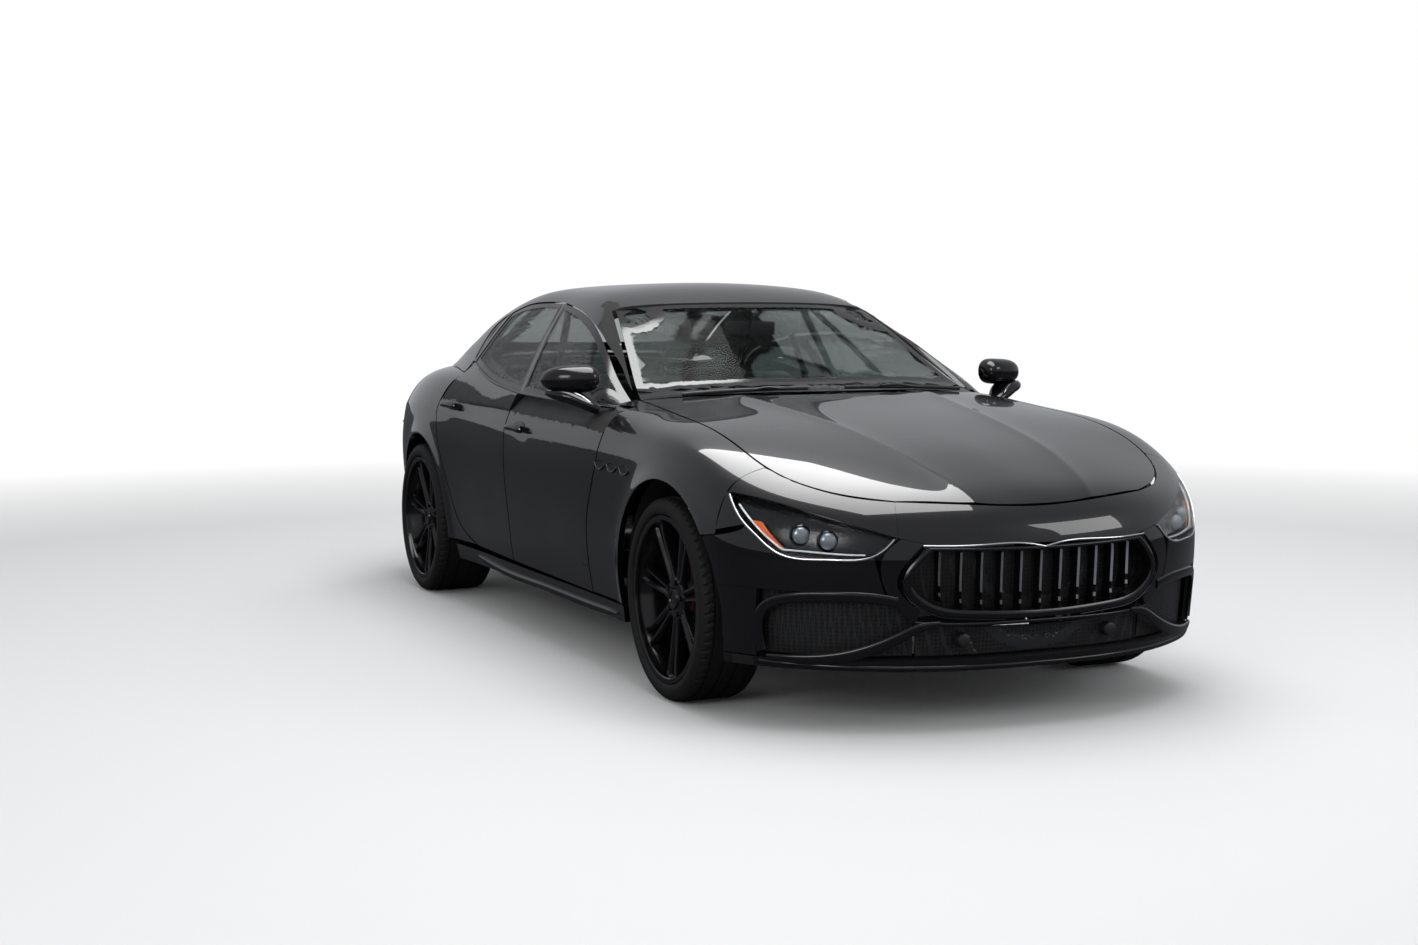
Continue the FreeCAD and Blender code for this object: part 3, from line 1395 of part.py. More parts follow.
def disc_loop(radius):
    """A flat ring and the hat that carries it, from the disc's inner face outward."""
    front = "sizes.disc_inset + sizes.disc_thickness"
    inner = "sizes.disc_hat_radius - sizes.hat_wall"
    return ((radius, "0"), (radius, "sizes.disc_thickness"), ("sizes.disc_hat_radius", "sizes.disc_thickness"),
            ("sizes.disc_hat_radius", front), ("sizes.hub_bore", front),
            ("sizes.hub_bore", f"{front} - sizes.hat_wall"), (inner, f"{front} - sizes.hat_wall"), (inner, "0"))


hub_back_offset = s.rim_inset + s.hub_setback + s.hub_depth
for axle, axle_x, half_track, width in axles:
    tyre_width = size_of(width)
    hub_back = tyre_width / 2 - hub_back_offset
    disc_back = hub_back - s.disc_inset - s.disc_thickness
    disc_radius = "sizes.disc_radius" if axle == "front" else "sizes.rear_disc_radius"
    for name, side in SIDES:
        turn = Rotation(ALONG_Z, 0 if side == LEFT else HALF_TURN)

        def at_wheel(along):
            return Placement(Vector(axle_x, side * (half_track + along), wheel_z), turn)

        tyre = keep_feature(turned(f"tyre_{axle}_{name}", tyre_loop(width)), f"tyre_{axle}_{name}")
        tyre.Placement = at_wheel(-tyre_width / 2)
        rim = keep_feature(spoked_rim(f"rim_{axle}_{name}", width), f"rim_{axle}_{name}")
        rim.Placement = at_wheel(s.rim_inset - tyre_width / 2)
        disc = keep_feature(turned(f"brake_disc_{axle}_{name}", disc_loop(disc_radius)),
                            f"brake_disc_{axle}_{name}")
        disc.Placement = at_wheel(disc_back)


# Running gear: knuckles that carry the front wheels, arms, struts and crossmembers

def ring_sector(centre, inner, outer, y0, y1, first_angle, sweep):
    """Part of a ring about a line across the car."""
    low, high = min(y0, y1), max(y0, y1)
    start = Vector(centre.x, low, centre.z)
    solid = Part.makeCylinder(outer, high - low, start, ALONG_Y, sweep)
    solid = solid.cut(Part.makeCylinder(inner, high - low, start, ALONG_Y))
    solid.rotate(start, ALONG_Y, first_angle)
    return solid


def caliper(centre, side, disc_back, disc_radius):
    """A caliper ahead of the axle, with a running gap on the disc's faces and over its edge."""
    slot_back = disc_back - s.running_gap
    slot_front = disc_back + s.disc_thickness + s.running_gap
    outer = disc_radius + s.running_gap + s.caliper_wall
    spots = [centre.y + side * along for along in (
        slot_back - s.caliper_wall, slot_front + s.caliper_wall, slot_back, slot_front)]
    first = -s.caliper_sweep / 2 + QUARTER_TURN
    body = ring_sector(centre, s.caliper_reach, outer, spots[0], spots[1], first, s.caliper_sweep)
    slot = ring_sector(centre, s.disc_hat_radius, disc_radius + s.running_gap, spots[2], spots[3],
                       first - s.caliper_sweep, 3 * s.caliper_sweep)
    bracket = ring_sector(centre, s.carrier_radius - s.kingpin_radius, s.caliper_reach + s.caliper_wall,
                          spots[0], spots[2] - side * s.rest_gap, first + s.caliper_sweep / 4,
                          s.caliper_sweep / 2)
    return [body.cut(slot), bracket]


def spindle(centre, side, start, disc_front):
    """The carrier, the bearing inside the disc's hat, and the spindle in the hub's bore."""
    spots = [centre.y + side * along for along in (
        start, start + 2 * s.kingpin_radius, disc_front - s.hat_wall - s.running_gap,
        disc_front + s.hub_depth - s.hub_wall - s.rest_gap)]
    radii = (s.carrier_radius, s.bearing_radius, s.hub_bore - s.shaft_clearance)
    return [rod(Vector(centre.x, a, centre.z), Vector(centre.x, b, centre.z), radius)
            for a, b, radius in zip(spots, spots[1:], radii)]


def wishbone(axle_x, side, outer_y, inner_y, z0, z1, eye, spread_width):
    """A flat arm that widens from its outer eye to the crossmember."""
    corners = ((axle_x - eye, side * outer_y), (axle_x + eye, side * outer_y),
               (axle_x + spread_width, side * inner_y), (axle_x - spread_width, side * inner_y))
    spots = [Vector(x, y, z0) for x, y in corners]
    return Part.Face(Part.makePolygon(spots + spots[:1])).extrude(Vector(0, 0, z1 - z0))


def strut(x, y, low, high):
    """A damper in a spring, from the lower arm to the wheel house."""
    middle = (low + high) / 2
    return [rod(Vector(x, y, low), Vector(x, y, high), s.strut_radius),
            rod(Vector(x, y, middle), Vector(x, y, high), s.spring_radius)]


front_liner_radius = s.front_arch_reach
rear_liner_radius = s.rear_arch_reach
front_hub_back = s.front_tyre_width / 2 - hub_back_offset
rear_hub_back = s.rear_tyre_width / 2 - hub_back_offset
kingpin_y = s.front_track / 2 - s.kingpin_inset
upper_arm_low = s.kingpin_high - s.arm_thickness
subframe_top = s.subframe_height + s.subframe_depth
front_parts = [box(front_axle_x - s.subframe_half_depth, front_axle_x + s.subframe_half_depth,
                   -s.rail_outer, s.rail_outer, s.subframe_height, subframe_top)]
for name, side in SIDES:
    centre = Vector(front_axle_x, side * s.front_track / 2, wheel_z)
    post = rod(Vector(front_axle_x, side * kingpin_y, s.kingpin_low),
               Vector(front_axle_x, side * kingpin_y, s.kingpin_high), s.kingpin_radius)
    disc_back = front_hub_back - s.disc_inset - s.disc_thickness
    parts = [post] + spindle(centre, side, -s.kingpin_inset - s.kingpin_radius, front_hub_back)
    parts += caliper(centre, side, disc_back, s.disc_radius)
    keep(f"knuckle_front_{name}", fused(parts))
    eye_foot = Vector(front_axle_x, side * kingpin_y, 0)
    eye_hole = rod(eye_foot, eye_foot + ALONG_Z * s.core_height, s.kingpin_radius + s.rest_gap)
    for low, high in ((s.kingpin_low, s.kingpin_low + s.arm_thickness), (upper_arm_low, s.kingpin_high)):
        eye = rod(Vector(front_axle_x, side * kingpin_y, low), Vector(front_axle_x, side * kingpin_y, high),
                  s.arm_eye_radius)
        spread_width = s.subframe_half_depth if low < wheel_z else s.arm_width / 2
        arm = wishbone(front_axle_x, side, kingpin_y, s.rail_inner, low, high, s.arm_eye_radius / 2, spread_width)
        front_parts.append(eye.fuse(arm).cut(eye_hole))
    strut_y = side * (kingpin_y - s.strut_setback)
    front_parts += strut(front_axle_x, strut_y, s.kingpin_low + s.arm_thickness / 2,
                         wheel_z + math.sqrt(front_liner_radius ** 2 - s.spring_radius ** 2) - s.rest_gap)
    front_parts.append(box(front_axle_x - s.tower_half_depth, front_axle_x + s.tower_half_depth,
                           side * s.rail_inner, side * s.rail_outer, subframe_top, s.rail_low - s.rest_gap))
    front_parts.append(box(front_axle_x - s.tower_half_depth, front_axle_x + s.tower_half_depth,
                           side * s.rail_inner, side * s.rail_outer, s.rail_high + s.rest_gap, s.kingpin_high))
keep("front_suspension", fused(front_parts))

rear_subframe_top = s.rear_subframe_height + s.subframe_depth
rear_parts = [box(rear_axle_x - s.subframe_half_depth, rear_axle_x + s.subframe_half_depth,
                  -s.rail_outer, s.rail_outer, s.rear_subframe_height, rear_subframe_top),
              box(rear_axle_x - s.final_drive_length / 2, rear_axle_x + s.final_drive_length / 2,
                  -s.final_drive_width / 2, s.final_drive_width / 2,
                  rear_subframe_top - s.arm_thickness, s.trunk_floor_height - s.rest_gap)]
upright_y = s.rear_track / 2 - s.kingpin_inset
for name, side in SIDES:
    centre = Vector(rear_axle_x, side * s.rear_track / 2, wheel_z)
    disc_back = rear_hub_back - s.disc_inset - s.disc_thickness
    rear_parts += spindle(centre, side, -s.kingpin_inset - s.kingpin_radius, rear_hub_back)
    rear_parts += caliper(centre, side, disc_back, s.rear_disc_radius)
    rear_parts.append(box(
        rear_axle_x - s.carrier_radius / 2, rear_axle_x + s.carrier_radius / 2,
        side * (upright_y - s.kingpin_radius), side * (upright_y + s.kingpin_radius),
        s.kingpin_low, s.kingpin_high - s.arm_width))
    rear_parts.append(wishbone(
        rear_axle_x, side, upright_y, s.rail_inner, s.rear_subframe_height, s.rear_subframe_height + s.arm_thickness,
        s.carrier_radius / 2, s.subframe_half_depth))
    rear_parts += strut(rear_axle_x, side * (upright_y - s.strut_setback),
                        s.rear_subframe_height + s.arm_thickness / 2,
                        wheel_z + math.sqrt(rear_liner_radius ** 2 - s.spring_radius ** 2) - s.rest_gap)
    rear_parts.append(rod(Vector(rear_axle_x, 0, wheel_z),
                          Vector(rear_axle_x, side * upright_y, wheel_z), s.shaft_radius))
keep("rear_suspension", fused(rear_parts))


# Floor, walls and frame

def liner(axle_x, radius, inner_y, outer_y):
    """The half tube over a wheel."""
    low = wheel_z - s.arm_width
    tube = Part.makeCylinder(radius + s.liner_wall, outer_y - inner_y, Vector(axle_x, inner_y, wheel_z), ALONG_Y)
    tube = tube.cut(Part.makeCylinder(radius, outer_y - inner_y, Vector(axle_x, inner_y, wheel_z), ALONG_Y))
    return tube.cut(box(axle_x - 2 * radius, axle_x + 2 * radius, 0, half_width, -2 * radius, low))


def liner_end(axle_x, radius, thickness):
    """How far out a liner may reach under the skin."""
    outer = radius + s.liner_wall
    reach_now = half_width
    for angle in range(-ARCH_STEP // 2, HALF_TURN + ARCH_STEP, ARCH_STEP):
        x = axle_x + outer * math.cos(math.radians(angle))
        z = wheel_z + outer * math.sin(math.radians(angle))
        reach_now = min(reach_now, body_side(x, z).y)
    return reach_now - thickness - s.liner_play


front_liner_end = liner_end(front_axle_x, front_liner_radius, s.skin_thickness)
rear_liner_end = liner_end(rear_axle_x, rear_liner_radius, s.skin_thickness + s.rear_liner_play)
liners = both(liner(front_axle_x, front_liner_radius, s.liner_inner, front_liner_end))
liners += both(liner(rear_axle_x, rear_liner_radius, s.liner_inner, rear_liner_end))
keep("wheel_houses", liners)



def rail_end(side):
    """Where a front rail meets the bumper's inner face."""
    ends = []
    for y in (s.rail_inner, s.rail_outer):
        for z in (s.rail_low, s.rail_high):
            start = Vector(half_length - s.nose_core_setback, y, z)
            ends.append(start.x + reach(body_field, start, ALONG_X))
    return min(ends) - s.rail_setback


floor_top = s.ground_clearance + s.floor_thickness
firewall_front = front_axle_x - front_liner_radius - s.liner_wall - s.rest_gap
floor_rear = rear_axle_x + rear_liner_radius + s.liner_wall + s.rest_gap
cabin_wall = floor_rear + s.wall_thickness
tunnel_inner = s.tunnel_half_width - s.floor_thickness
floor_parts = [
    box(floor_rear, firewall_front, -s.floor_half_width, s.floor_half_width, s.ground_clearance, floor_top),
    box(floor_rear, firewall_front, -s.tunnel_half_width, s.tunnel_half_width, floor_top,
        floor_top + s.tunnel_height),
    box(firewall_front - s.wall_thickness, firewall_front, -s.pillar_face, s.pillar_face, floor_top,
        s.firewall_top),
    box(floor_rear, cabin_wall, -s.floor_half_width, s.floor_half_width, floor_top, s.trunk_floor_height),
    box(floor_rear, cabin_wall, -s.trunk_half_width, s.trunk_half_width, s.trunk_floor_height,
        s.shelf_height - s.floor_thickness - s.rest_gap)]
for name, side in SIDES:
    floor_parts.append(box(floor_rear, firewall_front, side * s.floor_half_width, side * s.inner_sill,
                           floor_top, s.sill_top))
    floor_parts.append(box(firewall_front - s.wall_thickness, rail_end(side), side * s.rail_inner,
                           side * s.rail_outer, s.rail_low, s.rail_high))
floor = fused(floor_parts).cut(box(
    floor_rear, firewall_front, -tunnel_inner, tunnel_inner, 0, floor_top + s.tunnel_height - s.floor_thickness))
keep("underbody", floor)

tub_end = -half_length + s.tub_setback
tub = box(tub_end, floor_rear - s.rest_gap, -s.trunk_half_width, s.trunk_half_width, s.trunk_floor_height,
          s.shelf_height - s.floor_thickness - s.rest_gap)
tub = tub.cut(box(tub_end + s.trunk_wall, floor_rear - s.rest_gap - s.trunk_wall,
                  -s.trunk_half_width + s.trunk_wall, s.trunk_half_width - s.trunk_wall,
                  s.trunk_floor_height + s.trunk_wall, s.overall_height))
shelf = box(shelf_rear_x, cabin_wall, -s.shelf_half_width, s.shelf_half_width,
            s.shelf_height - s.floor_thickness, s.shelf_height)
lid_pins, frame_parts = [], []
for name, side in SIDES:
    lid_pins.append(box(lid_hinge_x - s.hinge_plate, shelf_rear_x + s.hinge_plate, side * s.lid_arm_y,
                        side * (s.lid_arm_y + s.hinge_plate), s.shelf_height - s.floor_thickness,
                        lid_hinge_z + s.hinge_plate))
    lid_pins.append(rod(Vector(lid_hinge_x, side * (s.lid_arm_y - 2 * s.hinge_plate), lid_hinge_z),
                        Vector(lid_hinge_x, side * s.lid_arm_y, lid_hinge_z), s.lid_pin_radius))
keep("trunk_tub", [tub, fused([shelf] + lid_pins)])


def hinge_arm(axis_x, side, pillar_y, height):
    """An arm from a pillar's face to a barrel on the door's hinge line."""
    half_height = s.hinge_arm_height / 2
    base = Vector(axis_x, side * s.hinge_line, height - half_height)
    barrel = rod(base, base + Vector(0, 0, s.hinge_arm_height), s.hinge_pin_radius)
    arm = box(axis_x - s.hinge_pin_radius, axis_x + s.hinge_pin_radius, side * pillar_y, side * s.hinge_line,
              height - half_height, height + half_height)
    return [barrel, arm]


def striker(x, side, z, pillar_y):
    """A pin from a pillar to just short of the door's inner face."""
    end = min(body_side(x + dx, z + dz).y for dx in (-s.striker_radius, s.striker_radius)
              for dz in (-s.striker_radius, s.striker_radius))
    return rod(Vector(x, side * pillar_y, z),
               Vector(x, side * (end - s.door_thickness - s.striker_play), z), s.striker_radius)


def largest(shape):
    """The one solid of a trimmed shell, without the crumbs of its cut."""
    return max(shape.Solids, key=lambda solid: solid.Volume)


def roof_post(foot, head):
    """A slanted round post that ends just under the roof's inner face."""
    way = (head - foot).normalize()
    length = reach(house_field, foot, way) - 2 * s.roof_thickness
    sink = way * 2 * s.post_radius
    for turn in range(seating_turns):
        post = rod(foot - sink, foot + way * length, s.post_radius)
        length += post.distToShape(roof_frame)[0] - s.rest_gap
    post = rod(foot - sink, foot + way * length, s.post_radius)
    return post.cut(box(foot.x - 4 * s.post_radius, foot.x + 4 * s.post_radius, foot.y - 4 * s.post_radius,
                        foot.y + 4 * s.post_radius, foot.z - 4 * s.post_radius, foot.z))


roof_frame = largest(roof_frame)
keep("roof_frame", roof_frame)
b_pillar_front = rear_hinge_x + s.b_pillar_depth - s.b_pillar_rear
hinge_pillar_top = s.pillar_top
for name, side in SIDES:
    sill_floor = s.sill_top + s.rest_gap
    parts = [
        box(front_hinge_x - s.pillar_depth / 2, front_hinge_x + s.pillar_depth / 2, side * s.pillar_inner,
            side * s.pillar_face, sill_floor, hinge_pillar_top),
        box(hood_hinge_x - s.hinge_plate, hood_hinge_x + s.hinge_plate,
            side * (s.hood_arm_y - s.hinge_plate), side * (s.hood_arm_y - 2 * s.hinge_plate), hinge_pillar_top,
            hood_hinge_z + s.hinge_plate / 2),
        box(front_hinge_x, hood_hinge_x + s.hinge_plate, side * (s.hood_arm_y - 2 * s.hinge_plate),
            side * s.pillar_face, hinge_pillar_top - s.wall_thickness, hinge_pillar_top),
        rod(Vector(hood_hinge_x, side * (s.hood_arm_y - 2 * s.hinge_plate), hood_hinge_z),
            Vector(hood_hinge_x, side * (s.hood_arm_y + s.hinge_plate), hood_hinge_z), s.lid_pin_radius)]
    for height in (s.lower_hinge_height, s.upper_hinge_height):
        parts += hinge_arm(front_hinge_x, side, s.pillar_face, height)
    frame_parts.append(fused(parts))
    parts = [box(rear_hinge_x - s.b_pillar_rear, b_pillar_front, side * s.pillar_inner_b,
                 side * s.b_pillar_face, sill_floor, s.b_pillar_top)]
    for height in (s.lower_hinge_height, s.upper_hinge_height):
        parts += hinge_arm(rear_hinge_x, side, s.b_pillar_face, height)
    parts.append(striker(b_pillar_front - 2 * s.striker_radius, side, s.striker_height, s.b_pillar_face))
    parts.append(roof_post(
        Vector(rear_hinge_x + s.striker_radius, side * (s.pillar_inner_b + s.post_radius),
               s.b_pillar_top - s.post_radius),
        Vector(post_head_x, side * s.post_head_y, up(post_head_share))))
    frame_parts.append(fused(parts))
    rear_side = house_side(rear_post_x, up(rear_post_head_share)).y - s.post_inset
    frame_parts.append(roof_post(
        Vector(rear_post_x, side * (s.shelf_half_width - s.post_radius), s.shelf_height + s.rest_gap),
        Vector(rear_post_x, side * rear_side, up(rear_post_head_share))))
    parts = [box(cabin_wall + s.rest_gap, cabin_wall + s.wall_thickness, side * s.trunk_half_width,
                 side * s.pillar_inner_b, sill_floor, s.rear_post_top),
             striker(cabin_wall + s.wall_thickness / 2 + s.rest_gap, side, s.rear_striker_height, s.pillar_inner_b)]
    frame_parts.append(fused(parts))

keep("body_frame", frame_parts)
keep("front_fenders", both(largest(fender)))
keep("quarter_panels", both(largest(quarter)))
keep("sills", both(largest(sill)))
keep("fixed_glass", [windscreen, rear_screen] + both(quarter_glass))
keep("cowl", cowl)
keep("front_bumper", bumper_parts)
keep("grille", grille_parts)
keep("headlights", both(headlight))
keep("tail_lights", both(tail_lamp))
tip_holes = []
for side_name, side in SIDES:
    for step in (-1, 1):
        y = side * (s.tip_y + step * s.tip_spacing / 2)
        tip_holes.append(rod(Vector(-half_length - s.tip_length, y, s.tip_height),
                             Vector(-half_length + 4 * s.tip_length, y, s.tip_height),
                             s.tip_radius + s.running_gap / 2))
keep("rear_bumper", [rear_cover.cut(Part.makeCompound(tip_holes)), diffuser.cut(Part.makeCompound(tip_holes))])


# Doors, hood and lid

for name, side in SIDES:
    placed = (lambda shape: shape) if side == LEFT else mirrored
    keep(f"door_front_{name}", placed(largest(front_door)))
    keep(f"door_rear_{name}", placed(largest(rear_door)))
    keep(f"door_glass_front_{name}", placed(front_glass))
    keep(f"door_glass_rear_{name}", placed(rear_glass))


def gooseneck(hinge_x, hinge_z, arm_y, side, shares, way):
    """A bent arm from a hinge pin to a panel, with the pin's hole."""
    spots = [Vector(hinge_x + way * a * s.gooseneck_reach, side * (arm_y - s.hinge_plate),
                    hinge_z + b * s.gooseneck_reach) for a, b in shares]
    wide = s.hinge_plate
    pieces = []
    for one, other in zip(spots, spots[1:]):
        run = (other - one).normalize() * wide / 2
        square = Vector(-run.z, 0, run.x)
        corners = [one - run + square, one - run - square, other + run - square, other + run + square]
        pieces.append(Part.Face(Part.makePolygon(corners + corners[:1])).extrude(
            Vector(0, side * s.hinge_plate, 0)))
    boss = rod(spots[0], spots[0] + Vector(0, side * s.hinge_plate, 0), s.hinge_plate)
    hole = rod(spots[0] - Vector(0, side, 0), spots[0] + Vector(0, side * 2 * s.hinge_plate, 0),
               s.lid_pin_radius + s.rest_gap)
    return fused([boss] + pieces).cut(hole)


hood_arms = [gooseneck(hood_hinge_x, hood_hinge_z, s.hood_arm_y + s.hinge_plate / 2, side, hood_arm_shares, 1)
             for name, side in SIDES]
keep("hood", fused([hood] + hood_arms))
lid_arms = [gooseneck(lid_hinge_x, lid_hinge_z, s.lid_arm_y - s.hinge_plate / 2, side, lid_arm_shares, -1)
            for name, side in SIDES]
keep("trunk_lid", fused([trunk_lid] + lid_arms))


def mirror_head(heart):
    """A rounded housing across the car, flat behind its glass."""
    rings = []
    for across, share in mirror_section_shares:
        centre = heart + Vector(0, across * s.mirror_half_width, 0)
        rings.append(Part.Wire(Part.Ellipse(
            centre + Vector(0, 0, share * s.mirror_half_height),
            centre + Vector(share * s.mirror_half_depth, 0, 0), centre).toShape()))
    back = heart.x - s.mirror_back
    return Part.makeLoft(rings, True).cut(box(
        back - s.mirror_half_depth, back, heart.y - s.mirror_half_width, heart.y + s.mirror_half_width,
        heart.z - s.mirror_half_height, heart.z + s.mirror_half_height))


mirror_heart = Vector(mirror_x, s.mirror_y, s.mirror_height)
mirror_foot = body_side(mirror_foot_x, s.mirror_foot_z) + Vector(0, s.rest_gap + s.mirror_arm / 2, 0)
arm_end = mirror_heart - Vector(0, s.mirror_half_width / 2, s.mirror_half_height / 2)
for turn in range(seating_turns):
    mirror_arm = rod(mirror_foot, arm_end, s.mirror_arm / 2)
    mirror_foot.y -= mirror_arm.distToShape(largest(front_door))[0] - s.rest_gap
mirror = fused([mirror_head(mirror_heart), rod(mirror_foot, arm_end, s.mirror_arm / 2)])
for name, side in SIDES:
    keep(f"mirror_{name}", mirror if side == LEFT else mirrored(mirror))


# Engine, exhaust and cabin

def box_place(x, y, z, turn=None):
    return Placement(Vector(x, y, z), turn or Rotation())


engine_low = subframe_top + s.rest_gap
keep_feature(primitive("Box", box_place(firewall_front + s.engine_gap, -s.engine_width / 2, engine_low),
                       Length="sizes.engine_length", Width="sizes.engine_width", Height="sizes.engine_height"),
             "engine")

along_x = Rotation(ALONG_Z, ALONG_X)
muffler = primitive("Box", box_place(muffler_x, -s.muffler_width / 2, s.tip_height - s.muffler_height / 2),
                    Length="sizes.muffler_length", Width="sizes.muffler_width", Height="sizes.muffler_height")
pipe_run = "sizes.overall_length - sizes.front_overhang - sizes.pipe_setback - sizes.muffler_setback"
pipe_run += " - sizes.muffler_length / 2"
pipe = primitive("Cylinder", Placement(Vector(muffler_x + s.muffler_length / 2, 0, s.pipe_height), along_x),
                 Radius="sizes.pipe_radius", Height=pipe_run)
down_pipe = primitive("Cylinder", box_place(
    front_axle_x - s.pipe_setback - s.pipe_radius, 0, s.pipe_height), Radius="sizes.pipe_radius",
    Height="sizes.down_pipe_length")
tips = []
for name, side in SIDES:
    for step in (-1, 1):
        y = side * (s.tip_y + step * s.tip_spacing / 2)
        place = Placement(Vector(tip_end, y, s.tip_height), along_x)
        outer = primitive("Cylinder", place, Radius="sizes.tip_radius", Height="sizes.tip_length")
        inner = primitive("Cylinder", place, Radius="sizes.tip_radius - sizes.tip_wall",
                          Height="sizes.tip_length - sizes.tip_wall")
        tips.append(combined("Cut", "tip", outer, inner))
        reach_place = Placement(Vector(tip_end + s.tip_length - s.tip_wall, y, s.tip_height), along_x)
        tips.append(primitive("Cylinder", reach_place, Radius="sizes.pipe_radius", Height="sizes.tip_reach"))
keep_feature(combined("MultiFuse", "exhaust", muffler, [pipe, down_pipe] + tips), "exhaust")

turn = Rotation(ALONG_Y, -(QUARTER_TURN - s.steering_rake))
centre = Vector(steering_x, s.steering_y, s.steering_height)
wheel_rim = primitive("Torus", Placement(centre, turn), Radius1="sizes.steering_radius",
                      Radius2="sizes.steering_rim")
boss = primitive("Cylinder", Placement(centre - turn.multVec(ALONG_Z) * s.steering_boss / 2, turn),
                 Radius="sizes.steering_boss", Height="sizes.steering_boss")
bars = []
for angle in steering_bar_angles:
    bar_turn = turn.multiply(Rotation(ALONG_Z, angle))
    start = centre - turn.multVec(ALONG_Z) * s.steering_rim / 2 - bar_turn.multVec(ALONG_Y) * s.steering_rim
    bars.append(primitive("Box", Placement(start, bar_turn), Length="sizes.steering_radius",
                          Width="2 * sizes.steering_rim", Height="sizes.steering_rim"))
keep_feature(combined("MultiFuse", "steering_wheel", wheel_rim, [boss] + bars), "steering_wheel")

dash_face = dash_x
column_start = centre - turn.multVec(ALONG_Z) * (s.steering_boss / 2 + s.rest_gap)
column = rod(column_start, column_start - turn.multVec(ALONG_Z) * s.column_length, s.steering_rim * 2)
dash = box(dash_face, dash_face + s.dash_depth, -s.dash_half_width, s.dash_half_width, s.dash_top - s.dash_height,
           s.dash_top)
dash_edges = [edge for edge in dash.Edges if abs(edge.CenterOfMass.z - s.dash_top) < s.rest_gap
              and abs(edge.CenterOfMass.y) < s.rest_gap]
dash = dash.makeFillet(s.dash_round, dash_edges)
console = box(console_rear_x, dash_face + s.console_width, -s.console_width / 2, s.console_width / 2,
              floor_top + s.tunnel_height + s.rest_gap, floor_top + s.tunnel_height + s.console_height)
keep("dashboard", fused([dash, console, column]))


def cushion(x0, x1, y0, y1, z0, z1, radius, turn=0):
    solid = box(x0, x1, y0, y1, z0, z1)
    solid = solid.makeChamfer(radius, solid.Edges)
    if turn:
        solid.rotate(Vector(x0, 0, z0), ALONG_Y, -turn)
    return solid


def seat(middle_y, width, x, with_base):
    """A cushion on a base, a raked back and a headrest, joined."""
    low_y, high_y = middle_y - width / 2, middle_y + width / 2
    top = s.seat_height + s.seat_pad
    parts = [cushion(x, x + s.seat_depth, low_y, high_y, s.seat_height, top, s.seat_round)]
    parts.append(cushion(x, x + s.back_pad, low_y, high_y, s.seat_height + s.seat_round,
                         s.seat_height + s.back_height, s.seat_round, s.back_rake))
    if with_base:
        inset = width * seat_base_share
        parts.append(box(x + inset, x + s.seat_depth - inset, low_y + inset, high_y - inset,
                         floor_top + s.rest_gap, s.seat_height + s.seat_round))
    return parts


def headrest(middle_y, x):
    """A pad that stands on the seat's back."""
    low = s.seat_height + s.back_height - s.seat_round
    back = cushion(x, x + s.headrest_depth, middle_y - s.headrest_width / 2, middle_y + s.headrest_width / 2,
                   low, low + s.headrest_height, s.headrest_round)
    back.rotate(Vector(x, 0, s.seat_height), ALONG_Y, -s.back_rake)
    return back


keep("front_seats", [fused(seat(side * s.seat_y, s.seat_width, seat_x, True) + [headrest(side * s.seat_y, seat_x)])
                     for name, side in SIDES])
rear_seat = fused(seat(0, s.rear_seat_width, rear_seat_x, False) + [box(
    rear_seat_x + s.seat_round, rear_seat_x + s.seat_depth - s.seat_round, -s.rear_seat_width / 2 + s.seat_round,
    s.rear_seat_width / 2 - s.seat_round, floor_top + s.tunnel_height + s.rest_gap, s.seat_height + s.seat_round)])
keep("rear_seat", rear_seat)

# Checks and files

doc.recompute()
for feature in doc.Objects:
    for bad in ("Invalid", "Error"):
        if bad in feature.State:
            raise ValueError(f"{feature.Label} is {feature.State}")
labels = [feature.Label for feature in kept]
if len(set(labels)) != len(labels):
    raise ValueError("two sub-parts share a label")
for feature in kept:
    if feature.Shape.isNull() or not feature.Shape.isValid():
        raise ValueError(f"{feature.Label} has no valid shape")
os.makedirs("parts", exist_ok=True)
for feature in kept:
    feature.Shape.exportStep(f"parts/{feature.Label}.step")
print(len(kept), "sub-parts")
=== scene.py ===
import math

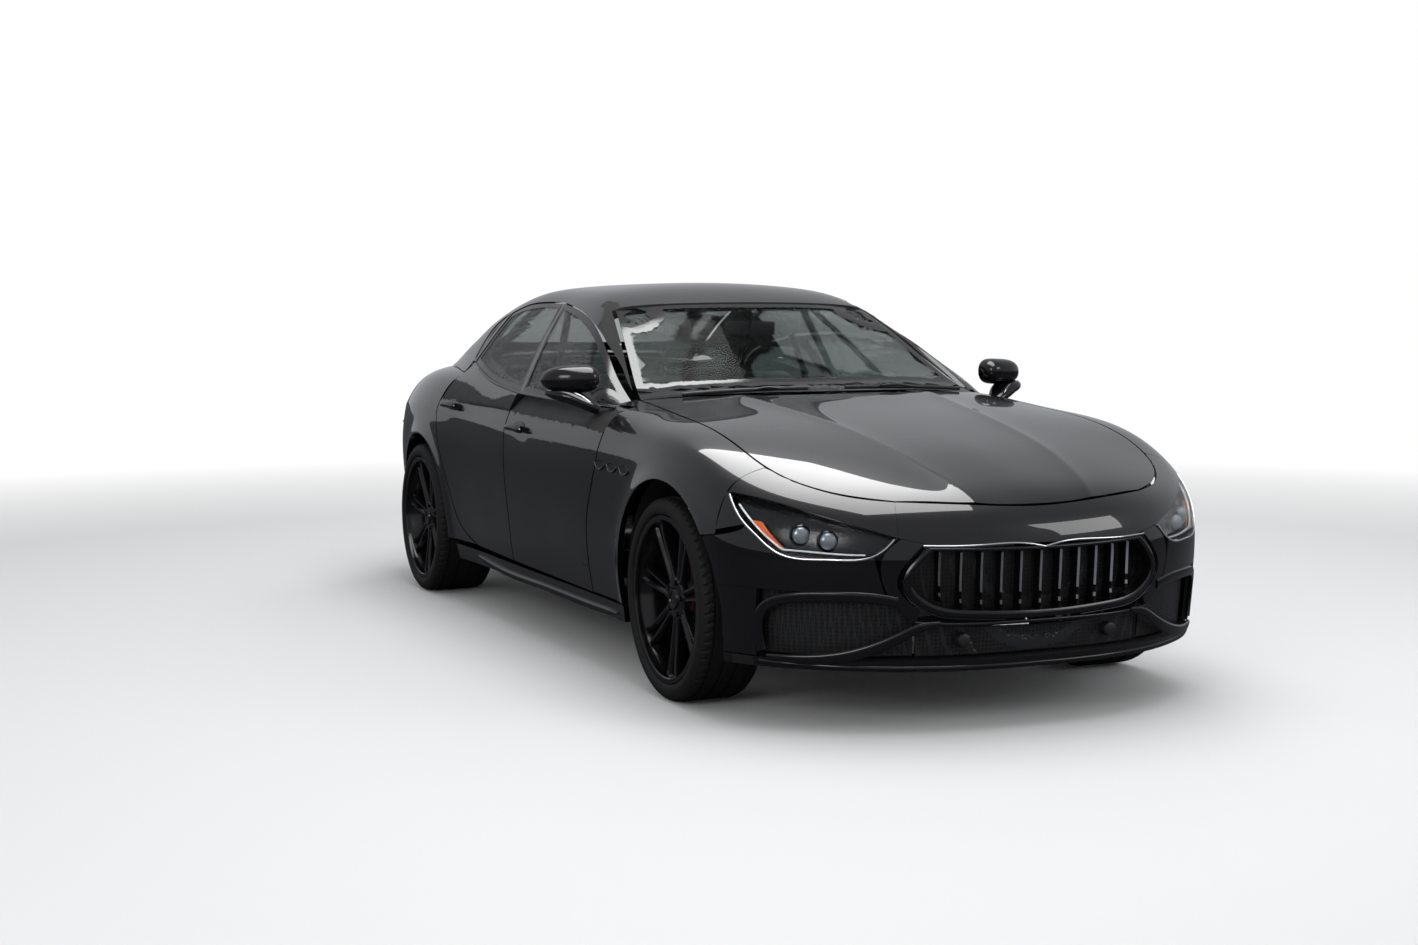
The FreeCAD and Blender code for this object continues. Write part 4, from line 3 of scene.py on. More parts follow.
import bmesh
import bpy
import numpy as np
from mathutils import Matrix, Vector
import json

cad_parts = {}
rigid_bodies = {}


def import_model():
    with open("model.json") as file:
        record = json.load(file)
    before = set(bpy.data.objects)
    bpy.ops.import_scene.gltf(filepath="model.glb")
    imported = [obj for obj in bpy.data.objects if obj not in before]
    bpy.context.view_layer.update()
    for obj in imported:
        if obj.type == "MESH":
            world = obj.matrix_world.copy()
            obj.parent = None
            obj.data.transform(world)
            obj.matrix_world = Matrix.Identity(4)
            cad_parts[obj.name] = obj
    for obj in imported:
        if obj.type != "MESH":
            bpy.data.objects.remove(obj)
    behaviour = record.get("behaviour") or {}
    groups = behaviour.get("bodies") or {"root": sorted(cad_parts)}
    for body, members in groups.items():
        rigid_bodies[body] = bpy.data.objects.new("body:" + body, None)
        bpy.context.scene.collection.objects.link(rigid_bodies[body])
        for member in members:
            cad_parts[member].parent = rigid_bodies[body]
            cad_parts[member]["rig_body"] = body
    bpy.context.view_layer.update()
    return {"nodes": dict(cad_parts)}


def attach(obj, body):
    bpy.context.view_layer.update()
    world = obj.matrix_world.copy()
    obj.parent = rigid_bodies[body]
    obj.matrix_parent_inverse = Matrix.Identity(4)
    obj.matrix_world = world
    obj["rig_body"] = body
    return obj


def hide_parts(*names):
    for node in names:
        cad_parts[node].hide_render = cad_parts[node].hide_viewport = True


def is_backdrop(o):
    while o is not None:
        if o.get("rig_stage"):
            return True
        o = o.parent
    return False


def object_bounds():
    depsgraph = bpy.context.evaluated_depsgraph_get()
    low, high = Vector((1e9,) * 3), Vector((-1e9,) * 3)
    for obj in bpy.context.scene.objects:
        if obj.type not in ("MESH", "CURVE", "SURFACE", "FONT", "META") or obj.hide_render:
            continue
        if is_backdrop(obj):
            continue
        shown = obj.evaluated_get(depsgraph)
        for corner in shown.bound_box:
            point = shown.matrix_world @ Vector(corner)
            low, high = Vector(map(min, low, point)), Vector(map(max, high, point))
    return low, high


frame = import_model()
nodes = frame["nodes"]
SIDES = (("left", 1), ("right", -1))

# The car's own sizes, in metres, and its skin as the solids' source shapes it

LENGTH, WIDTH, HEIGHT = 4.971, 1.945, 1.461
WHEELBASE, FRONT_OVERHANG = 2.998, .938
HALF_LENGTH, HALF_WIDTH = LENGTH / 2, WIDTH / 2
FRONT_AXLE = HALF_LENGTH - FRONT_OVERHANG
REAR_AXLE = FRONT_AXLE - WHEELBASE
REAR_OVERHANG = HALF_LENGTH + REAR_AXLE
WHEEL_Z = .3525
CORNER_BLEND, NOSE_BLEND, TAIL_BLEND, HOUSE_BLEND, PILLAR_BLEND = .105, .15, .17, .08, .03
BLEND_RATIO = 2.37
SILL_HEIGHT, BELT_HEIGHT, BELT_TUCK = .24, 1, .06
BOW_HALF_WIDTH, BOW_DEPTH, TAIL_BOW_HALF_WIDTH, TAIL_BOW_DEPTH = .403, .048, .6, .07

# Each pair is a station along the car and a share of half the width, or of the height.
waist_shares = (
    (-2.01, .869), (-1.68, .89), (-1.34, .957), (-1, .99), (-.8, .987), (-.57, .977), (-.23, .977),
    (.17, .974), (.5, .972), (.77, .976), (1, .989), (1.27, .982), (1.54, .965), (1.8, .923), (2.12, .829))
waist_height_shares = (
    (-2.01, .438), (-1.53, .472), (-1, .493), (-.57, .465), (-.03, .438), (.57, .438), (.97, .438),
    (1.38, .383), (2.02, .329))
sill_tuck_shares = (
    (-2.01, .082), (-1.53, .053), (-.97, .028), (-.57, .044), (-.03, .044), (.3, .044), (.63, .039),
    (.97, .026), (1.48, .027), (2.02, .036))
belt_tuck_shares = (
    (-2.01, .099), (-1.53, .1), (-1, .095), (-.7, .077), (-.37, .062), (-.03, .053), (.3, .045),
    (.63, .034), (.97, .039), (1.48, .056), (2.02, .065))
top_middle_shares = (
    (-2.06, .732), (-1.82, .743), (-1.53, .753), (-1.24, .758), (-.97, .76), (-.57, .726), (-.03, .705),
    (.37, .717), (.6, .708), (.8, .682), (1, .654), (1.27, .626), (1.54, .591), (1.8, .546),
    (1.96, .517), (2.12, .474))
top_edge_shares = (
    (-2.06, .674), (-1.82, .682), (-1.53, .698), (-1.24, .719), (-.97, .73), (-.77, .728), (-.57, .716),
    (-.3, .7), (-.03, .69), (.37, .681), (.6, .672), (.8, .656), (1, .639), (1.27, .602), (1.54, .533),
    (1.8, .468), (1.96, .433), (2.12, .383))
top_edge_y_share = .874
house_width_shares = (
    (-1.53, .656), (-1.34, .755), (-1.05, .839), (-.83, .883), (-.63, .903), (-.43, .905), (-.23, .907),
    (-.03, .909), (.23, .904), (.5, .889), (.63, .866), (.83, .794))
roof_shares = (
    (-1.63, .701), (-1.48, .736), (-1.29, .783), (-1.05, .873), (-.83, .953), (-.63, .992), (-.4, 1),
    (-.2, .999), (-.03, .984), (.1, .943), (.3, .839), (.5, .733), (.6, .678), (.7, .619))
roof_crown_shares = ((-1.34, .089), (-.83, .07), (-.43, .068), (-.17, .078), (.17, .083), (.63, .094))
# A height's share of the height, and the setback's share of the overhang.
nose_setback_shares = (
    (.103, .048), (.151, .032), (.205, .023), (.274, .013), (.342, .003), (.411, .002), (.479, .016),
    (.548, .048))
tail_setback_shares = (
    (.137, .102), (.205, .058), (.308, .02), (.411, 0), (.479, .003), (.548, .022), (.616, .036),
    (.684, .034), (.753, .034))
side_lean_share = .7
side_curl_share = .219
tuck_slope_share = 1.5
house_tail_share = .86
low_power, high_power, crown_power, bow_power = 2.2, 2.4, 2.5, 2.6
tuck_limit_share = 1.6


def station(share):
    """A place along the car: 2 nose, 1 front axle, -1 rear axle, -2 tail."""
    if share > 1:
        return FRONT_AXLE + (share - 1) * FRONT_OVERHANG
    if share < -1:
        return REAR_AXLE + (share + 1) * REAR_OVERHANG
    return (FRONT_AXLE + REAR_AXLE) / 2 + share * WHEELBASE / 2


class Curve:
    """A natural cubic spline through points of rising place, straight beyond them."""

    def __init__(self, points):
        self.place = np.array([place for place, value in points], float)
        self.value = np.array([value for place, value in points], float)
        step = np.diff(self.place)
        slope = np.diff(self.value) / step
        count = len(points)
        system = np.eye(count)
        right = np.zeros(count)
        for i in range(1, count - 1):
            system[i, i - 1:i + 2] = step[i - 1], 2 * (step[i - 1] + step[i]), step[i]
            right[i] = 6 * (slope[i] - slope[i - 1])
        self.bend = np.linalg.solve(system, right)
        self.first_slope = slope[0] - self.bend[1] * step[0] / 6
        self.last_slope = slope[-1] + self.bend[-2] * step[-1] / 6

    def __call__(self, place):
        place = np.asarray(place, float)
        i = np.clip(np.searchsorted(self.place, place) - 1, 0, len(self.place) - 2)
        step = self.place[i + 1] - self.place[i]
        inside = np.clip(place, self.place[0], self.place[-1])
        b = (inside - self.place[i]) / step
        a = 1 - b
        value = a * self.value[i] + b * self.value[i + 1]
        value += ((a ** 3 - a) * self.bend[i] + (b ** 3 - b) * self.bend[i + 1]) * step ** 2 / 6
        value += np.minimum(place - self.place[0], 0) * self.first_slope
        return value + np.maximum(place - self.place[-1], 0) * self.last_slope


def along(shares, scale):
    """A curve over the car's length through stations and shares of a size."""
    return Curve([(station(place), value * scale) for place, value in shares])


waist = along(waist_shares, HALF_WIDTH)
waist_height = along(waist_height_shares, HEIGHT)
sill_tuck = along(sill_tuck_shares, HALF_WIDTH)
belt_tuck = along(belt_tuck_shares, HALF_WIDTH)
top_middle = along(top_middle_shares, HEIGHT)
top_edge = along(top_edge_shares, HEIGHT)
house_width = along(house_width_shares, HALF_WIDTH)
roof = along(roof_shares, HEIGHT)
roof_crown = along(roof_crown_shares, HEIGHT)
nose_x = Curve([(a * HEIGHT, HALF_LENGTH - b * FRONT_OVERHANG) for a, b in nose_setback_shares])
tail_x = Curve([(a * HEIGHT, HALF_LENGTH - b * REAR_OVERHANG) for a, b in tail_setback_shares])


def smooth_max(a, b, radius):
    """The larger of two, rounded to a radius where they meet."""
    soft = radius / BLEND_RATIO
    return np.maximum(a, b) + soft * np.log1p(np.exp(-np.abs(a - b) / soft))


def flank(x, z):
    """Half the body's width at a place and height."""
    middle = waist_height(x)
    below = np.clip((middle - z) / (middle - SILL_HEIGHT), 0, tuck_limit_share)
    above = np.clip((z - middle) / (top_edge(x) - middle), 0, tuck_limit_share)
    return waist(x) - sill_tuck(x) * below ** low_power - belt_tuck(x) * above ** high_power


def body_field(p):
    """Below zero inside the lower body, and about a distance near its skin."""
    x, y, z = np.clip(p[:, 0], -HALF_LENGTH - NOSE_BLEND, HALF_LENGTH + NOSE_BLEND), np.abs(p[:, 1]), p[:, 2]
    middle, edge = top_middle(x), top_edge(x)
    across = (y / (top_edge_y_share * HALF_WIDTH)) ** crown_power
    field = smooth_max(y - flank(x, z), z - middle + (middle - edge) * across, CORNER_BLEND)
    height = np.clip(z, SILL_HEIGHT / 2, HEIGHT)
    bow = BOW_DEPTH * (y / BOW_HALF_WIDTH) ** bow_power
    field = smooth_max(field, x - nose_x(height) + bow, NOSE_BLEND)
    bow = TAIL_BOW_DEPTH * (y / TAIL_BOW_HALF_WIDTH) ** bow_power
    return smooth_max(field, -x - tail_x(height) + bow, TAIL_BLEND)


def house_field(p):
    """Below zero inside the glasshouse."""
    x, y, z = np.clip(p[:, 0], -HALF_LENGTH - NOSE_BLEND, HALF_LENGTH + NOSE_BLEND), np.abs(p[:, 1]), p[:, 2]
    rise = z - BELT_HEIGHT
    lean = side_lean_share * np.maximum(rise, -BELT_TUCK)
    lean += side_curl_share * np.maximum(rise, 0) ** 2 / HEIGHT
    lean += tuck_slope_share * np.maximum(-BELT_TUCK - rise, 0)
    crown = roof_crown(x) * (y / HALF_WIDTH) ** 2
    house = smooth_max(y - house_width(x) + lean, z - roof(x) + crown, HOUSE_BLEND)
    return np.maximum(house, -x - house_tail_share * HALF_LENGTH)


def skin_field(p):
    """Below zero inside the lower body or the glasshouse, rounded where they meet."""
    return -smooth_max(-body_field(p), -house_field(p), PILLAR_BLEND)


GRADIENT_STEP = .0005


def gradient(field, p):
    """How a field rises, per metre, at each point."""
    rise = np.empty_like(p)
    for axis in range(3):
        step = np.zeros(3)
        step[axis] = GRADIENT_STEP
        rise[:, axis] = (field(p + step) - field(p - step)) / (2 * GRADIENT_STEP)
    return rise


def unit(v):
    """Vectors of the same directions, one long."""
    return v / np.maximum(np.linalg.norm(v, axis=-1, keepdims=True), 1e-12)


def onto(field, p, rounds=4):
    """The points moved along the field's slope onto its zero level."""
    for turn in range(rounds):
        rise = gradient(field, p)
        p = p - rise * (field(p) / np.sum(rise ** 2, axis=1))[:, None]
    return p


def solve(field, start, way, far):
    """The places along rays from inside points where a field crosses zero."""
    near, end = np.zeros(len(start)), np.full(len(start), float(far))
    for turn in range(34):
        middle = (near + end) / 2
        inside = field(start + way * middle[:, None]) < 0
        near, end = np.where(inside, middle, near), np.where(inside, end, middle)
    return start + way * middle[:, None]


def side_point(x, z, field=body_field):
    """Points of the left flank, at places and heights."""
    x, z = np.broadcast_arrays(np.atleast_1d(np.asarray(x, float)), np.atleast_1d(np.asarray(z, float)))
    start = np.stack([x, np.zeros_like(x), z], 1)
    return solve(field, start, np.array([[0, 1., 0]]), WIDTH)


def top_point(x, y, field=body_field):
    """Points of the upper skin, at places and widths."""
    x, y = np.broadcast_arrays(np.atleast_1d(np.asarray(x, float)), np.atleast_1d(np.asarray(y, float)))
    start = np.stack([x, y, np.full_like(x, .5)], 1)
    return solve(field, start, np.array([[0, 0, 1.]]), HEIGHT)


NOSE_HEART, TAIL_HEART = 1.3, -1.3


def nose_point(angle, z, field=body_field):
    """Points of the nose, at angles in degrees about an upright line and at heights."""
    angle, z = np.broadcast_arrays(np.atleast_1d(np.asarray(angle, float)),
                                   np.atleast_1d(np.asarray(z, float)))
    turn = np.radians(angle)
    way = np.stack([np.cos(turn), np.sin(turn), np.zeros_like(turn)], 1)
    start = np.stack([np.full_like(z, NOSE_HEART), np.zeros_like(z), z], 1)
    return solve(field, start, way, HALF_LENGTH)


def tail_point(angle, z, field=body_field):
    """Points of the tail, at angles in degrees about an upright line and at heights."""
    angle, z = np.broadcast_arrays(np.atleast_1d(np.asarray(angle, float)),
                                   np.atleast_1d(np.asarray(z, float)))
    turn = np.radians(angle)
    way = np.stack([-np.cos(turn), np.sin(turn), np.zeros_like(turn)], 1)
    start = np.stack([np.full_like(z, TAIL_HEART), np.zeros_like(z), z], 1)
    return solve(field, start, way, HALF_LENGTH)

# Meshes

def arrays(obj):
    """An object's welded points and its triangles."""
    mesh = obj.data
    mesh.calc_loop_triangles()
    points = np.empty(len(mesh.vertices) * 3)
    mesh.vertices.foreach_get("co", points)
    triangles = np.empty(len(mesh.loop_triangles) * 3, int)
    mesh.loop_triangles.foreach_get("vertices", triangles)
    points, index = np.unique(np.round(points.reshape(-1, 3), 5), axis=0, return_inverse=True)
    triangles = index.reshape(-1)[triangles].reshape(-1, 3)
    whole = (triangles[:, 0] != triangles[:, 1]) & (triangles[:, 1] != triangles[:, 2])
    return points, triangles[whole & (triangles[:, 0] != triangles[:, 2])]


def split_once(points, triangles, size):
    """Splits each edge that is longer than the size wanted at its middle."""
    edges = np.sort(triangles[:, [[0, 1], [1, 2], [2, 0]]].reshape(-1, 2), axis=1)
    edges, index = np.unique(edges, axis=0, return_inverse=True)
    index = index.reshape(-1, 3)
    middle = (points[edges[:, 0]] + points[edges[:, 1]]) / 2
    long = np.linalg.norm(points[edges[:, 0]] - points[edges[:, 1]], axis=1) > size(middle)
    number = np.full(len(edges), -1)
    number[long] = len(points) + np.arange(long.sum())
    marks = number[index]
    cut = marks >= 0
    count = cut.sum(1)
    parts = [triangles[count == 0]]
    for turn in range(3):
        order = [turn, (turn + 1) % 3, (turn + 2) % 3]
        corners, spots, state = triangles[:, order], marks[:, order], cut[:, order]
        one = (count == 1) & state[:, 0]
        a, b, c = corners[one].T
        m = spots[one, 0]
        parts += [np.stack([a, m, c], 1), np.stack([m, b, c], 1)]
        two = (count == 2) & ~state[:, 0]
        a, b, c = corners[two].T
        m, n = spots[two, 1], spots[two, 2]
        parts += [np.stack([c, n, m], 1), np.stack([a, b, m], 1), np.stack([a, m, n], 1)]
    full = count == 3
    a, b, c = triangles[full].T
    m, n, k = marks[full].T
    parts += [np.stack(rows, 1) for rows in ((a, m, k), (m, b, n), (k, n, c), (m, n, k))]
    return np.concatenate([points, middle[long]]), np.concatenate(parts), long.any()


def refine(points, triangles, size, rounds=8):
    """Splits triangles until no edge is longer than the size wanted where it lies."""
    for turn in range(rounds):
        points, triangles, more = split_once(points, triangles, size)
        if not more:
            break
    return points, triangles


def face_normals(points, triangles):
    """The outward direction of each triangle."""
    a, b, c = points[triangles[:, 0]], points[triangles[:, 1]], points[triangles[:, 2]]
    return unit(np.cross(b - a, c - a))


def mesh_object(name, points, faces, normals=None):
    """A mesh piece, smooth where corner normals are given."""
    mesh = bpy.data.meshes.new(name)
    mesh.from_pydata(np.asarray(points).tolist(), [], np.asarray(faces).tolist())
    if normals is not None:
        mesh.shade_smooth()
        mesh.normals_split_custom_set(np.asarray(normals).reshape(-1, 3).tolist())
    obj = bpy.data.objects.new(name, mesh)
    bpy.context.scene.collection.objects.link(obj)
    return obj


def tone(piece, chosen):
    """Gives a piece's second finish to the faces chosen by their middles."""
    middles = np.array([face.center for face in piece.data.polygons])
    index = np.array([face.material_index for face in piece.data.polygons])
    piece.data.polygons.foreach_set("material_index", np.where(chosen(middles), 1, index))


def body_of(node):
    """The moving body that carries a node."""
    return nodes[node]["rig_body"]


def rim_distance(points, triangles, places):
    """How far places are from the free edges of a sheet of triangles."""
    edges = np.sort(triangles[:, [[0, 1], [1, 2], [2, 0]]].reshape(-1, 2), axis=1)
    edges, count = np.unique(edges, axis=0, return_counts=True)
    middles = points[edges[count == 1]].mean(1)
    return np.array([np.linalg.norm(middles - p, axis=1).min() for p in places])


def dress(node, field, finish, size=.02, detail=None, depth=0, reach=.003, other=None, border=0):
    """Replaces a panel by a finer one, whose outer face and its shading follow the skin."""
    points, triangles = arrays(nodes[node])

    def near(p):
        return np.abs(field(p) / np.linalg.norm(gradient(field, p), axis=1) + depth) < reach

    points, triangles = refine(points, triangles, lambda p: np.where(near(p), size, 9))
    away = field(points) / np.linalg.norm(gradient(field, points), axis=1) + depth
    proud = (away > .0004) & (away < .015) & (depth == 0)
    outer = near(points) | proud
    flat = face_normals(points, triangles)
    rise = unit(gradient(field, points))
    facing = np.sum(flat * rise[triangles].mean(1), axis=1) > .6
    smooth = (facing | proud[triangles].any(1)) & outer[triangles].all(1)
    skin_points = np.zeros(len(points), bool)
    skin_points[triangles[smooth]] = True
    if depth == 0:
        points[skin_points] = onto(field, points[skin_points])
        rise[skin_points] = unit(gradient(field, points[skin_points]))
    shading = rise.copy()
    if detail is not None:
        here, ways = points[skin_points], rise[skin_points]
        tilt = gradient(detail, here)
        tilt -= ways * np.sum(tilt * ways, axis=1)[:, None]
        shading[skin_points] = unit(ways - tilt)
        points[skin_points] = here + ways * detail(here)[:, None]
    corners = np.repeat(flat[:, None], 3, axis=1)
    corners[smooth] = shading[triangles[smooth]]
    piece = mesh_object(node.replace("_", "-") + "-skin", points, triangles, corners)
    piece.data.materials.append(finish)
    if other is not None:
        rest = ~smooth
        if border:
            rest = rim_distance(points, triangles[smooth], points[triangles].mean(1)) < border
        piece.data.materials.append(other)
        piece.data.polygons.foreach_set("material_index", rest.astype(int))
    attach(piece, body_of(node))
    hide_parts(node)
    return piece


def refinish(node, finish, other=None, chosen=None):
    """Shows a node as it is, with one finish, or two where some of its faces are chosen."""
    points, triangles = arrays(nodes[node])
    piece = mesh_object(node.replace("_", "-") + "-finished", points, triangles)
    piece.data.shade_smooth()
    piece.data.set_sharp_from_angle(angle=math.radians(30))
    piece.data.materials.append(finish)
    if other is not None:
        piece.data.materials.append(other)
        piece.data.polygons.foreach_set("material_index", chosen(points[triangles].mean(1)).astype(int))
    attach(piece, body_of(node))
    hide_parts(node)
    return piece


# Materials

def linear(code):
    """An sRGB hex colour as the linear values that a shader takes."""
    values = [int(code[i:i + 2], 16) / 255 for i in (0, 2, 4)]
    return [v / 12.92 if v <= .04045 else ((v + .055) / 1.055) ** 2.4 for v in values] + [1]


def material(name, color, **sockets):
    """A surface with its finish set on the shader's own sockets."""
    made = bpy.data.materials.new(name)
    made.use_nodes = True
    shader = made.node_tree.nodes["Principled BSDF"]
    shader.inputs["Base Color"].default_value = linear(color)
    for socket, value in sockets.items():
        shader.inputs[socket.replace("_", " ")].default_value = value
    return made


def add(made, kind, links=(), **values):
    """A shader node with its values, fed by other nodes' outputs."""
    node = made.node_tree.nodes.new("ShaderNode" + kind)
    for name, value in values.items():
        if name in node.inputs:
            node.inputs[name].default_value = value
        elif name.replace("_", " ") in node.inputs:
            node.inputs[name.replace("_", " ")].default_value = value
        else:
            setattr(node, name, value)
    for source, output, target in links:
        made.node_tree.links.new(source.outputs[output], node.inputs[target])
    return node


def feed(made, source, output, socket):
    """Links a node's output to a socket of the finish's own shader."""
    shader = made.node_tree.nodes["Principled BSDF"]
    made.node_tree.links.new(source.outputs[output], shader.inputs[socket])


def grained(made, size_mm, depth_mm, kind="Noise", **values):
    """Adds a fine bump of a size and depth given in millimetres."""
    place = add(made, "TexCoord")
    texture = add(made, "Tex" + kind, [(place, "Object", "Vector")], Scale=1000 / size_mm, **values)
    output = "Distance" if kind == "Voronoi" else "Fac"
    bump = add(made, "Bump", [(texture, output, "Height")], Strength=1, Distance=depth_mm / 1000)
    feed(made, bump, "Normal", "Normal")
    return made


def mottled(made, low, high, size_mm):
    """Varies a finish's roughness a little over the surface."""
    place = add(made, "TexCoord")
    texture = add(made, "TexNoise", [(place, "Object", "Vector")], Scale=1000 / size_mm, Detail=4)
    span = add(made, "MapRange", [(texture, "Fac", "Value")], To_Min=low, To_Max=high)
    feed(made, span, "Result", "Roughness")
    return made


# Lacquered steel sheet: near black below a smooth clear coat, so that it shows the room around it.
paint = material("gloss-black-paint", "040406", Roughness=.35, Specular_IOR_Level=.12, IOR=1.5,
                 Coat_Weight=1, Coat_Roughness=.012, Coat_IOR=1.5)
paint = mottled(paint, .28, .38, 400)

# Polished ABS: black with softer highlights than the paint, for grille, rims, mirrors and trims.
gloss_black = mottled(material("gloss-black-trim", "08080a", Roughness=.16, IOR=1.5), .12, .2, 120)

# Tinted laminated glass: a green-grey film that lets the dark cabin show and gives a thin, sharp reflection.
window = material("window-glass", "8fa39c", Roughness=0, Transmission_Weight=1, IOR=1.06, Alpha=.5)

# Vulcanised rubber: dull black with a broad sheen. The grain is drawn coarser than the real one, to show.
rubber = grained(material("tyre-rubber", "0c0c0d", Roughness=.68, IOR=1.4), 2.2, .12)

# Moulded polypropylene with an eroded grain: a matt charcoal. Its real grain of about .4 mm is drawn coarser.
satin_black = mottled(material("satin-black-plastic", "0d0d0f", Roughness=.5, IOR=1.5), .44, .58, 60)
satin_black = grained(satin_black, 1.1, .05)

# Plated bright chrome: a white line that mirrors floor and lamps.
chrome = mottled(material("bright-chrome", "d9dbde", Metallic=1, Roughness=.06), .04, .1, 90)

# Smoked chrome: a grey metal line, quieter than the bright one.
dark_chrome = mottled(material("dark-chrome", "3a3c40", Metallic=1, Roughness=.16), .12, .2, 70)

# Enamelled caliper: a strong red spot behind the spokes, with a glossy edge.
red_caliper = material("red-caliper-paint", "b3121a", Roughness=.3, IOR=1.5, Coat_Weight=.6)
red_caliper = mottled(red_caliper, .26, .36, 50)

# Turned cast iron: a bright grey ring, polished by the pads.
iron = mottled(material("brake-disc-iron", "8c8c8e", Metallic=1, Roughness=.34), .28, .42, 14)

# Sand-cast arms and knuckles: dark and matt, with the sand's pits drawn coarser than real.
cast = grained(mottled(material("cast-arms", "26272a", Metallic=.6, Roughness=.55), .5, .68, 30), 3, .2)

# Brushed stainless steel: tips that catch a soft light.
steel = mottled(material("exhaust-steel", "a7a9ac", Metallic=1, Roughness=.22), .16, .3, 60)

# Needled felt: it swallows the light, so that a wheel stands out against its arch.
liner_felt = grained(material("arch-liner-felt", "101011", Roughness=.95), 1.6, .35)

# Grained hide: black with a low sheen on its swells. The pores are drawn about twice their real size.
leather = mottled(material("black-leather", "111112", Roughness=.46, IOR=1.5), .4, .55, 80)
leather = grained(leather, 2.4, .16, "Voronoi")


def netted(made, size_mm, share):
    """Cuts a honeycomb look into a finish: slim bars between cells painted near black, a painted shade for
    the mesh's open holes.
    """
    place = add(made, "TexCoord")
    cells = add(made, "TexVoronoi", [(place, "Object", "Vector")], feature="DISTANCE_TO_EDGE",
                Scale=1000 / size_mm, Randomness=.12)
    bars = add(made, "MapRange", [(cells, "Distance", "Value")], From_Min=share, From_Max=share * 1.5,
               To_Min=1, To_Max=0)
    # The near black of the cells is painted shade in the mesh's holes; the grey is the bars' own colour.
    painted_cell_shade = add(made, "MixRGB", [(bars, "Result", "Fac")], Color1=linear("020203"), Color2=linear("17181a"))
    feed(made, painted_cell_shade, "Color", "Base Color")
    bump = add(made, "Bump", [(bars, "Result", "Height")], Strength=1, Distance=.003)
    feed(made, bump, "Normal", "Normal")
    return made


# Moulded honeycomb mesh: slim grey bars in the plastic's own colour, with cells painted near black as painted
# shade in its open holes. Its cells of about 8 mm are drawn at 13 mm.
mesh_black = netted(material("black-mesh", "0b0b0c", Roughness=.45), 13, .12)

# Pale satin metal strips on the grille bars' front edges: a painted highlight, standing in for the gleam
# along the edges of the gloss black bars.
bar_edge_highlight = mottled(material("bar-edge-painted-highlight", "c3c6ca", Metallic=.9, Roughness=.34), .28, .4, 70)

# Printed ceramic: the black band that hides the glue behind a glass's border.
frit = mottled(material("glass-border", "060607", Roughness=.12, IOR=1.5), .08, .16, 60)

# Clear moulded polycarbonate: hardly seen, but for a thin gleam over the lamp.
lamp_glass = material("headlamp-glass", "f4f6f8", Roughness=.01, Transmission_Weight=1, IOR=1.12, Alpha=.35)

# Glossy moulded housing: a dark bowl that sets off the lamps.
lamp_black = mottled(material("headlamp-housing", "0c0d0f", Roughness=.2, IOR=1.5), .14, .28, 40)

# Thick pressed lens: an eye that mirrors the light as a silvery dome.
projector_glass = mottled(material("projector-glass", "8f979e", Metallic=.6, Roughness=.04), .03, .08, 30)

# Frosted acrylic rod: a white line, unlit.
light_guide = mottled(material("light-guide", "dfe4e8", Roughness=.25, IOR=1.5), .2, .3, 30)

# Coloured acrylic: an orange marker at the lamp's outer end.
amber_lens = mottled(material("amber-lens", "e2641a", Roughness=.14, IOR=1.5, Coat_Weight=1), .1, .18, 30)

# Coloured acrylic: a deep, wet-looking red, and a lighter red rod inside it.
red_lens = mottled(material("red-lens", "6a0d12", Roughness=.08, IOR=1.5, Coat_Weight=1), .05, .12, 40)
red_guide = mottled(material("red-light-guide", "c8202a", Roughness=.2, IOR=1.5, Coat_Weight=1), .15, .25, 40)

# Silvered glass: it shows what stands behind the car.
mirror_silver = mottled(material("mirror-silver", "d8dcdf", Metallic=1, Roughness=.02), .01, .03, 60)

# Die-cast aluminium: a dull silver block under the hood, with its skin's pits drawn coarser than real.
engine_cover = mottled(material("cast-engine", "6d6f72", Metallic=.8, Roughness=.5), .42, .6, 40)
engine_cover = grained(engine_cover, 3, .2)

# Sprayed underseal: a rough black that shows no gleam below the car.
underseal = grained(material("underseal", "17181a", Roughness=.85), 3, .4)

# Slush-moulded soft skin: matt black dashboard and door linings.
soft_trim = grained(mottled(material("soft-dash", "0e0e0f", Roughness=.62, IOR=1.5), .55, .7, 60), 1.4, .08)

# Knitted roof lining: black without any sheen, its loops drawn coarser than real.
headliner = grained(material("headliner-fabric", "141415", Roughness=.95), 1.2, .12)

# Shapes that the pieces are made of

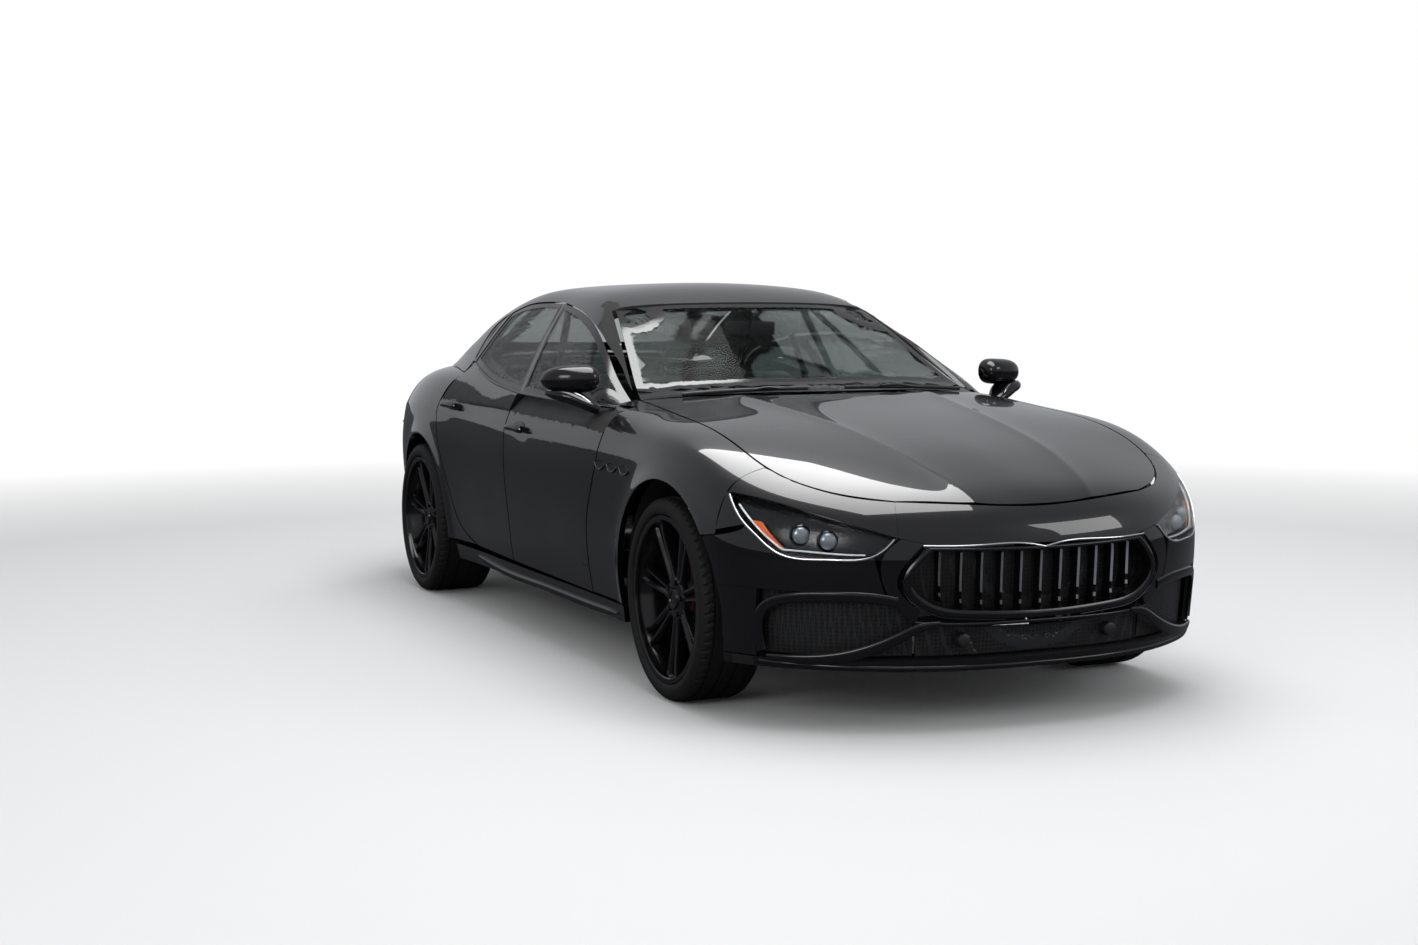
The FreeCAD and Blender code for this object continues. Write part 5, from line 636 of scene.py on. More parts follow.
class Parts:
    """Points and faces of one piece, collected from simple forms."""

    def __init__(self):
        self.points, self.faces, self.count = [], [], 0

    def add(self, points, faces):
        """Adds points, and faces that count them from nought."""
        points = np.asarray(points, float).reshape(-1, 3)
        self.points.append(points)
        self.faces += [tuple(int(i) + self.count for i in face) for face in faces]
        self.count += len(points)
        return self

    def loft(self, rings, closed=True, caps=True):
        """A skin over rings of equal length."""
        rings = np.asarray(rings, float)
        rows, width = rings.shape[:2]
        faces = []
        for i in range(rows - 1):
            for j in range(width if closed else width - 1):
                k = (j + 1) % width
                faces.append((i * width + j, i * width + k, (i + 1) * width + k, (i + 1) * width + j))
        if caps and closed:
            faces += [tuple(range(width))[::-1], tuple(range((rows - 1) * width, rows * width))]
        return self.add(rings, faces)

    def lathe(self, profile, segments, place, wave=None):
        """A profile of radii and places along an axis, turned about it; the last joins the first."""
        profile = np.asarray(profile, float)
        turn = np.linspace(0, 2 * math.pi, segments, endpoint=False)
        radius = profile[:, :1] + (0 if wave is None else wave(profile[:, 1:], turn[None]))
        radius = np.broadcast_to(radius, (len(profile), segments))
        along = np.broadcast_to(profile[:, 1:], radius.shape)
        rings = place(radius * np.cos(turn), along, radius * np.sin(turn))
        return self.loft(np.concatenate([rings, rings[:1]]), True, False)

    def make(self, name, finish, body, replaces, slot, sharp=35, bevel=0):
        """Makes the piece, rides it on its body and shows it in place of a node."""
        mesh = bpy.data.meshes.new(name)
        mesh.from_pydata(np.concatenate(self.points).tolist(), [], self.faces)
        work = bmesh.new()
        work.from_mesh(mesh)
        bmesh.ops.remove_doubles(work, verts=work.verts, dist=1e-6)
        bmesh.ops.recalc_face_normals(work, faces=work.faces)
        work.to_mesh(mesh)
        work.free()
        mesh.shade_smooth()
        mesh.set_sharp_from_angle(angle=math.radians(sharp))
        mesh.materials.append(finish)
        obj = bpy.data.objects.new(name, mesh)
        bpy.context.scene.collection.objects.link(obj)
        if bevel:
            edges = obj.modifiers.new("edges", "BEVEL")
            edges.width, edges.segments, edges.limit_method = bevel, 2, "ANGLE"
            edges.harden_normals = True
        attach(obj, body)
        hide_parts(replaces)
        return obj


def through(places, project=None):
    """A smooth edge through places, drawn from 0 to 1 by their spacing."""
    places = np.asarray(places, float)
    spots = project(places[:, 0], places[:, 1]) if project else places
    run = np.concatenate([[0], np.cumsum(np.linalg.norm(np.diff(spots, axis=0), axis=1))])
    curves = [Curve(list(zip(run / run[-1], places[:, k]))) for k in range(places.shape[1])]
    return lambda t: np.stack([curve(t) for curve in curves], -1)


def straight(a, b):
    """A straight edge from one place to another."""
    a, b = np.asarray(a, float), np.asarray(b, float)
    return lambda t: a + (b - a) * np.asarray(t)[..., None]


def patch(project, low, high, start, end, counts):
    """A grid of skin points between four edges."""
    u, v = np.meshgrid(np.linspace(0, 1, counts[0]), np.linspace(0, 1, counts[1]))
    one, two = u[..., None], v[..., None]
    places = (1 - two) * low(u) + two * high(u) + (1 - one) * start(v) + one * end(v)
    corners = [edge(np.array(t)) for edge, t in ((low, 0.), (low, 1.), (high, 0.), (high, 1.))]
    places -= (1 - one) * (1 - two) * corners[0] + one * (1 - two) * corners[1]
    places -= (1 - one) * two * corners[2] + one * two * corners[3]
    flat = places.reshape(-1, 2)
    return project(flat[:, 0], flat[:, 1]).reshape(counts[1], counts[0], 3)


def sunk(grid, depth, field=body_field):
    """The same grid, moved in from the skin by a depth."""
    flat = grid.reshape(-1, 3)
    return (flat - unit(gradient(field, flat)) * depth).reshape(grid.shape)


def slab(parts, outer, inner):
    """A closed shell between two grids."""
    rows, width = outer.shape[:2]
    count = rows * width
    faces = []
    for i in range(rows - 1):
        for j in range(width - 1):
            a = i * width + j
            faces.append((a, a + 1, a + width + 1, a + width))
            faces.append((count + a, count + a + width, count + a + width + 1, count + a + 1))
    rim = [j for j in range(width)] + [i * width + width - 1 for i in range(1, rows)]
    rim += [(rows - 1) * width + j for j in range(width - 2, -1, -1)]
    rim += [i * width for i in range(rows - 2, 0, -1)]
    for a, b in zip(rim, rim[1:] + rim[:1]):
        faces.append((b, a, count + a, count + b))
    return parts.add(np.concatenate([outer.reshape(-1, 3), inner.reshape(-1, 3)]), faces)


def frames_along(path, upward):
    """Directions across and up, square to a path at each of its points."""
    path = np.asarray(path, float)
    ahead = unit(np.gradient(path, axis=0))
    across = unit(np.cross(np.broadcast_to(np.asarray(upward, float), path.shape), ahead))
    return across, np.cross(ahead, across)


def sweep(parts, path, profile, upward=(0, 0, 1), scale=None):
    """A closed profile of widths and heights, carried along a path."""
    path, profile = np.asarray(path, float), np.asarray(profile, float)
    across, rise = frames_along(path, upward)
    scale = np.ones(len(path)) if scale is None else np.asarray(scale, float)
    rings = (path[:, None] + across[:, None] * (profile[None, :, :1] * scale[:, None, None])
             + rise[:, None] * (profile[None, :, 1:] * scale[:, None, None]))
    return parts.loft(rings)


def round_profile(width, height, count=12, power=2.):
    """A closed oval, squarer for a higher power."""
    turn = np.linspace(0, 2 * math.pi, count, endpoint=False)
    c, s = np.cos(turn), np.sin(turn)
    shape = lambda v: np.sign(v) * np.abs(v) ** (2 / power)
    return np.stack([shape(c) * width / 2, shape(s) * height / 2], 1)


def tube(parts, path, radius, upward=(0, 0, 1), count=12):
    """A round rod along a path."""
    return sweep(parts, path, round_profile(2 * radius, 2 * radius, count), upward)


def curve_points(places, count):
    """Points of a smooth line through a few places."""
    return through(places)(np.linspace(0, 1, count))


def block(parts, low, high):
    """A plain brick between two corners."""
    corners = [(x, y, z) for x in (low[0], high[0]) for y in (low[1], high[1]) for z in (low[2], high[2])]
    return parts.add(corners, [(0, 1, 3, 2), (4, 6, 7, 5), (0, 4, 5, 1), (2, 3, 7, 6), (0, 2, 6, 4),
                               (1, 5, 7, 3)])

# Painted skin and glass

FLARE, FLARE_WIDTH = .009, .045
ARCHES = ((FRONT_AXLE + .02, .424, .408), (REAR_AXLE, .4, .4))


def ridge(away, height, width):
    """A soft crease: its height over the skin by the distance from its line."""
    return height * np.exp(-np.sqrt(away ** 2 + (width / 5) ** 2) / width)


def fade(value, start, end):
    """Rises smoothly from 0 at the start to 1 at the end."""
    t = np.clip((value - start) / (end - start), 0, 1)
    return t * t * (3 - 2 * t)


haunch_line = Curve([(-2.35, .842), (-2, .874), (-1.6, .893), (-1.2, .887), (-.8, .868), (-.4, .848),
                     (0, .83)])
shoulder_line = Curve([(-.3, .842), (.3, .836), (.9, .828), (1.3, .822), (1.8, .79), (2.1, .75)])


def flank_detail(p):
    """How far arch flares, haunch, shoulder line and scoop stand off the flank."""
    x, y, z = p.T
    rise = 0
    for middle, half, height in ARCHES:
        away = (np.hypot((x - middle) / half, (z - WHEEL_Z) / height) - 1) * height
        rise = np.maximum(rise, FLARE * np.exp(-(away / FLARE_WIDTH) ** 2))
    side = fade(np.abs(y), .55, .7)
    haunch = ridge(z - haunch_line(x), .008, .045) * fade(x, -2.4, -2.1) * (1 - fade(x, -.45, .1))
    shoulder = ridge(z - shoulder_line(x), .0035, .03) * fade(x, -.4, .2) * (1 - fade(x, 1.7, 2.1))
    scoop = -.004 * np.exp(-((z - .5) / .12) ** 2) * fade(x, -.6, -.3) * (1 - fade(x, .3, .7))
    return side * (rise + haunch + shoulder + scoop)


hood_crease = Curve([(.85, .43), (1.1, .39), (1.65, .32), (2, .29), (2.24, .255), (2.42, .215)])


def hood_detail(p):
    """How far the creases and the spine stand off the hood."""
    x, y, z = p.T
    line = ridge(np.abs(y) - hood_crease(x), .007, .04) * fade(x, .8, 1.15)
    spine = .003 * np.exp(-(y / .1) ** 2) * fade(x, 1.6, 2.3)
    return (line + spine) * fade(z, .62, .7)


panel_detail = {"front_fenders": flank_detail, "quarter_panels": flank_detail, "hood": hood_detail}
for name, side in SIDES:
    panel_detail[f"door_front_{name}"] = panel_detail[f"door_rear_{name}"] = flank_detail

PANEL_EDGE, BUMPER_EDGE = .018, .015
GLASS_DEPTH, GLASS_REACH = .0036, .0026
DOOR_BORDER, SCREEN_BORDER = .028, .034
PANEL_REACH = {"front_fenders": .025, "quarter_panels": .025}
for node in ("hood", "trunk_lid", "front_fenders", "quarter_panels", "sills"):
    dress(node, body_field, paint, PANEL_EDGE, panel_detail.get(node), reach=PANEL_REACH.get(node, .003))
DIFFUSER_TOP, DIFFUSER_HALF, DIFFUSER_DROP = .395, .76, .08


def in_diffuser(p):
    """Whether places lie in the lower, darker half of the rear bumper."""
    share = np.abs(p[:, 1]) / DIFFUSER_HALF
    return (p[:, 2] < DIFFUSER_TOP - DIFFUSER_DROP * share ** 4) & (share < 1)


tone(dress("rear_bumper", body_field, paint, PANEL_EDGE, other=satin_black), in_diffuser)
dress("roof_frame", house_field, paint, .02, other=headliner)
for name, side in SIDES:
    dress(f"door_front_{name}", body_field, paint, PANEL_EDGE, flank_detail, other=soft_trim)
    dress(f"door_rear_{name}", skin_field, paint, PANEL_EDGE, flank_detail, other=soft_trim)
    for end in ("front", "rear"):
        dress(f"door_glass_{end}_{name}", house_field, window, .016, depth=GLASS_DEPTH, reach=GLASS_REACH,
              other=frit, border=DOOR_BORDER)
dress("fixed_glass", skin_field, window, .022, depth=GLASS_DEPTH, reach=GLASS_REACH, other=frit,
      border=SCREEN_BORDER)

# Wheels

RIM_RADIUS, FLANGE_RADIUS, TYRE_RADIUS = .279, .29, .3525
# A side wall from rim to shoulder: outward from the rim's radius, and in from the tyre's full width.
TYRE_SIDE = ((.002, .017), (.0125, .0165), (.0145, .0095), (.019, .003), (.028, .0006), (.037, 0),
             (.046, .0018), (.055, .0055), (.0635, .0115), (.0695, .019))
TREAD_SLOTS, SPOKE_PAIRS, BOLTS = 68, 7, 5
RIM_INSET, HUB_SETBACK, HUB_RADIUS, HUB_DEPTH = .008, .028, .078, .038


def wheel_place(axle, side, half_track):
    """Maps a wheel's own across, outward and upward places into the car."""
    def place(x, along, z):
        return np.stack([axle + x, side * (half_track + along), WHEEL_Z + z], -1)
    return place


def tyre_piece(name, place, width, body, node):
    """A tyre turned from its section, with four grooves and slots across its shoulders."""
    half = width / 2
    grooves = []
    for middle in (-.31, -.105, .105, .31):
        at = middle * width
        grooves += [(TYRE_RADIUS, at - .006), (TYRE_RADIUS - .006, at - .004),
                    (TYRE_RADIUS - .006, at + .004), (TYRE_RADIUS, at + .006)]
    outer = [(RIM_RADIUS + r, half - a) for r, a in TYRE_SIDE] + [(TYRE_RADIUS - .0012, half - .028)]
    profile = [(r, -a) for r, a in outer] + grooves + outer[::-1]

    def wave(along, turn):
        beat = np.abs((turn * TREAD_SLOTS / (2 * math.pi) + 4 * along / width) % 1 - .5) * 2
        open_slot = np.clip((.24 - beat) / .1, 0, 1)
        shoulder = np.clip((np.abs(along) - .33 * width) / .004, 0, 1)
        return -.005 * open_slot * shoulder * (np.abs(along) < half - .012)

    parts = Parts()
    parts.lathe(profile, TREAD_SLOTS * 8, place, wave)
    return parts.make(name, rubber, body, node, "tyre", sharp=28)


def rim_piece(name, place, width, body, node):
    """A rim with its barrel, hub, paired spokes and bolts."""
    half = width / 2 - RIM_INSET
    hub_front = half - HUB_SETBACK
    seat = RIM_RADIUS - .0005
    barrel = [(FLANGE_RADIUS, half - .001), (FLANGE_RADIUS - .001, half), (seat - .004, half),
              (seat - .008, half - .004), (seat - .01, half - .014), (seat - .012, half - .03),
              (seat - .03, half - .062), (seat - .03, .062 - half), (seat - .008, .03 - half),
              (seat - .007, -half), (FLANGE_RADIUS, -half), (FLANGE_RADIUS, .0075 - half),
              (seat, .0078 - half), (seat, .032 - half), (seat - .022, .064 - half),
              (seat - .022, half - .064), (seat, half - .032), (seat, half - .0078),
              (FLANGE_RADIUS, half - .0075)]
    parts = Parts()
    parts.lathe(barrel, 128, place)
    hub = [(.0004, hub_front - .006), (.024, hub_front - .006), (.027, hub_front - .002),
           (.036, hub_front - .001), (.04, hub_front - .009), (.066, hub_front - .012),
           (.074, hub_front - .018), (HUB_RADIUS - .001, hub_front - .03),
           (HUB_RADIUS - .001, hub_front - HUB_DEPTH), (.026, hub_front - HUB_DEPTH),
           (.026, hub_front - .01), (.0004, hub_front - .01)]
    parts.lathe(hub, 64, place)
    for pair in range(SPOKE_PAIRS):
        turn = 2 * math.pi * (pair + .25) / SPOKE_PAIRS
        for way in (-1, 1):
            rings = []
            for t in np.linspace(0, 1, 15):
                radius = .056 + t * (seat - .009 - .056)
                middle = way * (.0115 + .0135 * t ** 1.3 + .004 * max(t - .88, 0) / .12)
                swell = .0028 * math.exp(-(t / .1) ** 2) + .006 * max(t - .84, 0) / .16
                base, crest = .0105 - .002 * t + swell, .0046 - .0008 * t + swell
                top = hub_front - .014 + .018 * t ** 1.5 + .002 * math.sin(math.pi * t)
                depth = .034 - .008 * t
                lean = way * .0018
                section = ((middle - base, top - depth), (middle - base, top - .009),
                           (middle - crest + lean, top), (middle + crest + lean, top),
                           (middle + base, top - .009), (middle + base, top - depth))
                rings.append([(radius * math.cos(turn) - a * math.sin(turn), b,
                               radius * math.sin(turn) + a * math.cos(turn)) for a, b in section])
            rings = np.array(rings)
            parts.loft(place(rings[..., 0], rings[..., 1], rings[..., 2]))
    for bolt in range(BOLTS):
        turn = 2 * math.pi * (bolt + .1) / BOLTS
        centre = np.array([.057 * math.cos(turn), 0, .057 * math.sin(turn)])
        profile = [(.0004, hub_front - .002), (.0085, hub_front - .002), (.0095, hub_front - .004),
                   (.0095, hub_front - .02), (.0004, hub_front - .02)]
        parts.lathe(profile, 12, lambda x, a, z: place(x + centre[0], a, z + centre[2]))
    return parts.make(name, gloss_black, body, node, "rim", sharp=30)


# Each axle's name and place, half its track and its tyres' width.
AXLES = (("front", FRONT_AXLE, .8175, .245), ("rear", REAR_AXLE, .8265, .285))
for axle_name, axle, half_track, width in AXLES:
    for name, side in SIDES:
        key = f"{axle_name}_{name}"
        spot = wheel_place(axle, side, half_track)
        tyre_piece(f"tyre-{axle_name}-{name}", spot, width, f"wheel_{key}", f"tyre_{key}")
        rim_piece(f"rim-{axle_name}-{name}", spot, width, f"wheel_{key}", f"rim_{key}")
        nodes[f"brake_disc_{key}"].data.materials.clear()
        nodes[f"brake_disc_{key}"].data.materials.append(iron)

# Front: bumper, grille, intakes and lamps

def nose(angle, share):
    """Points on the nose skin from angles and shares of the height."""
    angle, share = np.broadcast_arrays(np.asarray(angle, float), np.asarray(share, float))
    flat = nose_point(angle.ravel(), share.ravel() * HEIGHT)
    return flat.reshape(angle.shape + (3,))


def straight_ends(low, high):
    """The straight lines that join two edges at their starts and at their ends."""
    return [straight(low(np.array(t)), high(np.array(t))) for t in (0., 1.)]


def nose_patch(low, high, counts, start=None, end=None):
    """A grid of nose skin between two edges, with straight ends where none are given."""
    ends = straight_ends(low, high)
    return patch(nose, low, high, start or ends[0], end or ends[1], counts)


def edge_of(pairs):
    """A smooth edge on the nose through angles and shares of the height."""
    return through(pairs, nose)


def mirrored_places(pairs):
    """The same places on the nose's other side."""
    return [(-a, b) for a, b in pairs]


def strip(parts, pairs, width, height, lift=0, count=40, power=2.6, taper=None):
    """A slim moulding that lies along the nose skin."""
    path = nose(*edge_of(pairs)(np.linspace(0, 1, count)).T)
    rise = unit(gradient(body_field, path))
    path = path + rise * lift
    ahead = unit(np.gradient(path, axis=0))
    across = np.cross(rise, ahead)
    profile = round_profile(width, height, 12, power)
    scale = np.ones(count) if taper is None else taper(np.linspace(0, 1, count))
    rings = path[:, None] + across[:, None] * (profile[None, :, :1] * scale[:, None, None]) + \
        rise[:, None] * profile[None, :, 1:]
    return parts.loft(rings)


dress("front_bumper", body_field, paint, BUMPER_EDGE, other=satin_black)

FRAME_TOP = ((-19.6, .411), (0, .406), (19.6, .411))
FRAME_LOW = ((-14, .256), (0, .248), (14, .256))
FRAME_SIDE = ((14, .256), (20, .275), (23.3, .33), (19.6, .411))
INNER_TOP = ((-18.7, .403), (0, .398), (18.7, .403))
INNER_LOW = ((-13.5, .272), (0, .264), (13.5, .272))
INNER_SIDE = ((13.5, .272), (18.8, .288), (22, .331), (18.7, .403))
GRILLE_RECESS = .034

ring = Parts()
rings = [(INNER_TOP, FRAME_TOP), (FRAME_LOW, INNER_LOW), (INNER_SIDE, FRAME_SIDE)]
rings.append((mirrored_places(INNER_SIDE), mirrored_places(FRAME_SIDE)))
for inner, outer in rings:
    low, high = edge_of(inner), edge_of(outer)
    grid = nose_patch(low, high, (44, 7))
    swell = np.sin(np.linspace(0, math.pi, 7))[:, None, None] * .004
    rise = unit(gradient(body_field, grid.reshape(-1, 3))).reshape(grid.shape)
    slab(ring, grid + rise * swell, sunk(grid, GRILLE_RECESS))
ring.make("grille-surround", gloss_black, "body", "grille", "grille", sharp=40)

back = Parts()
grid = nose_patch(edge_of(FRAME_LOW), edge_of(FRAME_TOP), (40, 14), edge_of(mirrored_places(FRAME_SIDE)),
                  edge_of(FRAME_SIDE))
slab(back, sunk(grid, .0605), sunk(grid, .072))
back.make("grille-shadow-panel", mesh_black, "body", "grille", "grille")

# The edge strips are a painted highlight: pale metal laid along parts of each bar's front edge, where the
# gloss black bars gleam.
bars, edge_highlights = Parts(), Parts()
BAR_ANGLES = (.0, 3.6, 7, 10.4, 13.8, 17.2)
BAR_SECTION = ((0, .0), (.0032, -.006), (.0068, -.017), (.006, -.042), (-.006, -.042), (-.0068, -.017),
               (-.0032, -.006))
EDGE_SECTION = ((0, .0012), (.0036, -.0065), (.0028, -.0075), (-.0028, -.0075), (-.0036, -.0065))
for angle in BAR_ANGLES:
    for way in (-1, 1) if angle else (1,):
        for parts, section, start, end in ((bars, BAR_SECTION, 0, 1), (edge_highlights, EDGE_SECTION, .3, .97),
                                           (edge_highlights, EDGE_SECTION, .1, .17)):
            low_share = INNER_LOW[1][1] + .008 * (angle / 13.5) ** 2 + .016 * max(angle - 13.5, 0) / 4
            t = np.linspace(start, end, 15)
            shares = low_share + (INNER_TOP[1][1] + .005 * (angle / 18.7) ** 2 - low_share) * t
            path = nose(np.full(15, way * angle), shares)
            path[:, 0] -= .012 + .022 * np.sin(math.pi * (.15 + .7 * t)) * .55
            facing = math.radians(way * angle * .55)
            section_places = np.array(section)
            u, v = section_places[:, 0], section_places[:, 1]
            rings = np.stack([
                path[:, None, 0] + v * math.cos(facing) - u * math.sin(facing),
                path[:, None, 1] + v * math.sin(facing) + u * math.cos(facing),
                np.broadcast_to(path[:, None, 2], (15, len(u)))], -1)
            parts.loft(rings)
bars.make("grille-bars", gloss_black, "body", "grille", "grille", sharp=25)
edge_highlights.make("grille-bar-edge-highlights", bar_edge_highlight, "body", "grille", "grille", sharp=25)

brightwork = Parts()
strip(brightwork, [(-20.3, .414), (-12, .4125), (-3, .4115), (0, .4035)], .0062, .005, .001, 40)
strip(brightwork, [(0, .4035), (3, .4115), (12, .4125), (20.3, .414)], .0062, .005, .001, 40)
brightwork.make("grille-top-strip", chrome, "body", "grille", "grille", sharp=60)
RING_EDGE = ((19.8, .412), (21.8, .372), (23.4, .33), (20.1, .273), (14, .2535), (7, .2475))
edge_line = Parts()
for way in (-1, 1):
    strip(edge_line, [(way * a, b) for a, b in RING_EDGE], .0042, .004, .0008, 60)
edge_line.make("grille-edge-line", dark_chrome, "body", "grille", "grille", sharp=60)

# Lower intakes: mesh, bezels, blades, pods and the splitter
BEZEL_LINE = ((24.2, .293), (27.5, .301), (34, .3035), (41, .2965), (45.2, .268), (45.9, .222), (45.4, .178))
BLADE_LINE = ((44.5, .166), (38, .163), (32.5, .171), (28, .189), (24, .214), (20.4, .238), (17.6, .2445))
trim, blades, nets = Parts(), Parts(), Parts()
for way in (-1, 1):
    def turned_way(pairs):
        return [(way * a, b) for a, b in pairs]

    low = edge_of(turned_way(((22.2, .17), (32, .166), (45.6, .17))))
    high = edge_of(turned_way(((22.2, .246), (26, .302), (36, .308), (45.4, .311))))
    grid = nose_patch(low, high, (30, 10))
    slab(nets, sunk(grid, .036), sunk(grid, .0385))
    strip(trim, turned_way(BEZEL_LINE), .034, .014, -.002, 60, 3.2)
    strip(blades, turned_way(BLADE_LINE), .03, .012, .0015, 60, 2.4,
          lambda t: .55 + .75 * np.sin(math.pi * t) ** .7)
    centre = nose(np.array([way * 13.5]), np.array([.205]))[0]
    pod = Parts()
    profile = [(.0006, .012), (.016, .012), (.021, .0095), (.0235, .004), (.0235, -.02), (.0006, -.02)]
    pod.lathe(profile, 40, lambda x, a, z: np.stack([centre[0] + a - .012, centre[1] + x, centre[2] + z], -1))
    pod.make("sensor-pod-" + ("left" if way > 0 else "right"), satin_black, "body", "front_bumper", "paint")
    strip(trim, turned_way(((0, .2405), (8, .2405), (17, .2425), (21.4, .247))), .012, .008, .0, 24)
low, high = edge_of(((-21, .167), (0, .167), (21, .167))), edge_of(((-21, .235), (0, .225), (21, .235)))
grid = nose_patch(low, high, (50, 9))
slab(nets, sunk(grid, .036), sunk(grid, .0385))
nets.make("intake-nets", mesh_black, "body", "front_bumper", "paint")
trim.make("intake-bezels", gloss_black, "body", "front_bumper", "paint", sharp=50)
blades.make("intake-blades", gloss_black, "body", "front_bumper", "paint", sharp=50)

SPLITTER_LINE = ((-46, .152), (-32, .147), (-18, .1445), (0, .1435), (18, .1445), (32, .147), (46, .152))
splitter = Parts()
strip(splitter, SPLITTER_LINE, .02, .02, -.0065, 90, 3)
splitter.make("splitter-edge", gloss_black, "body", "front_bumper", "paint", sharp=50)

# Headlamps: a clear lens over a dark housing with its lamps
LAMP_LOW = ((27.7, .392), (34.3, .384), (42.4, .394))
LAMP_TOP = ((24, .431), (32.1, .463), (39.9, .491), (46, .508), (52.6, .519))
LAMP_OUTER = ((42.4, .394), (46.7, .436), (48, .452), (52.6, .519))
LAMP_OUTLINE = ((24.6, .4285), (26, .408), (27.9, .3915), (34.3, .3835), (42.2, .3935), (46.6, .4355),
                (48.2, .4525), (52.2, .513))
PROJECTOR_RADIUS, BEZEL_RADIUS = .027, .034


def turned_about(centre, ahead, across, rise):
    """Maps a turned form's own places to an axis that starts at a centre."""
    return lambda x, a, z: (centre + x[..., None] * across + np.asarray(a)[..., None] * ahead
                            + z[..., None] * rise)


for name, side in SIDES:
    def lamp_edge(pairs):
        return edge_of([(side * a, b) for a, b in pairs])
    low, high, outer = lamp_edge(LAMP_LOW), lamp_edge(LAMP_TOP), lamp_edge(LAMP_OUTER)
    grid = nose_patch(low, high, (48, 20), end=outer)

    def inside(u, v, depth):
        """A place in the lamp, by its shares across and up and its depth."""
        i, j = v * (grid.shape[0] - 1), u * (grid.shape[1] - 1)
        a, b = int(min(i, grid.shape[0] - 2)), int(min(j, grid.shape[1] - 2))
        f, g = i - a, j - b
        p = (grid[a, b] * (1 - f) * (1 - g) + grid[a + 1, b] * f * (1 - g) + grid[a, b + 1] * (1 - f) * g
             + grid[a + 1, b + 1] * f * g)
        return p - unit(gradient(body_field, p[None]))[0] * depth

    lens = Parts()
    slab(lens, grid, sunk(grid, .0028))
    lens.make(f"headlamp-lens-{name}", lamp_glass, "body", "headlights", "lamp", sharp=40)
    housing = Parts()
    bowl = sunk(grid, .04)
    slab(housing, bowl, sunk(grid, .052))
    for line in (grid[0], grid[-1], grid[:, 0], grid[:, -1]):
        wall = np.stack([sunk(line[None], d)[0] for d in (.0032, .052)])
        slab(housing, wall, wall + unit(grid.mean((0, 1)) - wall) * .002)
    housing.make(f"headlamp-housing-{name}", lamp_black, "body", "headlights", "lamp", sharp=30)
    ahead = unit(np.array([[1., side * .25, .03]]))[0]
    across = unit(np.cross([[0, 0, 1.]], ahead))[0]
    rise = np.cross(ahead, across)
    lamps, bezels = Parts(), Parts()
    for u, v in ((.42, .47), (.62, .5)):
        radius = PROJECTOR_RADIUS
        profile = [(radius * math.sin(a), .4 * radius * math.cos(a) + .012)
                   for a in np.linspace(.02, math.pi / 2, 8)]
        profile += [(radius * 1.02, -.01), (.0006, -.01)]
        lamps.lathe(profile, 32, turned_about(inside(u, v, .036), ahead, across, rise))
        radius = BEZEL_RADIUS
        profile = [(radius - .006, .006), (radius - .003, .0085), (radius, .006), (radius, -.012),
                   (radius - .006, -.012)]
        bezels.lathe(profile, 32, turned_about(inside(u, v, .034), ahead, across, rise))
    lamps.make(f"headlamp-projectors-{name}", projector_glass, "body", "headlights", "lamp", sharp=50)
    bezels.make(f"headlamp-bezels-{name}", dark_chrome, "body", "headlights", "lamp", sharp=50)
    line = Parts()
    spots = [inside(u, v, .014)
             for u, v in zip(np.linspace(.1, .88, 16), .1 + .05 * np.sin(np.linspace(0, 3, 16)))]
    spots += [inside(u, v, .014) for u, v in zip(np.linspace(.9, .965, 8), np.linspace(.18, .85, 8))]
    sweep(line, curve_points(spots, 60), round_profile(.008, .006, 8))
    line.make(f"headlamp-light-line-{name}", light_guide, "body", "headlights", "lamp", sharp=60)
    outline = Parts()
    strip(outline, [(side * a, b) for a, b in LAMP_OUTLINE], .0065, .005, .0006, 70)
    outline.make(f"headlamp-outline-{name}", chrome, "body", "headlights", "lamp", sharp=60)
    amber = Parts()
    slab(amber, *(np.array([[inside(u, v, depth) for u in np.linspace(.86, .93, 5)]
                            for v in np.linspace(.12, .62, 8)]) for depth in (.02, .024)))
    amber.make(f"headlamp-marker-{name}", amber_lens, "body", "headlights", "lamp", sharp=40)

# Flank: mirrors, handles, vents, trims and sills

def flank_points(x, z, field=body_field, side=1, lift=0.):
    """Points on the car's side, lifted off the skin, on either side."""
    x, z = np.broadcast_arrays(np.asarray(x, float), np.asarray(z, float))
    flat = side_point(x.ravel(), z.ravel(), field)
    flat = flat + unit(gradient(field, flat)) * lift
    return (flat * np.array([1, side, 1])).reshape(x.shape + (3,))


def moulding(parts, places, width, depth, side, lift=0., field=body_field, count=48, taper=None, power=2.6):
    """A slim moulding along the flank, through places and heights."""
    x, z = through(places)(np.linspace(0, 1, count)).T
    path = flank_points(x, z, field)
    rise = unit(gradient(field, path))
    path = path + rise * lift
    across = np.cross(rise, unit(np.gradient(path, axis=0)))
    profile = round_profile(width, depth, 12, power)
    scale = np.ones(count) if taper is None else taper(np.linspace(0, 1, count))
    rings = (path[:, None] + across[:, None] * (profile[None, :, :1] * scale[:, None, None])
             + rise[:, None] * (profile[None, :, 1:] * scale[:, None, None] ** .5))
    return parts.loft(rings * np.array([1, side, 1]))


def pod_taper(t):
    """A handle's width along its length: full in the middle, round at both ends."""
    return np.clip(1 - np.abs(2 * t - 1) ** 3.2, .02, 1) ** .5


MIRROR_INNER, MIRROR_OUTER, MIRROR_MIDDLE, MIRROR_HALF = .848, 1.056, 1.084, .055
FRONT_BELT = ((.605, .667), (.546, .672), (.2, .679), (-.129, .686))
POST_LINE = ((-.138, .69), (-.23, .82), (-.318, .934))
REAR_BELT = ((-.129, .686), (-.201, .691), (-.443, .71), (-.631, .739), (-.745, .757))


def belt(pairs, drop=0.):
    """Places and heights of the belt line from stations and shares, lowered by a drop."""
    return [(station(a), b * HEIGHT - drop) for a, b in pairs]


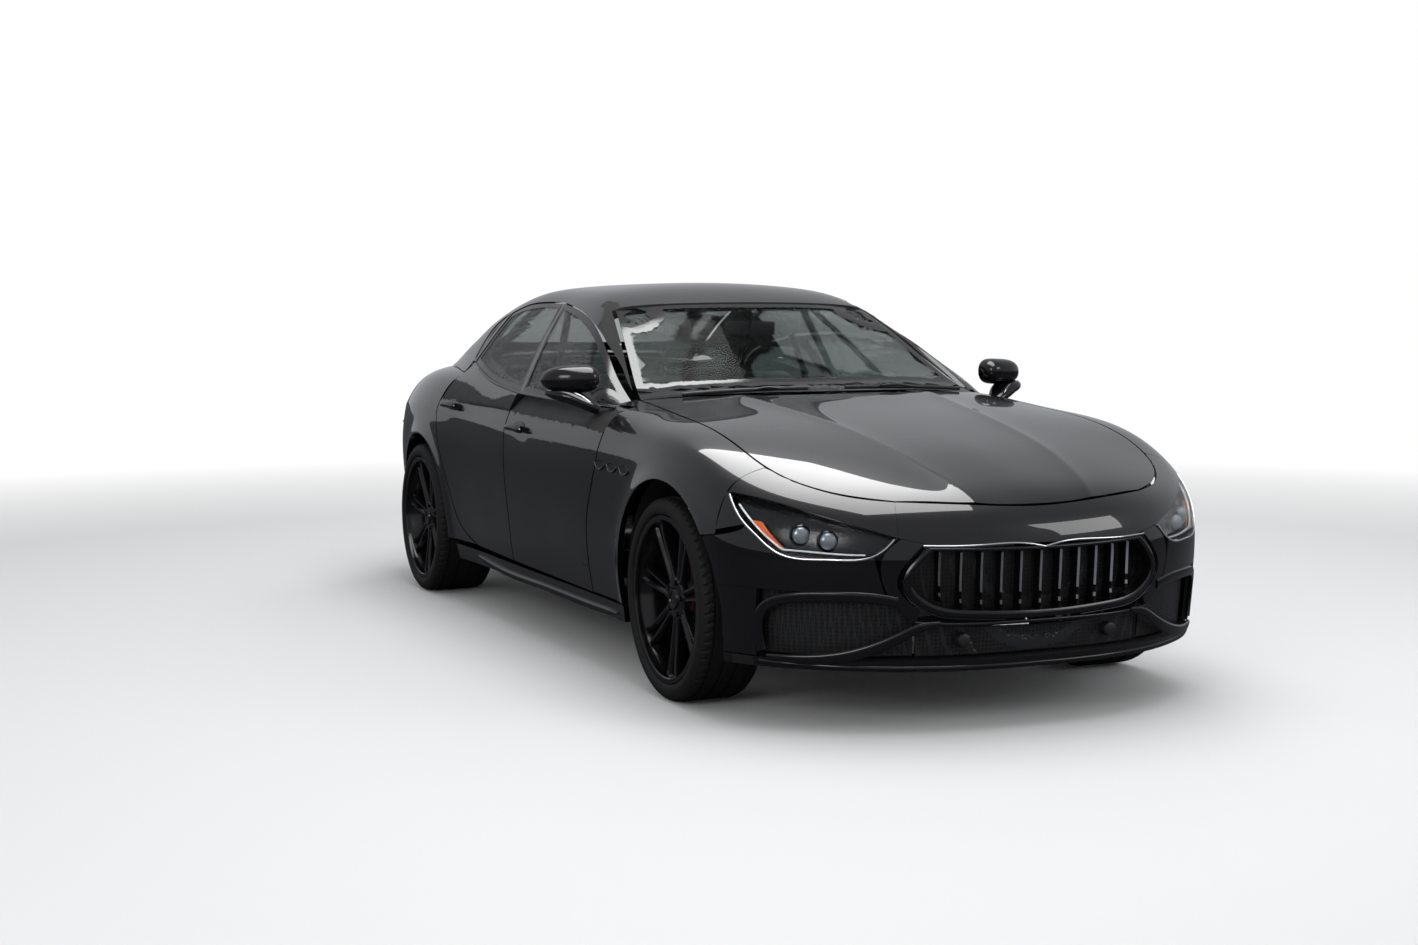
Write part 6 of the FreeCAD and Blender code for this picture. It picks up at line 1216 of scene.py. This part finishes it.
def mirror_ring(t, back=.026):
    """One section of a mirror's cap, from its inner end (0) to its outer one (1)."""
    turn = np.linspace(0, 2 * math.pi, 44, endpoint=False)
    c, s = np.cos(turn), np.sin(turn)
    size = (1 - abs(2 * t - 1) ** (4.5 if t < .5 else 2.8)) ** .5
    front = .082 * size ** .8 * (1 - .3 * t)
    x = np.where(c > 0, front * np.abs(c) ** .85, -back * np.abs(c) ** .35 * size ** .5)
    z = np.sign(s) * np.abs(s) ** .74 * MIRROR_HALF * size * (1 - .1 * t)
    y = MIRROR_INNER + (MIRROR_OUTER - MIRROR_INNER) * t
    return np.stack([x + .684 - .05 * t ** 2, np.full(44, y), z + MIRROR_MIDDLE - .006 * t], 1)


def nose_pair(place):
    """A place on the skin as an angle about the nose's heart and a share of the height."""
    return math.degrees(math.atan2(place[1], place[0] - NOSE_HEART)), place[2] / HEIGHT


LAMP_CORNER, STRIP_END = (52.6, .519), (46, .508)
FENDER_END = 1.9698
FENDER_TIP_HOOD = ((2.075, .706), (2.04, .7245), (2, .737), (FENDER_END, .75))
FENDER_TIP_REAR = ((FENDER_END, .75), (FENDER_END, .79), (FENDER_END, .83))
CHEEK_CORNER, CHEEK_LAMP = .637, (48.1, .4535)


def skinned(parts, grid, flip, depth=.003):
    """A slab of skin with the flank's creases, on either side."""
    flat = grid.reshape(-1, 3)
    grid = grid + (unit(gradient(body_field, flat)) * flank_detail(flat)[:, None]).reshape(grid.shape)
    slab(parts, grid * flip, sunk(grid, depth) * flip)
    return parts


def tail(angle, z):
    """Points on the tail skin from angles and heights."""
    angle, z = np.broadcast_arrays(np.asarray(angle, float), np.asarray(z, float))
    return tail_point(angle.ravel(), z.ravel()).reshape(angle.shape + (3,))


def tail_edge(places):
    """An edge on the tail through places on the skin."""
    return through([(math.degrees(math.atan2(p[1], TAIL_HEART - p[0])), p[2]) for p in places], tail)


def tail_patch(low, high, counts):
    """A grid of tail skin between two edges, with straight ends."""
    return patch(tail, low, high, *straight_ends(low, high), counts)


QUARTER_END = ((-2.082, .738), (-2.118, .847), (-2.144, .931))
LID_SIDE, LID_ENDS = .654, (-2.275, -2.25, -2.2, -2.146)
LAMP_SIDE = ((46.1, .7505), (42.8, .928))
BELT_FOOT = Curve([(-1.75, 1.068), (-1.55, 1.077), (-1.35, 1.072), (-1.15, 1.058)])

for name, side in SIDES:
    flip = np.array([1, side, 1])
    door = f"front_door_{name}"
    high = edge_of([nose_pair(top_point(np.array([x]), np.array([y]))[0]) for x, y in FENDER_TIP_HOOD])
    low = edge_of((STRIP_END, (49.3, .5145), LAMP_CORNER))
    rear = edge_of([LAMP_CORNER] + [nose_pair(top_point(np.array([x]), np.array([y]))[0])
                                    for x, y in reversed(FENDER_TIP_REAR)])
    grid = nose_patch(low, high, (26, 20), end=rear)
    tip = skinned(Parts(), grid, flip)
    corner = nose_pair(side_point(np.array([FENDER_END]), np.array([CHEEK_CORNER]))[0])
    low = edge_of((corner, CHEEK_LAMP))
    beside = side_point(np.array([FENDER_END]), np.array([LAMP_CORNER[1] * HEIGHT - .004]))[0]
    high = edge_of((nose_pair(beside), LAMP_CORNER))
    grid = nose_patch(low, high, (16, 20), end=edge_of((CHEEK_LAMP, (50.2, .4855), LAMP_CORNER)))
    skinned(tip, grid, flip)
    tip.make(f"fender-tip-{name}", paint, "body", "front_fenders", "paint", sharp=40)

    filler = Parts()
    ends = [side_point(np.array([x]), np.array([z]))[0] for x, z in QUARTER_END]
    lamp_line = through(LAMP_SIDE, tail)
    quarter_line = tail_edge(ends)
    skinned(filler, tail_patch(lamp_line, quarter_line, (14, 6)), flip)
    shoulder = [side_point(np.array([QUARTER_END[-1][0]]), np.array([z]))[0] for z in (.931, .975)]
    shoulder += [top_point(np.array([QUARTER_END[-1][0]]), np.array([y]))[0] for y in (.7, LID_SIDE)]
    lid = [tail(33.6, .931)] + [top_point(np.array([x]), np.array([LID_SIDE]))[0] for x in LID_ENDS]
    skinned(filler, tail_patch(tail_edge(lid), tail_edge(shoulder), (24, 18)), flip)
    filler.make(f"tail-corner-{name}", paint, "body", "quarter_panels", "paint", sharp=40)
    foot_fill = Parts()
    x, share = np.meshgrid(np.linspace(-1.7, -1.13, 30), np.linspace(.003, .11, 12))
    grid = flank_points(x, BELT_FOOT(x) + share, skin_field)
    slab(foot_fill, sunk(grid, .0025, skin_field) * flip, sunk(grid, .005, skin_field) * flip)
    foot_fill.make(f"pillar-foot-{name}", paint, "body", "quarter_panels", "paint", sharp=40)
    guides = Parts()
    for z, start, end in ((.905, 35, 41.6), (.775, 33.5, 44.4)):
        spots = tail(np.linspace(start, end, 24), np.full(24, z))
        tube(guides, (spots + unit(gradient(body_field, spots)) * .0015) * flip, .0042)
    guides.make(f"tail-light-guides-{name}", red_guide, "body", "tail_lights", "lamp", sharp=60)

    cap, base, line, plate = Parts(), Parts(), Parts(), Parts()
    cap.loft(np.array([mirror_ring(t) for t in .5 - .4985 * np.cos(np.linspace(0, math.pi, 30))]) * flip)
    cap.make(f"mirror-cap-{name}", gloss_black, door, f"mirror_{name}", "paint", sharp=40)
    foot = side_point(np.array([.752]), np.array([.966]))[0]
    spots = curve_points([foot + [0, .001, 0], foot + [-.008, .03, .016], (.712, .95, 1.01),
                          (.676, 1.01, 1.024), (.652, 1.042, 1.03)], 30)
    widths = Curve([(0, .8), (.3, 1), (.75, .95), (1, .35)])(np.linspace(0, 1, 30))
    sweep(base, spots * flip, round_profile(.1, .05, 20, 2.4), (0, 0, 1), widths)
    base.make(f"mirror-arm-{name}", gloss_black, door, f"mirror_{name}", "paint", sharp=60)
    tube(line, curve_points([foot + [.026, .04, .03], (.75, .95, 1.026), (.71, 1.01, 1.036),
                             (.668, 1.045, 1.041)], 30)
         * flip, .0022)
    line.make(f"mirror-line-{name}", chrome, door, f"mirror_{name}", "paint", sharp=60)
    turn = np.linspace(0, 2 * math.pi, 48, endpoint=False)
    across = .952 + np.sign(np.cos(turn)) * np.abs(np.cos(turn)) ** .6 * .088
    upward = MIRROR_MIDDLE - .003 + np.sign(np.sin(turn)) * np.abs(np.sin(turn)) ** .7 * .043
    behind = .684 - .0268 - .05 * np.clip((across - MIRROR_INNER) / (MIRROR_OUTER - MIRROR_INNER), 0, 1) ** 2
    plate.loft(np.stack([np.stack([behind - d, across, upward], 1) for d in (.002, -.002)]) * flip)
    plate.make(f"mirror-glass-{name}", mirror_silver, door, f"mirror_{name}", "glass", sharp=40)

    for end, x, z in (("front", -.02, .8545), ("rear", -.975, .907)):
        body, node = f"{end}_door_{name}", f"door_{end}_{name}"
        pod, cup = Parts(), Parts()
        moulding(pod, [(x + .098, z - .006), (x + .04, z - .001), (x - .04, z), (x - .098, z - .003)], .03,
                 .026, side, .026, count=40, taper=pod_taper)
        for dx in (.07, -.07):
            moulding(pod, [(x + dx + .012, z), (x + dx, z), (x + dx - .012, z)], .024, .034, side, .012,
                     count=10)
        moulding(cup, [(x + .084, z + .003), (x, z + .006), (x - .084, z + .004)], .052, .005, side, .0012,
                 count=30, taper=pod_taper)
        pod.make(f"handle-{end}-{name}", gloss_black, body, node, "paint", sharp=50)
        cup.make(f"handle-cup-{end}-{name}", gloss_black, body, node, "paint", sharp=50)

    for index, (x, z) in enumerate(((1.212, .774), (1.082, .7755), (.955, .777))):
        vent, lip = Parts(), Parts()
        t = np.linspace(0, 1, 20)
        low = through([(x + .048, z - .004), (x + .012, z - .017), (x - .03, z - .014), (x - .052, z + .006)])
        high = through([(x + .048, z - .004), (x + .018, z + .013), (x - .02, z + .014),
                        (x - .052, z + .006)])
        u, v = np.meshgrid(t, np.linspace(0, 1, 6))
        places = low(u) * (1 - v[..., None]) + high(u) * v[..., None]
        grid = flank_points(places[..., 0], places[..., 1])
        depth = -.0045 * np.sin(math.pi * v) * np.sin(math.pi * u)
        rise = unit(gradient(body_field, grid.reshape(-1, 3))).reshape(grid.shape)
        slab(vent, (grid + rise * (.003 + depth)[..., None]) * flip, (grid - rise * .006) * flip)
        vent.make(f"fender-vent-{index + 1}-{name}", satin_black, "body", "front_fenders", "trim", sharp=40)
        rim_line = [(x + .049, z - .004), (x + .012, z - .0175), (x - .03, z - .0145), (x - .052, z + .005)]
        moulding(lip, rim_line, .0055, .006, side, .003, count=24)
        lip.make(f"fender-vent-lip-{index + 1}-{name}", dark_chrome, "body", "front_fenders", "trim",
                 sharp=60)

    trim = Parts()
    moulding(trim, belt(FRONT_BELT[1:], .006), .012, .007, side, .0025, skin_field, 50)
    trim.make(f"belt-trim-front-{name}", gloss_black, door, f"door_front_{name}", "trim", sharp=50)
    trim = Parts()
    moulding(trim, belt(REAR_BELT[:-1], .006), .012, .007, side, .0025, skin_field, 50)
    trim.make(f"belt-trim-rear-{name}", gloss_black, f"rear_door_{name}", f"door_rear_{name}", "trim",
              sharp=50)
    post = Parts()
    moulding(post, belt(POST_LINE), .004, .004, side, -.0022, house_field, 40)
    post.make(f"window-post-line-{name}", dark_chrome, f"rear_door_{name}", f"door_glass_rear_{name}", "trim",
              sharp=50)

    skirt = Parts()
    moulding(skirt, [(1.045, .232), (.9, .226), (.2, .224), (-.5, .232), (-.68, .25)], .03, .024, side, .002,
             count=60, taper=lambda t: np.clip(1 - np.abs(2 * t - 1) ** 14, .2, 1))
    skirt.make(f"sill-blade-{name}", gloss_black, "body", "sills", "paint", sharp=50)

# Screens, wipers and cowl
def screen_points(x, y, lift):
    """Points over the windscreen and cowl, lifted off the skin."""
    flat = top_point(np.asarray(x, float), np.asarray(y, float), skin_field)
    return flat + unit(gradient(skin_field, flat)) * lift


refinish("cowl", satin_black)
for index, (y0, y1) in enumerate(((-.6, -.1), (.06, .6))):
    wiper = Parts()
    y = np.linspace(y0, y1, 24)
    x = .985 - .16 * np.abs(y) ** 2.2
    blade = screen_points(x, y, .012)
    sweep(wiper, blade, round_profile(.012, .016, 10), (0, 0, 1))
    elbow = screen_points(np.array([x[16] + .03]), np.array([y[16] - .12 + .24 * (index == 0) - .1]), .018)[0]
    arm = curve_points([blade[13], (blade[13] + elbow) / 2 + [0, 0, .006], elbow], 14)
    sweep(wiper, arm, round_profile(.014, .01, 10), (0, 0, 1))
    wiper.make(f"wiper-{index + 1}", satin_black, "body", "cowl", "trim", sharp=60)

# Tail: lamps, exhaust and underside
CALIPER_AHEAD, CALIPER_INNER, CALIPER_RADIUS = .06, .7, .118
dress("tail_lights", body_field, red_lens, BUMPER_EDGE, other=lamp_black)
refinish("exhaust", steel)
refinish("engine", engine_cover)
for node in ("underbody", "trunk_tub"):
    refinish(node, underseal)
refinish("wheel_houses", liner_felt)
refinish("body_frame", satin_black)
refinish("front_suspension", cast)


def in_caliper(axle):
    """Picks the places of a brake caliper: ahead of its axle, outside the hub and near the wheel."""
    return lambda p: ((p[:, 0] - axle > CALIPER_AHEAD) & (np.abs(p[:, 1]) > CALIPER_INNER)
                      & (np.hypot(p[:, 0] - axle, p[:, 2] - WHEEL_Z) > CALIPER_RADIUS))


refinish("rear_suspension", cast, red_caliper, in_caliper(REAR_AXLE))
for name, side in SIDES:
    refinish(f"knuckle_front_{name}", cast, red_caliper,
             lambda p: (p[:, 0] - FRONT_AXLE > CALIPER_AHEAD)
             & (np.hypot(p[:, 0] - FRONT_AXLE, p[:, 2] - WHEEL_Z) > CALIPER_RADIUS))

# Cabin: seats, dashboard and wheel
refinish("dashboard", soft_trim)


def pad(size, channels=0, bolster=0., count=(30, 36)):
    """A stuffed pad about its own middle, with stitched channels and raised sides."""
    length, width, height = size
    rings = []
    for u in np.linspace(-1, 1, count[0]):
        end = (1 - min(abs(u), .999) ** 5) ** .2
        turn = np.linspace(0, 2 * math.pi, count[1], endpoint=False)
        c, s = np.cos(turn), np.sin(turn)
        y = np.sign(c) * np.abs(c) ** .42
        z = np.sign(s) * np.abs(s) ** .5
        groove = 0
        if channels and abs(u) < .82:
            beat = np.abs((u + 1) / 2 * channels % 1 - .5) * 2
            groove = .011 * math.exp(-((1 - beat) / .16) ** 2)
        lift = bolster * np.abs(y) ** 6 - groove * (np.abs(y) < .72)
        rings.append(np.stack([np.full(count[1], u * length / 2 * (.999 if abs(u) < 1 else 1)),
                               y * end * width / 2,
                               z * end * height / 2 + np.where(s > 0, lift * end, 0)], 1))
    return np.array(rings)


def placed(rings, centre, turn=0.):
    """Rings turned about the car's width and moved to a place."""
    c, s = math.cos(turn), math.sin(turn)
    x, y, z = rings[..., 0], rings[..., 1], rings[..., 2]
    return np.stack([x * c + z * s + centre[0], y + centre[1], -x * s + z * c + centre[2]], -1)


def seat_pads(prefix, node, middle_y, x, width, rake, heads):
    """Makes a seat's cushion, backrest and headrests, leant back by a rake in degrees."""
    upright = -(math.pi / 2 - math.radians(rake))
    s, c = math.sin(math.radians(rake)), math.cos(math.radians(rake))
    back_middle = np.array([x - .03 - .29 * s, middle_y, .345 + .29 * c])
    back_middle += np.array([.075 * c, 0, .075 * s])
    shapes = [("cushion", placed(pad((.5, width, .15), 5, .02), (x + .25, middle_y, .385)), .8),
              ("backrest", placed(pad((.57, width * .97, .13), 6, .018), back_middle, upright), .75)]
    for k, y in enumerate(heads):
        head = back_middle + [-.37 * s * .95, y - middle_y, .37 * c * .95]
        shapes.append((f"headrest-{k + 1}", placed(pad((.17, .25, .09), 0, 0), head, upright), .8))
    for part, rings, fill in shapes:
        piece = Parts().loft(rings)
        obj = piece.make(f"{prefix}-{part}", leather, "body", node, "seat", sharp=70)


for name, side in SIDES:
    seat_pads(f"seat-{name}", "front_seats", side * .385, -.23, .5, 20, [side * .385])
    plinth = Parts()
    block(plinth, (-.17, side * .385 - .17, .29), (.2, side * .385 + .17, .33))
    plinth.make(f"seat-base-{name}", satin_black, "body", "front_seats", "seat", bevel=.01)
seat_pads("rear-seat", "rear_seat", 0, -.83, 1.06, 20, [-.35, .35])

RAKE = math.radians(24)
WHEEL_CENTRE, WHEEL_RADIUS = np.array([.5, .375, .905]), .186
side_way = np.array([0, 1., 0])
wheel_axis = np.array([-math.cos(RAKE), 0, math.sin(RAKE)])
wheel_up = np.array([math.sin(RAKE), 0, math.cos(RAKE)])
turn = np.linspace(0, 2 * math.pi, 64, endpoint=False)
rim_path = WHEEL_CENTRE + WHEEL_RADIUS * (np.cos(turn)[:, None] * side_way + np.sin(turn)[:, None] * wheel_up)
wheel = Parts()
profile = round_profile(.03, .028, 12)
outward = unit(rim_path - WHEEL_CENTRE)
rings = rim_path[:, None] + outward[:, None] * profile[None, :, :1] + wheel_axis * profile[None, :, 1:]
wheel.loft(np.concatenate([rings, rings[:1]]), True, False)
for angle in (0, 180, 270):
    way = math.cos(math.radians(angle)) * side_way + math.sin(math.radians(angle)) * wheel_up
    spots = [WHEEL_CENTRE + way * d - wheel_axis * e
             for d, e in ((.03, .012), (.09, .012), (.15, .008), (.18, 0))]
    sweep(wheel, curve_points(spots, 12), round_profile(.034, .014, 10), wheel_axis)
boss = [(.0006, .014), (.04, .012), (.056, .004), (.06, -.02), (.0006, -.03)]
wheel.lathe(boss, 36, turned_about(WHEEL_CENTRE, wheel_axis, side_way, wheel_up))
wheel.make("steering-wheel-leather", leather, "steering_wheel", "steering_wheel", "cabin", sharp=50)

fittings = Parts()
block(fittings, (.582, .22, .955), (.61, .53, 1.0))
block(fittings, (.572, -.11, .86), (.59, .11, 1.01))
fittings.make("dash-screens", gloss_black, "body", "dashboard", "cabin", bevel=.006)
inner_mirror = Parts()
sweep(inner_mirror, curve_points([(.235, -.115, 1.262), (.228, 0, 1.266), (.235, .115, 1.262)], 20),
      round_profile(.016, .058, 14, 3), (0, 0, 1))
tube(inner_mirror, curve_points([(.24, 0, 1.27), (.262, 0, 1.3), (.28, 0, 1.318)], 8), .006, (0, 1, 0))
inner_mirror.make("inner-mirror", satin_black, "body", "dashboard", "cabin", sharp=50)

# Camera, lights and floor

CAMERA_PLACE = Vector((7.793, -3.502, 1.35))
CAMERA_YAW, CAMERA_PITCH, CAMERA_ROLL = (math.radians(a) for a in (156.311, -4.75, -.196))
PHOTO_WIDTH, FOCAL_PIXELS, SENSOR = 1418, 1982.8, 36


def aimed(place, yaw, pitch, roll):
    """A camera's matrix from its place and three angles."""
    ahead = Vector((math.cos(pitch) * math.cos(yaw), math.cos(pitch) * math.sin(yaw), math.sin(pitch)))
    right = ahead.cross(Vector((0, 0, 1))).normalized()
    rise = right.cross(ahead)
    across = right * math.cos(roll) + rise * math.sin(roll)
    upward = rise * math.cos(roll) - right * math.sin(roll)
    turn = Matrix((across, upward, -ahead)).transposed().to_4x4()
    return Matrix.Translation(place) @ turn


camera_data = bpy.data.cameras.new("camera")
camera_data.sensor_width = SENSOR
camera_data.lens = FOCAL_PIXELS / PHOTO_WIDTH * SENSOR
camera_data.clip_end = 100
camera = bpy.data.objects.new("camera", camera_data)
camera.matrix_world = aimed(CAMERA_PLACE, CAMERA_YAW, CAMERA_PITCH, CAMERA_ROLL)
bpy.context.scene.collection.objects.link(camera)
bpy.context.scene.camera = camera


def soft_light(name, place, target, width, depth, watts, lights=True, reflects=True):
    """A rectangular lamp aimed at a target, which may light the car, show in its gloss, or both."""
    data = bpy.data.lights.new(name, "AREA")
    data.shape = "RECTANGLE"
    data.size, data.size_y, data.energy = width, depth, watts
    lamp = bpy.data.objects.new(name, data)
    lamp.location = place
    lamp.visible_diffuse, lamp.visible_glossy = lights, reflects
    lamp.rotation_euler = (Vector(target) - Vector(place)).to_track_quat("-Z", "Y").to_euler()
    bpy.context.scene.collection.objects.link(lamp)


soft_light("overhead", (.9, 0, 5.2), (.9, 0, 0), 6.2, 3.2, 150, reflects=False)
soft_light("ceiling-panel", (.9, 0, 5.21), (.9, 0, 0), 6.2, 3.2, 430, lights=False)
soft_light("front-left", (7, 5.5, 3.6), (1, 0, .6), 3.4, 2.2, 100)
soft_light("front-right", (6.5, -6.5, 3.4), (1, 0, .6), 3.4, 2.2, 130)
soft_light("rear", (-6, 4, 5.5), (-1, 0, .7), 3.2, 2.2, 110, reflects=False)

world = bpy.data.worlds.new("studio")
bpy.context.scene.world = world
world.use_nodes = True
tree = world.node_tree
background = tree.nodes["Background"]
background.inputs["Color"].default_value = linear("ffffff")
background.inputs["Strength"].default_value = .62
backdrop = tree.nodes.new("ShaderNodeBackground")
backdrop.inputs["Color"].default_value = linear("ffffff")
backdrop.inputs["Strength"].default_value = 1
walls = tree.nodes.new("ShaderNodeBackground")
walls.inputs["Color"].default_value = linear("e4e6ea")
walls.inputs["Strength"].default_value = .58
rays = tree.nodes.new("ShaderNodeLightPath")
seen = background
for ray, shown in (("Is Glossy Ray", walls), ("Is Camera Ray", backdrop)):
    mix = tree.nodes.new("ShaderNodeMixShader")
    tree.links.new(rays.outputs[ray], mix.inputs[0])
    tree.links.new(seen.outputs[0], mix.inputs[1])
    tree.links.new(shown.outputs[0], mix.inputs[2])
    seen = mix
tree.links.new(seen.outputs[0], tree.nodes["World Output"].inputs["Surface"])

FLOOR_HALF = 80
floor_corners = [(a * FLOOR_HALF, b * FLOOR_HALF, 0) for a, b in ((-1, -1), (1, -1), (1, 1), (-1, 1))]
floor = mesh_object("floor", floor_corners, [(0, 1, 2, 3)])
pale = material("pale-floor", "e4e5e6", Roughness=.7)
place = add(pale, "TexCoord")
away = add(pale, "VectorMath", [(place, "Object", "Vector")], operation="LENGTH")
far = add(pale, "MapRange", [(away, "Value", "Value")], From_Min=5, From_Max=9.5)
dim = add(pale, "BsdfDiffuse", Color=linear("55565a"))
white = add(pale, "Emission", Color=linear("ffffff"), Strength=1)
light_path = add(pale, "LightPath")
near_floor = add(pale, "MixShader", [(light_path, "Is Glossy Ray", "Fac")])
pale.node_tree.links.new(pale.node_tree.nodes["Principled BSDF"].outputs[0], near_floor.inputs[1])
pale.node_tree.links.new(dim.outputs[0], near_floor.inputs[2])
seen_far = add(pale, "Math", [(far, "Result", 0), (light_path, "Is Camera Ray", 1)], operation="MULTIPLY")
whole = add(pale, "MixShader", [(seen_far, "Value", "Fac")])
pale.node_tree.links.new(near_floor.outputs[0], whole.inputs[1])
pale.node_tree.links.new(white.outputs[0], whole.inputs[2])
pale.node_tree.links.new(whole.outputs[0], pale.node_tree.nodes["Material Output"].inputs["Surface"])
floor.data.materials.append(pale)
floor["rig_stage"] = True
scene = bpy.context.scene
scene.view_settings.view_transform = "Standard"

low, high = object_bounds()
